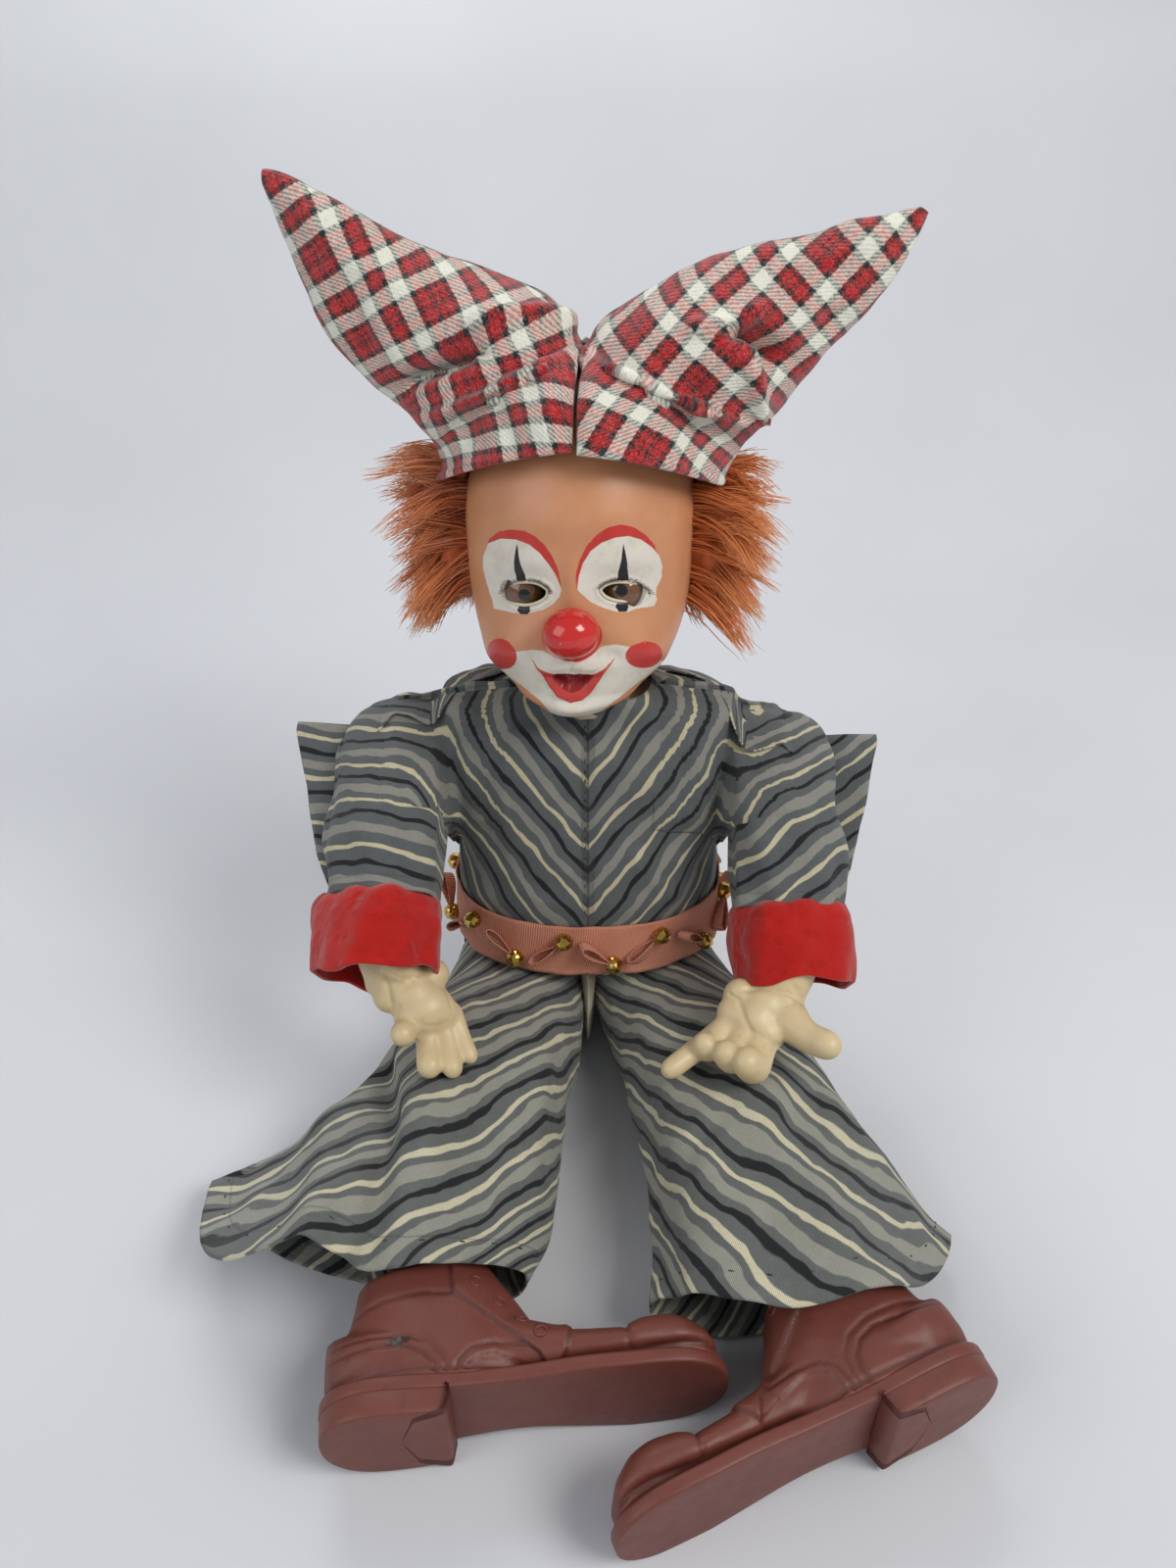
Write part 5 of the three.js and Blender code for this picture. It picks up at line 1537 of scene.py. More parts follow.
def yoke(side, face):
    """One panel of the shoulder cloth, laid over the bodice and the top of the sleeve."""
    sign = SIGN[side]
    toward, down = (np.array([0.0, *pair]) for pair in YOKE_FACES[face])
    tree = tree_of("suit_bodice", f"suit_sleeve_{side}")
    rows, cols = 54, 62
    xs = np.linspace(27, 87, cols)
    ss = np.linspace(RIDGE, YOKE_REACH[face], rows)
    least = np.full((rows, cols), -30.0)
    base = np.array([0.0, SHOULDER[1], SHOULDER[2]])
    for r, s in enumerate(ss):
        for c, x in enumerate(xs):
            start = base + [sign * x, 0, 0] + down * s + toward * 90
            hit = tree.ray_cast(start.tolist(), (-toward).tolist())[0]
            if hit is not None:
                least[r, c] = (np.array(hit) - base) @ toward
    height = draped(np.maximum(least, YOKE_FLOOR), least + 0.9, 60)
    edge = (smooth_step(0, 9, xs - xs[0]) * smooth_step(0, 7, xs[-1] - xs))[None, :]
    rise = np.minimum(1, smooth_step(0, 6, ss[-1] - ss))[:, None]
    height = least - 0.9 + (height - least + 0.9) * np.minimum(edge, rise)
    grid = base + np.outer(ss, down)[:, None, :] + height[:, :, None] * toward
    grid[:, :, 0] = sign * xs[None, :]
    points = grid.reshape(-1, 3)
    obj = piece(
        f"suit_yoke_{face}_{side}",
        points,
        grid_faces(rows, cols, closed=False),
        SUIT_TOP,
    )
    reach = np.abs(points[:, 0])
    on_chest = stripe_near("suit_bodice", points)
    on_sleeve = stripe_near(f"suit_sleeve_{side}", points)
    apart = (on_chest - on_sleeve)[np.abs(reach - 63) < 3].mean()
    share = smooth_step(*YOKE_JOIN[face], reach)
    turns = round(apart / STRIPE_PERIOD) * STRIPE_PERIOD
    store(obj, "stripe", on_chest * (1 - share) + (on_sleeve + turns) * share)
    store(obj, "weave", np.stack([points[:, 0], points @ down, points[:, 2]], -1))
    to_ridge = np.repeat(ss - RIDGE, cols)
    store(obj, "seam", np.abs(to_ridge - 3.0) + 0.4)
    wrinkle(obj, 18, 0.9, 90 + sign, mask=smooth_step(30, 44, reach) * smooth_step(0, 8, to_ridge))
    wrinkle(obj, 7, 0.25, 95 + sign)
    thicken(obj, 0.7)
    cloth(obj, 60, "draped", ["suit_bodice", f"suit_sleeve_{side}"])
    blend_with_arm(obj)
    return grid[0]


def blend_with_arm(obj):
    """Bakes the placement of a piece that spans the shoulder into its mesh."""
    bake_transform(obj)


def shoulder_seam(side, ridge):
    """The doubled edge that stands up along the top of the shoulder, oversewn in black."""
    sign = SIGN[side]
    rows, cols = 9, len(ridge)
    reach = np.linspace(0, 1, cols)
    tall = 3.4 + 0.6 * np.sin(reach * 23)
    tall = tall * smooth_step(0, 0.12, reach) * smooth_step(0, 0.4, 1 - reach)
    lean = 0.9 * np.sin(reach * 14 + sign)
    points = []
    for share in np.linspace(0, 1, rows):
        line = ridge + np.outer(tall * share - 0.8, [0, 0, 1]) + np.outer(lean * share, [0, 1, 0])
        points.append(line)
    points = np.concatenate(points)
    obj = piece(
        f"suit_seam_{side}", points, grid_faces(rows, cols, closed=False), SUIT_TOP
    )
    store(obj, "stripe", np.abs(points[:, 0]) * 0.8 + 7)
    store(obj, "weave", points)
    store(obj, "seam", np.repeat(np.abs(np.linspace(0, 1, rows) - 0.55) * 5 + 0.2, cols))
    bake(obj, ("SOLIDIFY", {"thickness": 1.5 * MM, "offset": 0.0}))
    cloth(obj, 10, "stretched", [f"suit_yoke_front_{side}"])
    blend_with_arm(obj)


def shoulder_cloth(side):
    """The panels and the seam between the bodice and a sleeve."""
    ridge = yoke(side, "front")
    yoke(side, "back")
    shoulder_seam(side, ridge)


def centre_front():
    """The topstitched closing down the middle of the bodice."""
    tree = tree_of("suit_bodice")
    line = [tree.ray_cast((-1.2, -150, z), (0, 1, 0))[0] for z in np.arange(88, 172, 2.1)]
    line = np.array([spot for spot in line if spot is not None])
    stitches("centre_stitches", tree, line, "torso")


# The hat's outline in the head's own plane, (x, z) seen from the front: top seam, then outer side
HAT_OUTLINE = {
    "right": (
        (
            (1.8, 75.2), (-10.5, 88), (-24.2, 96), (-54.8, 106), (-68, 111), (-91, 121.7),
            (-105.3, 129), (-112.0, 130.4),
        ),
        (
            (-53.6, 24.6), (-51.5, 33), (-61.8, 46.9), (-70.4, 53.9), (-82.3, 62.4), (-95, 79.2),
            (-103.4, 100), (-111.4, 125),
        ),
    ),
    "left": (
        (
            (1.8, 75.2), (8.8, 82.4), (20.9, 90.5), (34.6, 96.9), (54.9, 103.9), (68.3, 108.5),
            (88.4, 112.5), (117.8, 119.0),
        ),
        (
            (54.0, 24.8), (58.0, 33), (65.6, 43.4), (75.7, 55.6), (88.7, 70.9), (106.1, 90.5),
            (118.3, 110), (121.0, 117),
        ),
    ),
}
HAT_GRAIN = {"right": (15.0, 27.0), "left": (55.0, 45.0)}
HAT_RIM = (41.5, 25.0, 14.0)
HAT_DEEP = 51.5
HAT_NOTCH = (1.8, 75.2)
HAT_FOLDS = {
    "right": (
        ([(404, 400), (440, 386), (470, 372), (500, 350)], 15, -12.0),
        ([(473, 333), (505, 321), (560, 323), (600, 338)], 9, 5.0),
        ([(420, 407), (455, 396), (490, 382), (506, 360)], 7, 5.0),
        ([(350, 300), (372, 345), (396, 392)], 12, -2.5),
        ([(300, 200), (350, 262), (420, 300)], 12, 1.8),
        ([(540, 340), (560, 400), (556, 460)], 12, 2.2),
        ([(500, 400), (520, 440), (530, 478)], 10, -1.8),
        ([(455, 430), (470, 455), (482, 480)], 8, 1.6),
    ),
    "left": (
        ([(752, 330), (776, 350), (800, 368)], 13, -11.0),
        ([(734, 350), (760, 366), (771, 391), (775, 416), (769, 440)], 9, 5.5),
        ([(694, 338), (740, 331), (785, 312)], 9, 4.5),
        ([(700, 372), (716, 410), (712, 450)], 12, -2.4),
        ([(660, 360), (676, 420), (690, 470)], 13, 2.2),
        ([(830, 270), (880, 250), (930, 225)], 10, 1.6),
        ([(800, 390), (830, 350), (860, 310)], 10, -2.0),
        ([(620, 380), (630, 430), (640, 462)], 9, -1.4),
    ),
}


def hat_half(side):
    """Each row runs from the top or front seam round the outer side to the same seam at the back."""
    sign = SIGN[side]
    top_line, low_line = HAT_OUTLINE[side]
    rows_up, rows_out, cols = 54, 110, 170
    rows = rows_up + rows_out
    turn = np.linspace(0, math.pi, cols)
    s, c = np.sin(turn), np.cos(turn)
    low = catmull([(*p, 0) for p in low_line], 400)[:, :2]
    top = catmull([(*p, 0) for p in top_line], 400)[:, :2]
    at_notch = 92
    grid = []
    for r in range(rows):
        if r < rows_up:
            t = r / (rows_up - 1)
            lift = math.sin(t * math.pi / 2)
            low_at = low[int(round(t * at_notch))]
            front = HAT_RIM[0] + (HAT_NOTCH[1] - HAT_RIM[0]) * lift
            back = HAT_RIM[2] + (HAT_NOTCH[1] - HAT_RIM[2]) * lift
            low_z = HAT_RIM[1] if t == 0 else low_at[1]
            joined = smooth_step(0.45, 1.0, t)
            seam_deep = HAT_DEEP * math.cos(t * math.pi / 2) ** 0.75
            mid_deep = 20 + 12 * t
            reach = low_at[0] - HAT_NOTCH[0]
            x = HAT_NOTCH[0] + reach * s ** (1 + joined)
            seam_z = np.where(c > 0, front, back)
            z = seam_z + (low_z - seam_z) * s ** (2 - 0.6 * (1 - joined) * t)
            y = -(seam_deep * c + mid_deep * np.sin(2 * turn) * joined)
        else:
            t = (r - rows_up + 1) / rows_out
            hi = top[int(round(t * 399))]
            lo = low[int(round(at_notch + t * (399 - at_notch)))]
            deep = np.interp(t, (0, 0.12, 0.3, 0.5, 0.7, 0.9, 1.0), (32, 31, 23, 15.5, 9.5, 4.0, 1.7))
            share = s**2
            x = hi[0] + (lo[0] - hi[0]) * share
            z = hi[1] + (lo[1] - hi[1]) * share
            y = -deep * np.sin(2 * turn) * (1 + 0.12 * np.cos(2 * turn))
        grid.append(np.stack([x, y, z], -1))
    grid = np.array(grid)
    points = grid.reshape(-1, 3)
    weave = hat_weave(side, grid, rows_up)
    world = head_to_world(points)
    faces = grid_faces(rows, cols, closed=False)
    last = (rows - 1) * cols
    faces.append(tuple(last + c for c in range(cols)))
    obj = piece(f"hat_cloth_{side}", world, faces, PLAID_WOOL)
    store(obj, "weave", weave)
    seam = np.minimum(
        np.abs(points[:, 0] - HAT_NOTCH[0]) + 40 * (np.arange(len(points)) // cols >= rows_up), 99
    )
    top_seam = np.minimum(turn, math.pi - turn)[None, :] * np.linspace(30, 3, rows)[:, None]
    seam = np.where(np.arange(len(points)) // cols >= rows_up, top_seam.ravel(), seam)
    store(obj, "seam", seam)
    fix_normals(obj)
    turned_out(obj, head_to_world([[sign * 40, 0, 60]])[0])
    points = coords(obj)
    local = world_to_head(points)
    toward = normals(obj)
    valley = -2.2 * np.exp(-(((local[:, 0] - HAT_NOTCH[0]) / 3.0) ** 2)) * (local[:, 2] < 80)
    brim = 0.9 * np.exp(-(((np.arange(len(points)) // cols) - 2.5) ** 2) / 6.0)
    set_coords(obj, points + toward * (valley + brim)[:, None])
    wrinkle(obj, 30, 2.0, 80 + sign)
    press_folds(obj, HAT_FOLDS[side])
    bake(obj, ("SMOOTH", {"factor": 0.5, "iterations": 9}))
    wrinkle(obj, 12, 0.7, 84 + sign)
    clear_head(obj)
    thicken(obj, 2.0, 0)
    bake(obj, ("SMOOTH", {"factor": 0.5, "iterations": 2}))
    cloth(obj, 150, "gathered", ["face"])
    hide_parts(f"hat_{side}")
    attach(obj, "hat")


def hat_weave(side, grid, rows_up):
    """Cloth coordinates: lengths measured over the surface, turned to the grain of each half."""
    rows, cols, _ = grid.shape
    face = np.r_[np.zeros(rows_up, int) + 6, np.full(rows - rows_up, cols // 4)]
    ease = np.clip((np.arange(rows) - rows_up * 0.5) / (rows_up * 0.5), 0, 1)
    face = np.maximum(face, (ease * cols // 4).astype(int))
    line = grid[np.arange(rows), face]
    step = np.diff(line, axis=0)
    plan = step[:, [0, 2]]
    length = np.linalg.norm(step, axis=1, keepdims=True)
    plan = plan / np.maximum(np.linalg.norm(plan, axis=1, keepdims=True), 1e-6) * length
    base = np.vstack([line[0, [0, 2]], line[0, [0, 2]] + np.cumsum(plan, axis=0)])
    out = np.zeros((rows, cols, 2))
    run = run_of(grid.reshape(-1, 3), rows, cols)
    for r in range(rows):
        toward = grid[r, cols // 2] - grid[r, 0]
        toward = unit(toward[[0, 2]] + 1e-6)
        out[r] = base[r] + np.outer(run[r] - run[r, face[r]], toward)
    start, end = HAT_GRAIN[side]
    angle = np.radians(start + (end - start) * np.clip((np.arange(rows) - 20) / 80, 0, 1))[:, None]
    pivot = np.array([SIGN[side] * 42, 62])
    x, z = out[..., 0] - pivot[0], out[..., 1] - pivot[1]
    u = x * np.cos(angle) + z * np.sin(angle)
    v = -x * np.sin(angle) + z * np.cos(angle)
    return np.stack([u, v, np.zeros_like(v)], -1).reshape(-1, 3)


def turned_out(obj, middle):
    """Flips a single surface whose faces look inwards."""
    points, toward = coords(obj), normals(obj)
    if np.einsum("ij,ij->i", toward, points - middle).mean() < 0:
        obj.data.flip_normals()
        obj.data.update()


def clear_head(obj):
    """Keeps the cloth outside the skull."""
    local = world_to_head(coords(obj))
    reach = skull_reach(local)
    inside = reach < 1.06
    centre = np.array([0, 1.0, 8.0])
    scale = np.where(inside, 1.06 / np.maximum(reach, 1e-3), 1.0)
    set_coords(obj, head_to_world(centre + (local - centre) * scale[:, None]))


def skull_reach(local):
    """One on an ellipsoid that holds the skull above the brow, less inside it."""
    centre = np.array([0, 1.0, 8.0])
    return np.sqrt((((local - centre) / [44.5, 48.5, 53.0]) ** 2).sum(axis=1))


# Head: level rings in its own frame, height then half width, half depth and where the middle is
HEAD = (
    (-57.4, (3.0, 3.0, -30)),
    (-56.6, (9.0, 8.0, -29.5)),
    (-54, (17.0, 16, -26)),
    (-47, (27.5, 29, -15)),
    (-34, (37.5, 37.5, -9)),
    (-18, (42.5, 44, -2.5)),
    (0, (44, 47, 0)),
    (18, (44, 48, 1)),
    (34, (40.5, 45, 2)),
    (48, (32, 37, 3)),
    (56.5, (21, 24, 4)),
    (60, (8, 9, 4)),
    (60.6, (2, 2.5, 4)),
)
EYE = np.array([18.0, -31.0, -8.5])
EYE_RADIUS = 10.3
NOSE_AT = np.array([0.0, -49.0, -21.0])
PX_PER_MM = 2.5

# Outlines of the paints and features of the face, in the photograph's pixels
FACE_SCALE = 6.46
FACE_CORNER = (460.0, 517.5)


def on_photo(points):
    """Points read in the enlarged face crop, as pixels of the photograph."""
    return np.array(points, float) / FACE_SCALE + FACE_CORNER


EYE_PATCHES = (
    on_photo([
        (214, 330), (245, 240), (330, 208), (430, 212), (520, 245), (590, 300), (650, 380), (700, 470),
        (730, 548), (712, 600), (670, 645), (612, 680), (540, 700), (480, 712), (390, 700), (278, 674),
        (262, 610), (245, 560), (222, 470), (212, 390),
    ]),
    on_photo([
        (835, 540), (845, 450), (870, 370), (920, 290), (990, 235), (1080, 200), (1170, 190),
        (1250, 212), (1320, 262), (1372, 320), (1395, 390), (1390, 470), (1362, 530), (1358, 570),
        (1364, 612), (1344, 656), (1240, 674), (1170, 700), (1090, 696), (1010, 672), (920, 630),
        (868, 580),
    ]),
)
BROWS = (
    on_photo([
        (222, 270), (260, 205), (320, 160), (400, 147), (490, 155), (560, 190), (620, 245), (670, 320),
        (705, 400), (722, 480), (729, 528), (712, 498), (690, 440), (648, 372), (590, 300), (520, 245),
        (430, 212), (330, 208), (245, 240),
    ]),
    on_photo([
        (829, 536), (824, 440), (848, 350), (898, 250), (960, 180), (1040, 130), (1120, 112),
        (1200, 130), (1280, 180), (1340, 245), (1367, 306), (1320, 258), (1250, 212), (1170, 190),
        (1080, 200), (990, 235), (920, 290), (870, 370), (842, 460),
    ]),
)
SPIKES = (
    on_photo([
        (437, 225), (426, 330), (419, 420), (427, 500), (488, 500), (487, 462), (470, 390), (452, 310),
    ]),
    on_photo([
        (1134, 235), (1120, 330), (1107, 430), (1104, 505), (1180, 505), (1180, 470), (1165, 400),
        (1150, 320),
    ]),
)
TEARS = (
    on_photo([(440, 655), (505, 652), (520, 688), (500, 712), (452, 710), (430, 690)]),
    on_photo([(1095, 643), (1165, 643), (1180, 662), (1168, 697), (1112, 697), (1091, 668)]),
)
MUZZLE = on_photo([
    (420, 937), (520, 935), (600, 945), (680, 975), (800, 1000), (900, 980), (960, 950), (1010, 915),
    (1080, 900), (1160, 905), (1215, 925), (1290, 990), (1400, 1000), (1330, 1070), (1240, 1150),
    (1100, 1262), (980, 1350), (880, 1400), (780, 1405), (690, 1370), (590, 1275), (470, 1182),
    (370, 1110), (280, 1060), (260, 1000), (340, 960),
])
MOUTH = on_photo([
    (528, 992), (590, 1050), (700, 1084), (760, 1080), (800, 1097), (850, 1080), (930, 1090),
    (1005, 1048), (1088, 988), (1030, 1050), (985, 1132), (930, 1212), (870, 1262), (790, 1273),
    (710, 1246), (650, 1182), (600, 1092),
])
MOUTH_INSIDE = on_photo([
    (660, 1100), (700, 1088), (760, 1086), (800, 1102), (850, 1086), (930, 1098), (950, 1110),
    (905, 1170), (860, 1210), (790, 1222), (725, 1200), (680, 1150),
])
EYE_SLOTS = (
    on_photo([
        (338, 585), (372, 535), (430, 505), (500, 498), (570, 508), (625, 540), (641, 565), (622, 610),
        (560, 645), (490, 658), (420, 645), (365, 620),
    ]),
    on_photo([
        (985, 548), (1020, 515), (1080, 497), (1150, 495), (1210, 505), (1260, 530), (1300, 562),
        (1255, 595), (1190, 622), (1120, 628), (1050, 612), (1005, 585),
    ]),
)
CHEEKS = (
    (on_photo((350, 957)), 95 / FACE_SCALE, 106 / FACE_SCALE, math.radians(-28)),
    (on_photo((1262, 958)), 118 / FACE_SCALE, 91 / FACE_SCALE, math.radians(-8)),
)
PUPILS = (on_photo((485, 578)), on_photo((1125, 550)))


def inside(points, outline):
    """Distance in mm from a closed outline in the photograph, above 0 inside it."""
    outline = np.asarray(outline, float)
    loop = np.vstack([outline, outline[:1]])
    away, _ = segment_distance(points, loop)
    x, y = points[:, 0], points[:, 1]
    crossings = np.zeros(len(points), bool)
    for (ax, ay), (bx, by) in zip(loop[:-1], loop[1:]):
        span = (ay > y) != (by > y)
        cross = ax + (y - ay) / np.where(by == ay, 1e-9, by - ay) * (bx - ax)
        crossings ^= span & (x < cross)
    return np.where(crossings, away, -away) / PX_PER_MM


def turned(points, centre, turn):
    """Plane points measured from a centre, along two axes that are turned."""
    d = points - np.asarray(centre)
    c, s = math.cos(turn), math.sin(turn)
    return d[:, 0] * c + d[:, 1] * s, -d[:, 0] * s + d[:, 1] * c


def inside_oval(points, centre, wide, high, turn):
    """Distance in mm from a turned oval, above 0 inside it."""
    a, b = turned(points, centre, turn)
    reach = np.sqrt((a / wide) ** 2 + (b / high) ** 2)
    return (1 - reach) * (wide + high) / 2 / PX_PER_MM


def hump(points, centre, wide, high, turn=0.0):
    """A round hill of height 1 over a turned oval."""
    a, b = turned(points, centre, turn)
    return np.exp(-((a / wide) ** 2) - (b / high) ** 2)


def photo_ray(pixel):
    """The direction from the camera through a pixel."""
    s, c = math.sin(CAMERA_PITCH), math.cos(CAMERA_PITCH)
    right = (pixel[0] - CENTRE_PX[0]) / FOCAL_PX
    down = (pixel[1] - CENTRE_PX[1]) / FOCAL_PX
    return unit(np.array([right, c, -s]) + down * np.array([0, -s, -c]))


def on_ball(pixel, centre, radius):
    """Where a ray through a pixel first meets a ball."""
    ray = photo_ray(pixel)
    to = centre - CAMERA_AT
    along = to @ ray
    off = radius**2 - (to @ to - along**2)
    return CAMERA_AT + ray * (along - math.sqrt(max(off, 0)))


FACE_HUMPS = (
    # centre px, half width and height px, turn, height in mm
    ((535, 606), 30, 21, 0.0, -2.4),
    ((634, 604), 30, 21, 0.0, -2.4),
    ((535, 574), 32, 13, 0.0, 1.0),
    ((634, 571), 32, 13, 0.0, 1.0),
    ((584, 600), 10, 26, 0.0, 1.6),
    ((514, 662), 24, 18, -0.3, 2.6),
    ((656, 660), 24, 18, 0.3, 2.6),
    ((583, 676), 34, 9, 0.0, 2.4),
    ((562, 680), 13, 6, 0.3, 0.9),
    ((604, 680), 13, 6, -0.3, 0.9),
    ((583, 678), 2.4, 9, 0.0, -0.9),
    ((581, 722), 20, 9, 0.0, 2.2),
    ((581, 708), 16, 2.6, 0.0, 1.0),
    ((545, 672), 7, 7, 0.0, -1.0),
    ((627, 670), 7, 7, 0.0, -1.0),
    ((560, 657), 6, 10, 0.5, -0.8),
    ((610, 655), 6, 10, -0.5, -0.8),
    ((590, 535), 70, 22, 0.0, 1.0),
)


def face():
    """The head's vinyl as one skin, with what is moulded and painted on it."""
    rows, cols = 200, 280
    heights = np.r_[
        np.linspace(-57.4, -50, 26), np.linspace(-49.5, 22, 140), np.linspace(23, 60.6, rows - 166)
    ]
    spread = np.linspace(0, 1, cols, endpoint=False)
    front = -math.pi / 2
    swing = 2 * math.pi * (spread - 0.5)
    angles = front + swing - 0.62 * np.sin(swing)
    order = np.argsort(angles)
    angles = angles[order]
    local = []
    for z, (wide, deep, y) in zip(heights, blend_rows(HEAD, heights)):
        a, b = ring(angles, wide, deep, 2.05)
        local.append(np.stack([a, y + b, np.full(cols, z)], -1))
    local = np.concatenate(local)
    faces = grid_faces(rows, cols)
    local, faces = capped(local, faces, cols, rows)
    world = head_to_world(local)
    photo = to_photo(world)
    before = (local[:, 1] < -6) & (local[:, 2] < 40)
    toward = unit_rows(local - [0, 2, 0])
    toward[:, 2] *= 0.55
    toward = unit_rows(toward)
    ahead = smooth_step(-4, -22, local[:, 1])
    lift = np.zeros(len(local))
    for centre, wide, high, turn, height in FACE_HUMPS:
        lift += height * hump(photo, centre, wide, high, turn)
    mouth = inside(photo, MOUTH)
    hollow = inside(photo, MOUTH_INSIDE)
    lift += 0.9 * np.exp(-(((mouth - 0.9) / 0.9) ** 2)) * (hollow < 0)
    lift -= 4.6 * smooth_step(-0.4, 2.2, hollow)
    lift += 1.3 * smooth_step(
        0.3, 2.4, inside_oval(photo, on_photo((800, 1185)), 78 / FACE_SCALE, 34 / FACE_SCALE, 0.0)
    )
    for slot in EYE_SLOTS:
        gap = inside(photo, slot)
        lift += 0.55 * np.exp(-(((gap + 1.6) / 0.9) ** 2))
        lift -= 1.6 * smooth_step(-0.6, 0.6, gap)
    moved = local + toward * (lift * ahead)[:, None]
    moved += np.outer(0.5 * fbm(local, 26, 2, 90), [0, 1, 0])
    obj = piece("face", head_to_world(moved), faces, SKIN)
    unseen = np.where(before, 0.0, -9.0)
    white = np.maximum.reduce([inside(photo, patch) for patch in EYE_PATCHES] + [inside(photo, MUZZLE)])
    red = np.maximum.reduce(
        [inside(photo, brow) for brow in BROWS] + [inside_oval(photo, *cheek) for cheek in CHEEKS]
    )
    nose_ring = inside_oval(photo, on_photo((815, 850)), 185 / FACE_SCALE, 150 / FACE_SCALE, 0.0)
    red = np.maximum.reduce([red, mouth, nose_ring])
    black = np.maximum.reduce([inside(photo, shape) for shape in (*SPIKES, *TEARS)])
    # Painted shade: a thin black band along each eye slot's cut edge, where the socket lies dark.
    slot_edge_shade = np.maximum.reduce([0.35 - np.abs(inside(photo, slot) - 0.1) for slot in EYE_SLOTS])
    store(obj, "white", white + unseen)
    store(obj, "red", red + unseen)
    store(obj, "black", np.maximum(black, slot_edge_shade) + unseen)
    store(obj, "deep", hollow + unseen)
    store(obj, "at", local)
    cut_slots(obj, photo)
    fix_normals(obj)
    thicken(obj, 2.2)
    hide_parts("head")
    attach(obj, "head")


def cut_slots(obj, photo):
    """Opens the two eye slots in the face."""
    gap = np.maximum.reduce([inside(photo, slot) for slot in EYE_SLOTS])
    open_at = set(np.nonzero(gap > -0.15)[0].tolist())
    mesh = bmesh.new()
    mesh.from_mesh(obj.data)
    gone = [f for f in mesh.faces if all(v.index in open_at for v in f.verts)]
    front = [f for f in gone if world_to_head(np.array([f.calc_center_median()]) / MM)[0][1] < -20]
    bmesh.ops.delete(mesh, geom=front, context="FACES")
    mesh.to_mesh(obj.data)
    mesh.free()
    obj.data.update()


def face_surface(pixels, proud=0.0):
    """Points on the face's ellipse-ringed surface seen at some pixels, moved towards the camera."""
    out = []
    for pixel in pixels:
        ray = photo_ray(pixel)
        near, far = 380.0, 560.0
        for _ in range(40):
            middle = (near + far) / 2
            at = world_to_head([CAMERA_AT + ray * middle])[0]
            wide, deep, y = blend_rows(HEAD, [np.clip(at[2], -57, 60)])[0]
            inside_it = (abs(at[0]) / wide) ** 2.05 + (abs(at[1] - y) / deep) ** 2.05 < 1
            if inside_it:
                far = middle
            else:
                near = middle
        out.append(CAMERA_AT + ray * (far - proud))
    return np.array(out)


def eye_parts(index, side):
    """The ball, the painted rim of its slot, and the lashes."""
    sign = SIGN[side]
    centre = head_to_world(EYE * [sign, 1, 1])
    gaze = unit(on_ball(PUPILS[index], centre, EYE_RADIUS) - centre)
    rows, cols = 64, 96
    across = unit(np.cross(gaze, (0, 0, 1)))
    rise = np.cross(across, gaze)
    points, iris, turn_of = [], [], []
    for tilt in np.linspace(0.002, math.pi - 0.002, rows):
        turn = np.linspace(0, 2 * math.pi, cols, endpoint=False)
        reach = EYE_RADIUS + 0.5 * math.exp(-((tilt / 0.5) ** 2))
        aside = np.outer(np.cos(turn), across) * math.sin(tilt)
        above = np.outer(np.sin(turn), rise) * math.sin(tilt)
        ring_at = gaze * math.cos(tilt) + aside + above
        points.append(centre + ring_at * reach)
        iris.append(np.full(cols, tilt * EYE_RADIUS))
        turn_of.append(turn)
    points = np.concatenate(points)
    ball = piece(f"eye_ball_{side}", points, grid_faces(rows, cols), EYE_GLAZE)
    store(ball, "iris", np.concatenate(iris))
    store(ball, "iris_turn", np.cos(np.concatenate(turn_of) * 9))
    up = (points - centre) @ rise
    ahead = (points - centre) @ gaze
    store(ball, "lid", (np.arctan2(up, ahead) - math.radians(40)) * EYE_RADIUS)
    fix_normals(ball)
    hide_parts(f"eye_{side}")
    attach(ball, "eyes")
    outline = catmull(EYE_SLOTS[index], 72, closed=True)
    line = face_surface(outline)
    middle = line.mean(axis=0)
    line = line + unit_rows(middle - line) * 0.2 + unit(middle - centre) * -1.5
    hoop(f"eye_rim_{side}", line, 0.62, LID_RIM, "head")
    lashes = []
    faces = []
    for i in range(34):
        k = int(2 + i * 72 * 0.5 / 34)
        root = line[k] + unit(line[k] - centre) * 0.3
        outwards = unit(line[k] - middle)
        lean = unit(outwards * 0.8 + unit(middle - centre) + across * LASH_DRAWS.uniform(-0.25, 0.25))
        tip = root + lean * LASH_DRAWS.uniform(1.8, 3.0) + outwards * 0.6
        aside = np.cross(lean, (0, 0, 1)) * 0.16
        base = len(lashes)
        bow = (root + tip) / 2 + unit(middle - centre) * 0.35
        lashes += [root - aside, root + aside, bow + aside * 0.8, bow - aside * 0.8, tip]
        faces += [(base, base + 1, base + 2, base + 3), (base + 3, base + 2, base + 4)]
    lash = piece(f"eye_lash_{side}", lashes, faces, LASH)
    thicken(lash, 0.15)
    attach(lash, "head")


def hoop(name, line, radius, look, body):
    """A round cord along a closed line of points."""
    sides = 8
    ahead = unit_rows(np.roll(line, -1, 0) - np.roll(line, 1, 0))
    points = []
    guide = unit(np.cross(ahead[0], (0.31, 0.2, 0.93)))
    for at, along in zip(line, ahead):
        guide = unit(guide - along * (guide @ along))
        other = np.cross(along, guide)
        for k in range(sides):
            turn = 2 * math.pi * k / sides
            points.append(at + radius * (math.cos(turn) * guide + math.sin(turn) * other))
    obj = piece(name, points, closed_tube_faces(len(line), sides), look)
    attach(obj, body)


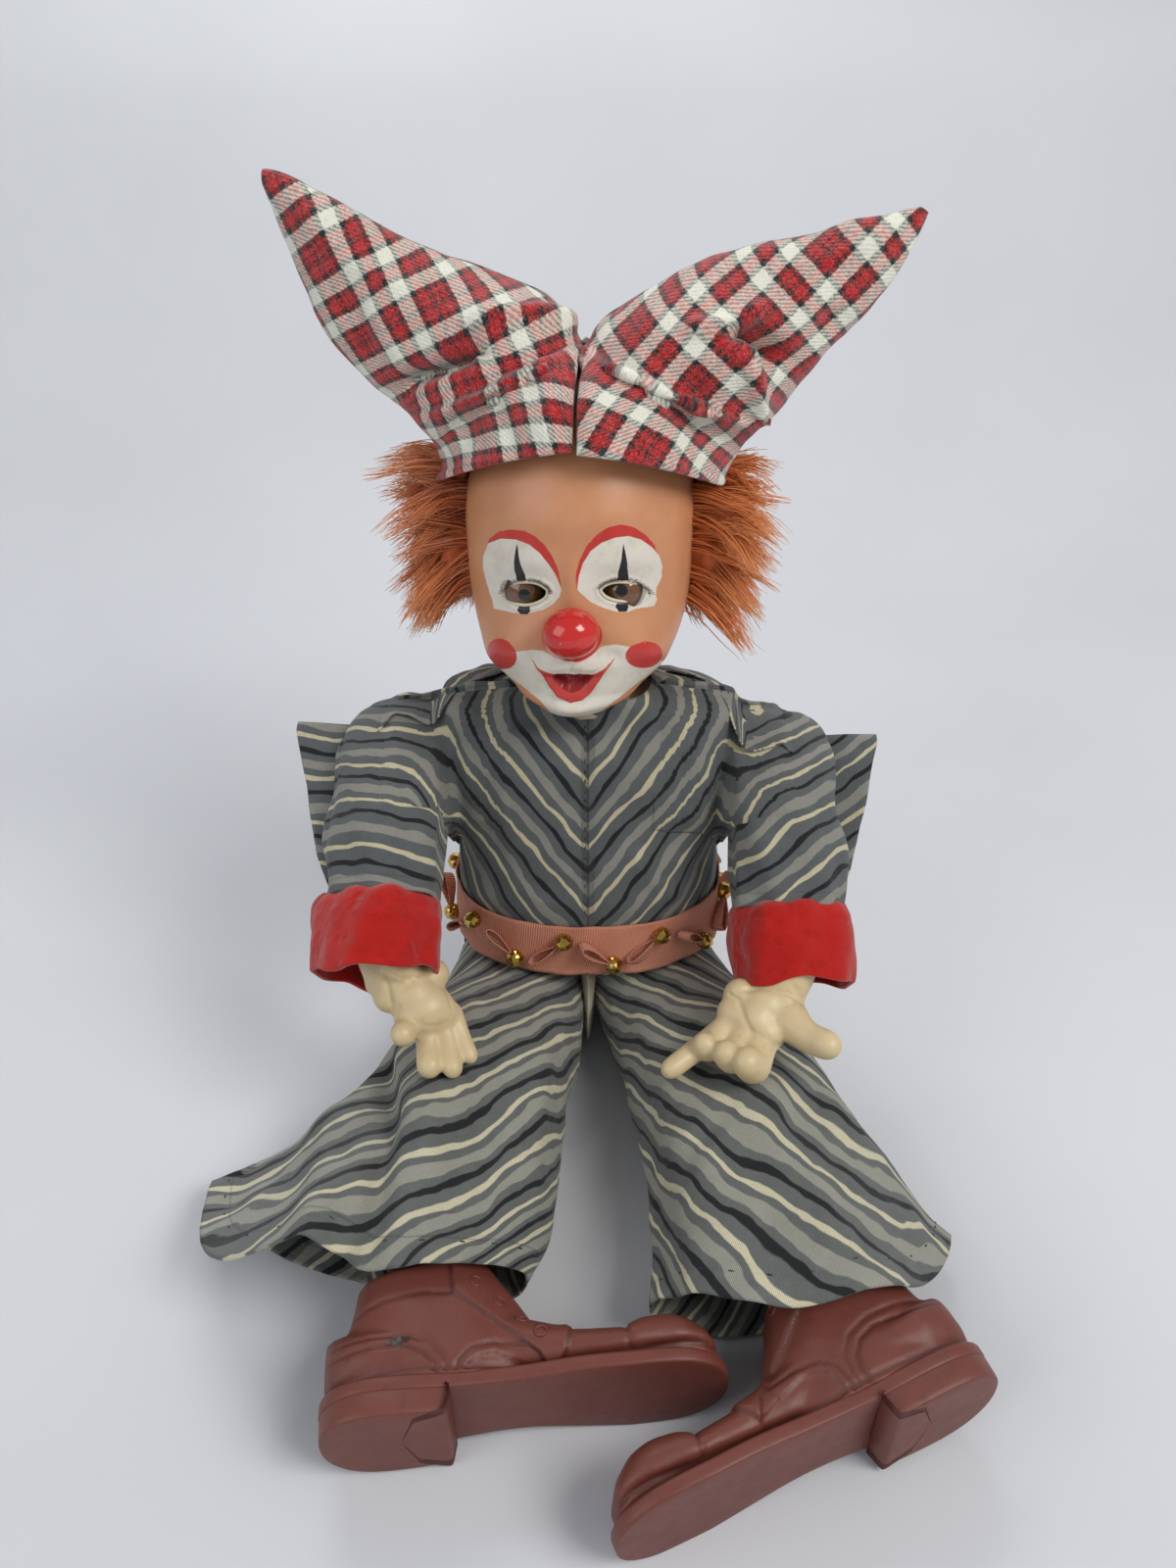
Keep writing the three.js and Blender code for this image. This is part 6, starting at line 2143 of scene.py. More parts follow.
def nose():
    """The red ball of the nose."""
    rows, cols = 60, 90
    centre = head_to_world(NOSE_AT)
    ahead = unit(on_ball((586, 645), centre, 9.8) - centre)
    side = unit(np.cross(ahead, (0, 0, 1)))
    rise = np.cross(side, ahead)
    points = []
    for tilt in np.linspace(0.01, math.pi * 0.8, rows):
        turn = np.linspace(0, 2 * math.pi, cols, endpoint=False)
        size = 9.9 + 1.6 * smooth_step(1.6, 2.4, tilt)
        wide = size * math.sin(tilt) * (1 + 0.04 * np.cos(2 * turn))
        points.append(
            centre
            + ahead * size * math.cos(tilt)
            + np.outer(np.cos(turn) * wide * 1.02, side)
            + np.outer(np.sin(turn) * wide * 0.97, rise)
        )
    faces = grid_faces(rows, cols)
    points, faces = capped(np.concatenate(points), faces, cols, rows, end=False)
    obj = piece("nose", points, faces, NOSE_PAINT)
    fix_normals(obj)
    set_coords(obj, coords(obj) + normals(obj) * (0.12 * fbm(coords(obj), 5, 2, 3))[:, None])
    thicken(obj, 1.2)
    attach(obj, "head")


def nose_paint():
    """Glossy red paint with worn and dirty spots."""
    look = Look("face_vinyl_nose", Roughness=0.16, Coat_Weight=0.5, Coat_Roughness=0.08)
    at = look.rest()
    shade = look.mix(look.noise(at, 7, 3.0), colour("b81a17"), colour("d62c25"))
    shade = look.mix(
        look.step(0.66, 0.7, look.noise(at, 1.7, 4.0, 0.65, seed=6), 0.0, 0.75), shade, colour("e8a595")
    )
    shade = look.mix(
        look.step(0.62, 0.8, look.noise(at, 3.5, 4.0, 0.7, seed=9), 0.0, 0.6), shade, colour("701312")
    )
    look.set("Base Color", shade)
    look.set("Roughness", look.math("MULTIPLY_ADD", look.noise(at, 4, 3.0, seed=2), 0.2, 0.08))
    look.raise_by(look.noise(at, 2.4, 3.0, seed=4), 0.05)
    return look.finish()


NOSE_PAINT = nose_paint()


HEAD_SIDE = 43.5


def ear(side):
    """A moulded ear: a shell with a rolled rim and a hollow."""
    sign = SIGN[side]
    rows, cols = 34, 72
    points = []
    for r in np.linspace(0, 1, rows):
        turn = np.linspace(0, 2 * math.pi, cols, endpoint=False)
        if r < 0.8:
            size = min(math.sin(r * math.pi * 0.62) / math.sin(math.pi * 0.62), 1.0)
        else:
            size = 1.0 - 0.18 * ((r - 0.8) / 0.2) ** 2
        lobe = 1 - 0.22 * smooth_step(0, -1, np.sin(turn))
        y = 3 + 8.0 * size * np.cos(turn) * lobe
        z = -9 + 13.5 * size * np.sin(turn)
        roll = 3.8 * math.exp(-(((r - 0.72) / 0.16) ** 2))
        dish = -1.6 * math.exp(-((r / 0.42) ** 2))
        back = -5.5 * smooth_step(0.82, 1.0, r)
        x = HEAD_SIDE + roll + dish + back + 1.2 * np.cos(turn) * size
        points.append(np.stack([sign * x, y, z], -1))
    faces = grid_faces(rows, cols)
    local, faces = capped(np.concatenate(points), faces, cols, rows, end=False)
    obj = piece(f"ear_{side}", head_to_world(local), faces, SKIN)
    for name in ("white", "red", "black", "deep"):
        store(obj, name, np.full(len(local), -9.0))
    fix_normals(obj)
    thicken(obj, 1.0)
    bake(obj, ("SUBSURF", {"levels": 1, "render_levels": 1}))
    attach(obj, "head")


# Boots, each in its own frame: the toe along x, the leg along z, the ankle at the origin
BOOT_TOE = {"left": (-0.92, -0.39, -0.05), "right": (0.99, 0.1, 0)}
BOOT_UP = {"left": (-0.26, 0.93, 0.06), "right": (-0.05, 0.95, 0.06)}
BOOT_AT = {"left": LEG_LENGTH - 18, "right": LEG_LENGTH - 26}
SOLE_TOP = -31.0
SOLE_BOTTOM = -36.0
HEEL_BOTTOM = -43.6
HEEL_FRONT = 13.5
# Height, and how far the outline is drawn in there
SOLE_LEVELS = (
    (SOLE_TOP + 0.2, 3.0), (SOLE_TOP + 0.15, 1.4), (SOLE_TOP - 0.1, 0.7), (SOLE_TOP - 0.6, 0.2),
    (SOLE_TOP - 1.2, 0.0), (SOLE_BOTTOM + 1.0, 0.05), (SOLE_BOTTOM + 0.4, 0.25),
    (SOLE_BOTTOM + 0.1, 0.6), (SOLE_BOTTOM, 1.2), (SOLE_BOTTOM, 6.0),
)
HEEL_LEVELS = (
    (SOLE_BOTTOM + 1.0, 1.0), (SOLE_BOTTOM - 0.2, 0.35), (HEEL_BOTTOM + 2.0, 0.6),
    (HEEL_BOTTOM + 0.5, 0.8), (HEEL_BOTTOM + 0.1, 1.2), (HEEL_BOTTOM, 1.9), (HEEL_BOTTOM, 6.0),
)
# The panels sit a little higher and further forward on the doll's left boot
PANEL_SHIFT = {"left": (5.0, 6.0), "right": (0.0, 0.0)}
# Half width of the sole along the boot, from the back of the heel to the toe
SOLE_OUTLINE = (
    (-32.0, 0.0), (-31.2, 7.0), (-28.5, 13.0), (-23.0, 18.5), (-14.0, 21.6), (0.0, 21.5), (20.0, 19.0),
    (38.0, 18.6), (58.0, 21.6), (78.0, 23.0), (92.0, 21.4), (100.0, 17.0), (104.5, 11.5), (106.4, 6.0),
    (107.0, 0.0),
)
# Top of the forefoot along its middle
VAMP_TOP = (
    (34, -9.0), (48, -15.0), (60, -17.0), (70, -18.0), (73, -18.3), (77, -15.6), (86, -14.4),
    (94, -16.0), (100, -20.0), (104, -26.0), (105.4, -31.0),
)
# Ankle: height, then back, front and half width
ANKLE = (
    (-31, (-28.5, 47.0, 20.4)),
    (-24, (-27.5, 48.5, 20.0)),
    (-16, (-25.5, 45.5, 19.6)),
    (-7, (-23.5, 39.5, 19.2)),
    (1, (-22.0, 33.0, 18.8)),
    (8, (-21.0, 28.0, 18.4)),
)
COLLAR_WALL = 2.6
FACING = (
    (13.0, 9.0), (14.0, -3.6), (26.0, -13.0), (37.5, -21.8), (39.0, -23.4), (43.0, -26.2),
    (46.8, -32.0), (52.0, -27.0), (54.0, -20.0), (44.0, -2.0), (34.0, 12.0),
)
WING_WINDOW = (
    (17.4, -46.0), (17.4, -32.0), (18.6, -28.6), (22.0, -25.8), (28.0, -25.0), (36.0, -27.6),
    (46.8, -32.2), (46.8, -46.0),
)
WING_BAND = (
    (14.2, -46.0), (14.4, -32.5), (15.6, -27.5), (20.0, -23.4), (28.0, -21.8), (38.0, -23.2),
    (39.0, -23.4),
)
COUNTER_IN = (
    (8.8, -46.0), (8.8, -31.5), (7.6, -27.0), (3.6, -23.0), (-3.0, -20.8), (-17.0, -20.8),
    (-30.0, -21.5),
)
COUNTER_OUT = (
    (12.2, -46.0), (12.2, -31.5), (11.0, -25.4), (6.0, -20.0), (-2.0, -17.4), (-14.0, -16.6),
    (-30.0, -17.0),
)
COLLAR_LINE = ((-26.0, -6.0), (-10.0, -3.4), (4.0, -2.2), (14.0, -3.6))
EYELETS = ((22.3, 0.6), (30.2, -6.6), (37.4, -13.6), (43.6, -20.2))


def boot_frame(side):
    """Turns boot points into place; the boot lies on its side on the floor."""
    toe = unit(BOOT_TOE[side])
    up = np.array(BOOT_UP[side])
    up = unit(up - toe * (up @ toe))
    turn = np.stack([toe, np.cross(up, toe), up])
    at = HIP * [SIGN[side], 1, 1] + leg_along(side) * BOOT_AT[side]
    at[2] += {"left": 0.45, "right": -1.6}[side]
    return lambda points: np.asarray(points, float) @ turn + at


def profile(pairs, x):
    """The reading at x on the straight lines between the pairs of an outline."""
    xs = np.array([a for a, _ in pairs], float)
    ys = np.array([b for _, b in pairs], float)
    return np.interp(x, xs, ys)


def sole_ring(line, inset=0.0, front=None):
    """The sole's outline drawn in by a distance, and cut off square at the front."""
    if front is not None:
        line = np.c_[np.minimum(line[:, 0], front), line[:, 1]]
    middle = np.array([np.mean([line[:, 0].min(), line[:, 0].max()]), 0.0])
    size = np.array([np.ptp(line[:, 0]), np.ptp(line[:, 1])]) / 2
    return middle + (line - middle) * (1 - inset / size)


def boot_upper_form():
    """The foot and the ankle as two closed lofts, in the boot's own frame."""
    count = 90
    rows = []
    for x in np.r_[np.linspace(-30.5, -24, 8), np.linspace(-20, 96, 40), np.linspace(97.5, 105.2, 10)]:
        wide = max(profile(SOLE_OUTLINE, x + 0.6 * np.sign(x - 40)) - 1.3, 0.6)
        top = profile(VAMP_TOP, x) if x > 34 else -9.0
        turn = np.linspace(0, 2 * math.pi, count, endpoint=False)
        a, b = ring(turn, wide, 1.0, 2.3)
        half = (top + 33.0) / 2
        z = -33.0 + half + b * half
        belly = 1 + 0.05 * np.clip(b, -1, 1) * (b < 0)
        rows.append(np.stack([np.full(count, x), a * belly, z], -1))
    foot = capped(np.concatenate(rows), grid_faces(len(rows), count), count, len(rows))
    heights = np.linspace(-31.5, 8, 40)
    rows = []
    turn = np.linspace(0, 2 * math.pi, count, endpoint=False)
    for z, (back, front, wide) in zip(heights, blend_rows(ANKLE, heights)):
        a, b = ring(turn, (front - back) / 2, wide, 2.5)
        pinch = 1 - 0.18 * smooth_step(0.3, 1.0, a / ((front - back) / 2))
        tilt = 0.10 * a * smooth_step(-10, 8, z)
        rows.append(np.stack([(front + back) / 2 + a, b * pinch, np.full(count, z) + tilt], -1))
    rim = rows[-1]
    middle = rim.mean(axis=0)
    for drop, inset in (
        (-0.9, 0.6),
        (-0.9, COLLAR_WALL - 0.6),
        (0.4, COLLAR_WALL),
        (6, COLLAR_WALL),
        (15, COLLAR_WALL + 0.4),
    ):
        flat = rim - middle
        size = np.linalg.norm(flat[:, :2], axis=1, keepdims=True)
        inner = middle + flat * (1 - inset / size)
        inner[:, 2] = rim[:, 2] - drop
        rows.append(inner)
    ankle = capped(np.concatenate(rows), grid_faces(len(rows), count), count, len(rows))
    return foot, ankle


def joined(forms):
    """Several closed forms as one mesh of separate shells."""
    points, faces = [], []
    for more, ring_faces in forms:
        base = sum(len(p) for p in points)
        points.append(np.asarray(more))
        faces += [tuple(base + i for i in face) for face in ring_faces]
    return np.concatenate(points), faces


def boot(side):
    """The boot's upper with its moulded panels, and then what is set on and under it."""
    place = boot_frame(side)
    points, faces = joined(boot_upper_form())
    obj = piece(f"boot_upper_{side}", points, faces, RUBBER)
    fix_normals(obj)
    bake(
        obj,
        ("REMESH", {"mode": "VOXEL", "voxel_size": 0.95 * MM, "use_smooth_shade": True}),
        ("SMOOTH", {"factor": 0.5, "iterations": 6}),
    )
    points = coords(obj)
    toward = normals(obj)
    dx, dz = PANEL_SHIFT[side]
    flat = points[:, [0, 2]] - [dx, dz]
    sideways = smooth_step(5, 11, np.abs(points[:, 1])) * smooth_step(0.15, 0.55, np.abs(toward[:, 1]))
    over = smooth_step(
        0.1, 0.4, toward[:, 1] ** 2 + toward[:, 0] ** 2 + np.clip(toward[:, 2], 0, 1) ** 2
    )
    facing = inside_flat(flat, FACING)
    window = inside_flat(flat, WING_WINDOW)
    band, _ = segment_distance(flat, WING_BAND)
    counter_in, _ = segment_distance(flat, COUNTER_IN)
    counter_out, _ = segment_distance(flat, COUNTER_OUT)
    collar_line, _ = segment_distance(flat, COLLAR_LINE)
    counter = inside_flat(flat, list(COUNTER_IN) + [(-40.0, -46.0)])
    lift = 1.7 * smooth_step(-0.4, 0.5, facing) * sideways
    lift -= 1.2 * smooth_step(-0.4, 0.5, window) * sideways
    lift += 0.35 * smooth_step(-0.4, 0.6, counter) * sideways
    lines = np.minimum.reduce([band, counter_in, counter_out + 0.15, collar_line + 0.2])
    edge = np.exp(-((facing / 0.9) ** 2)) * sideways
    groove = np.exp(-((lines / 0.8) ** 2)) * sideways * (points[:, 0] < 60)
    lift -= 0.9 * groove
    past = points[:, 0] - 73 + 0.1 * (points[:, 2] + 25)
    crease = np.exp(-((past / 0.7) ** 2)) * (points[:, 2] > -30)
    lift -= 0.75 * crease
    cap = smooth_step(72.6, 74.4, points[:, 0])
    lift += 0.5 * cap * smooth_step(-30, -26, points[:, 2])
    tuck = np.exp(-(((points[:, 2] + 29.4 - 1.6 * smooth_step(74, 100, points[:, 0])) / 1.2) ** 2))
    lift -= (0.9 + 1.0 * smooth_step(74, 84, points[:, 0])) * tuck
    lift += 0.28 * fbm(points, 14, 2, 80 + SIGN[side]) * over
    set_coords(obj, points + toward * lift[:, None])
    # Painted shade: the grooves, the facing's and the window's edges, the toe crease and the tuck above
    # the sole are darkened through the crease value.
    painted_groove_shade = np.maximum.reduce(
        [groove, edge, 0.9 * crease, 0.8 * tuck, 0.6 * np.exp(-((window / 0.8) ** 2)) * sideways]
    )
    store(obj, "crease", painted_groove_shade)
    store(obj, "at", points)
    bake(obj, ("SMOOTH", {"factor": 0.3, "iterations": 1}))
    skin = BVHTree.FromPolygons(coords(obj).tolist(), [list(p.vertices) for p in obj.data.polygons])
    set_coords(obj, place(coords(obj)))
    fix_normals(obj)
    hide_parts(f"boot_{side}")
    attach(obj, f"boot_{side}")
    boot_sole(side, place)
    boot_eyelets(side, place, (dx, dz), skin)
    if side == "right":
        boot_stain(side)


def inside_flat(points, outline):
    """Distance in mm from a closed outline in a plane, above 0 inside it."""
    return inside(points, outline) * PX_PER_MM


def boot_sole(side, place):
    """The sole with its rounded welt, and the heel block under it."""
    count = 220
    loop = list(SOLE_OUTLINE) + [(x, -y) for x, y in SOLE_OUTLINE[-2:0:-1]]
    line = catmull(loop, count, closed=True)
    forms = []
    rows = [np.c_[sole_ring(line, inset), np.full(count, z)] for z, inset in SOLE_LEVELS]
    forms.append(capped(np.concatenate(rows), grid_faces(len(rows), count), count, len(rows)))
    rows = []
    for z, inset in HEEL_LEVELS:
        front = HEEL_FRONT - inset - 0.12 * (SOLE_BOTTOM - z)
        rows.append(np.c_[sole_ring(line, inset, front), np.full(count, z)])
    forms.append(capped(np.concatenate(rows), grid_faces(len(rows), count), count, len(rows)))
    points, faces = joined(forms)
    arch = np.sin(np.clip((points[:, 0] - 13) / 60, 0, 1) * math.pi)
    points[:, 2] += 0.9 * arch
    obj = piece(f"boot_sole_{side}", place(points), faces, RUBBER)
    store(obj, "at", points)
    fix_normals(obj)
    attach(obj, f"boot_{side}")


def boot_eyelets(side, place, shift, skin):
    """Moulded rings down both lace facings, set on the rubber where it is."""
    forms = []
    for x, z in EYELETS:
        for sign in (1, -1):
            start = (x + shift[0] * 1.1, sign * 60.0, z + shift[1] * 1.1)
            spot, toward = skin.ray_cast(start, (0, -sign, 0))[:2]
            if spot is not None:
                forms.append(small_ring(np.array(spot), np.array(toward), 2.0, 0.5))
    points, faces = joined(forms)
    obj = piece(f"boot_eyelets_{side}", place(points), faces, RUBBER)
    store(obj, "at", points)
    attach(obj, f"boot_{side}")


def small_ring(centre, toward, radius, cord):
    """A ring of round cord that lies square to a direction."""
    around, sides = 28, 8
    side = unit(np.cross(toward, (0.2, 0.1, 1)))
    rise = np.cross(side, toward)
    points = []
    for turn in np.linspace(0, 2 * math.pi, around, endpoint=False):
        outwards = side * math.cos(turn) + rise * math.sin(turn)
        for k in range(sides):
            roll = 2 * math.pi * k / sides
            points.append(
                centre + outwards * (radius + cord * math.cos(roll)) + toward * cord * math.sin(roll)
            )
    return np.array(points), closed_tube_faces(around, sides)


def boot_stain(side):
    """The small dark stain on the outer side of one boot."""
    blots = [
        (0, 0, 1.8), (-2.6, -1.4, 1.2), (2.8, 0.9, 1.3), (1.2, -1.8, 0.9), (-4.0, -0.4, 0.7),
        (4.4, 1.3, 0.7),
    ]
    sides = 18
    target = bpy.data.objects[f"boot_upper_{side}"]
    tree_points = coords(target)
    forms = []
    for dx, dz, radius in blots:
        pixel = (405 + dx * 2.6, 1366 - dz * 2.6)
        ray = photo_ray(pixel)
        rel = tree_points - CAMERA_AT
        along = rel @ ray
        off = np.linalg.norm(rel - np.outer(along, ray), axis=1)
        near = np.where(off < 1.2, along, 1e9).argmin()
        centre = tree_points[near]
        toward = unit(normals(target)[near])
        side_way = unit(np.cross(toward, (0.1, 0.2, 1)))
        rise = np.cross(side_way, toward)
        turn = np.linspace(0, 2 * math.pi, sides, endpoint=False)
        ragged = radius * (1 + 0.25 * np.sin(3 * turn + dx) + 0.18 * np.sin(5 * turn + dz))
        aside = np.outer(np.cos(turn) * ragged, side_way)
        edge = centre + aside + np.outer(np.sin(turn) * ragged, rise)
        points = np.concatenate([[centre + toward * 0.22], edge + toward * 0.02])
        faces = [(0, 1 + k, 1 + (k + 1) % sides) for k in range(sides)]
        forms.append((points, faces))
    points, faces = joined(forms)
    obj = piece(f"boot_stain_{side}", points, faces, STAIN)
    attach(obj, f"boot_{side}")


# Hands, in world mm: each finger is knuckle points with a radius at each
HAND_POSE = {
    "right": {
        "wrist": (
            (-83.4, -96.0, 108.0, 11.2), (-80.6, -100.5, 97.5, 11.8), (-77.0, -105.0, 91.0, 11.6)
        ),
        "palm": (
            (-76.0, -108.0, 90.0, 11.0),
            (-70.0, -111.5, 86.5, 11.5),
            (-64.5, -115.0, 82.5, 11.5),
            (-68.5, -117.5, 82.0, 9.0),
            (-59.5, -115.5, 80.5, 8.5),
        ),
        "lobes": ((-83.0, -107.5, 89.5, 6.8), (-79.0, -113.0, 87.0, 7.0), (-62.0, -104.0, 90.5, 7.0)),
        "fingers": (
            ((-70.5, -118.0, 81.5, 5.2), (-71.6, -125.0, 80.5, 5.0), (-71.6, -130.5, 84.5, 5.2)),
            ((-64.2, -118.5, 78.0, 4.8), (-62.6, -128.0, 72.0, 5.0), (-61.8, -134.5, 70.6, 5.3)),
            ((-57.6, -117.5, 77.5, 4.3), (-54.8, -127.0, 71.6, 4.3), (-52.8, -134.5, 69.4, 4.4)),
            ((-54.0, -113.5, 79.5, 3.9), (-50.4, -121.0, 73.6, 3.6), (-46.4, -128.5, 69.6, 3.6)),
        ),
        "thumb": ((-71.5, -107.5, 93.0, 6.2), (-73.4, -109.8, 98.0, 5.6), (-76.4, -112.0, 103.5, 5.4)),
        "creases": (
            ([(388, 985), (404, 996), (428, 1002)], 1.6, -0.5),
            ([(392, 994), (397, 1010), (400, 1028)], 2.2, -1.1),
            ([(417, 1002), (442, 995), (452, 1004)], 2.0, 0.4),
            ([(425, 1040), (434, 1047), (448, 1047), (458, 1040)], 1.8, -0.5),
            ([(440, 990), (456, 1012), (463, 1034)], 1.5, -0.5),
        ),
    },
    "left": {
        "wrist": ((82.0, -88.0, 96.0, 13.0), (80.0, -95.0, 90.5, 13.8), (78.0, -100.5, 87.0, 13.4)),
        "palm": (
            (76.5, -104.5, 83.0, 12.6),
            (71.0, -111.5, 80.0, 11.5),
            (66.5, -117.5, 78.0, 10.0),
            (62.0, -114.0, 77.0, 10.0),
            (70.0, -122.0, 76.0, 8.6),
        ),
        "lobes": (
            (78.0, -112.0, 82.0, 9.0),
            (80.5, -119.0, 80.0, 8.2),
            (61.5, -108.0, 82.5, 7.8),
            (57.5, -113.5, 79.0, 6.6),
        ),
        "fingers": (
            ((68.5, -124.0, 74.5, 6.6), (64.2, -136.5, 72.0, 6.6), (60.6, -139.0, 78.5, 6.2)),
            ((61.5, -122.5, 75.0, 5.8), (56.0, -132.6, 72.0, 5.6), (53.0, -134.0, 78.0, 5.5)),
            ((54.5, -118.5, 75.0, 5.4), (47.8, -127.5, 72.5, 5.2), (45.2, -129.0, 77.5, 5.0)),
            ((53.0, -118.0, 73.6, 4.6), (42.0, -126.5, 70.5, 4.6), (32.0, -134.5, 69.0, 4.4)),
        ),
        "thumb": ((79.0, -119.0, 80.0, 7.2), (86.5, -128.0, 79.5, 6.0), (92.5, -133.5, 81.5, 6.0)),
        "creases": (
            ([(748, 1012), (778, 1008), (806, 1014), (822, 1026)], 2.4, -1.0),
            ([(768, 977), (795, 975), (820, 985)], 1.6, -0.35),
            ([(752, 1014), (760, 1040), (770, 1060)], 3.0, -0.9),
            ([(742, 1012), (756, 1022)], 1.6, -1.1),
            ([(768, 1052), (790, 1066), (812, 1070)], 3.4, -0.8),
            ([(808, 1004), (822, 1018)], 2.0, -0.8),
        ),
    },
}


BLEND_SWELL = 0.7


def chain(points):
    """A row of balls close enough together to read as one rounded limb."""
    out = []
    for a, b in zip(points[:-1], points[1:]):
        a, b = np.array(a, float), np.array(b, float)
        steps = max(int(np.linalg.norm(b[:3] - a[:3]) / 1.1), 1)
        out += [a + (b - a) * k / steps for k in range(steps)]
    out.append(np.array(points[-1], float))
    return out


def blob_skin(balls, spacing=1.0, blend=1.0, pad=3.0):
    """The skin of a set of softly blended balls, as a mesh found on a grid."""
    balls = np.array(balls)
    low = (balls[:, :3] - balls[:, 3:]).min(axis=0) - pad
    high = (balls[:, :3] + balls[:, 3:]).max(axis=0) + pad
    counts = np.ceil((high - low) / spacing).astype(int) + 1
    axes = [low[k] + np.arange(counts[k]) * spacing for k in range(3)]
    grid = np.stack(np.meshgrid(*axes, indexing="ij"), -1)
    field = np.full(counts, 0.0)
    for x, y, z, radius in balls:
        away = np.linalg.norm(grid - [x, y, z], axis=-1) - radius
        field += np.exp(-np.clip(away, -30, 30) * 2.0 / blend)
    return grid, -np.log(np.maximum(field, 1e-12)) * blend / 2.0


def surface_net(grid, field):
    """Quads where the field changes sign, one point in each crossed cell."""
    solid = field < 0
    corners = [(i, j, k) for i in (0, 1) for j in (0, 1) for k in (0, 1)]
    shape = np.array(field.shape) - 1
    cell_sum = np.zeros(shape, int)
    for i, j, k in corners:
        cell_sum += solid[i : i + shape[0], j : j + shape[1], k : k + shape[2]]
    crossed = (cell_sum > 0) & (cell_sum < 8)
    index = -np.ones(shape, int)
    index[crossed] = np.arange(crossed.sum())
    cells = np.argwhere(crossed)
    total = np.zeros((len(cells), 3))
    weight = np.zeros(len(cells))
    for a in corners:
        for axis in range(3):
            if a[axis]:
                continue
            b = tuple(a[n] + (n == axis) for n in range(3))
            fa = field[tuple((cells + a).T)]
            fb = field[tuple((cells + b).T)]
            change = (fa < 0) != (fb < 0)
            t = np.where(change, fa / np.where(fa == fb, 1, fa - fb), 0)
            pa, pb = grid[tuple((cells + a).T)], grid[tuple((cells + b).T)]
            total += (pa + (pb - pa) * t[:, None]) * change[:, None]
            weight += change
    points = total / np.maximum(weight, 1)[:, None]
    faces = []
    for axis in range(3):
        u, v = [(1, 2), (2, 0), (0, 1)][axis]
        low = [slice(0, None)] * 3
        high = [slice(0, None)] * 3
        low[axis], high[axis] = slice(0, -1), slice(1, None)
        edge = solid[tuple(low)] != solid[tuple(high)]
        at = np.argwhere(edge)
        at = at[(at[:, u] > 0) & (at[:, v] > 0) & (at[:, u] < shape[u]) & (at[:, v] < shape[v])]
        flip = solid[tuple(at.T)]
        quad = []
        for du, dv in ((-1, -1), (0, -1), (0, 0), (-1, 0)):
            cell = at.copy()
            cell[:, u] += du
            cell[:, v] += dv
            quad.append(index[tuple(cell.T)])
        quad = np.stack(quad, -1)
        quad[~flip] = quad[~flip][:, ::-1]
        faces += quad[(quad >= 0).all(axis=1)].tolist()
    return points, faces


def hand(side):
    """Soft vinyl fingers, thumb and palm in one skin, ending in a plug up the sleeve."""
    pose = HAND_POSE[side]
    balls = chain(pose["wrist"])
    balls += [np.array(ball) for ball in pose["palm"] + pose["lobes"]]
    for finger in pose["fingers"]:
        balls += chain(finger)
    balls += chain(pose["thumb"])
    grid, field = blob_skin(thin_out(balls), spacing=0.95)
    points, faces = surface_net(grid, field)
    obj = piece(f"hand_skin_{side}", points, faces, IVORY)
    fix_normals(obj)
    bake(obj, ("SMOOTH", {"factor": 0.5, "iterations": 4}))
    rest = coords(obj)
    press_folds(obj, pose["creases"])
    # Painted shade: the valleys of the creases are darkened through the crease value.
    painted_crease_shade = np.zeros(len(rest))
    photo = to_photo(rest)
    for line, width, height in pose["creases"]:
        away, _ = segment_distance(photo, line)
        painted_crease_shade = np.maximum(painted_crease_shade, np.exp(-((away / (width * 1.2)) ** 2)) * (height < 0))
    store(obj, "crease", painted_crease_shade * 0.45)
    store(obj, "at", rest)
    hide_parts(f"hand_{side}")
    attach(obj, f"hand_{side}")


def thin_out(balls):
    """Radii less what the blending of the balls adds."""
    return [np.append(b[:3], b[3] - BLEND_SWELL) for b in balls]


def dress(node, look):
    """A finer material on a CAD node whose shape is kept."""
    for part in bpy.data.objects[node].material_slots:
        part.material = look


def belt():
    """Ribbon sewn round the waist, with its two long edges a little wavy."""
    rows, cols = 20, 281
    heights = np.linspace(57.8, 82.2, rows)
    grid = torso_rows(heights, cols, grow=2.2)
    grid = np.concatenate([grid[:, cols // 2 :], grid[:, 1 : cols // 2 + 1]], axis=1)
    points = grid.reshape(-1, 3).copy()
    run = run_of(points, rows, cols)
    across = points[:, 2] - BELT_Z
    edge = smooth_step(9.5, 12.2, np.abs(across))
    total = run[:, -1:].mean()
    turn = 2 * math.pi * (run / total).ravel()
    wave = 0.5 * np.sin(9 * turn) + 0.35 * np.sin(23 * turn + 1.2)
    obj = piece("belt", points, sew_grid(rows, cols), RIBBON)
    store(obj, "weave", np.stack([run.ravel(), across, across], -1))
    store(obj, "seam", 12.2 - np.abs(across))
    store(obj, "wave", wave * edge)
    close_seam(obj)
    fix_normals(obj)
    points = coords(obj)
    toward = normals(obj)
    amount = read(obj, "wave") * 0.7 + 0.35 * fbm(points, 16, 2, 61)
    points = points + toward * amount[:, None]
    points[:, 0] = np.clip(points[:, 0], -BELT_SIDE, BELT_SIDE)
    set_coords(obj, points)
    thicken(obj, 0.7)
    loops = [belt_trim(number) for number in range(1, 17)]
    cloth(obj, 25, "stretched", ["suit_bodice", "suit_seat"], with_pieces=loops)
    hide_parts("belt_ribbon")
    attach(obj, "torso")


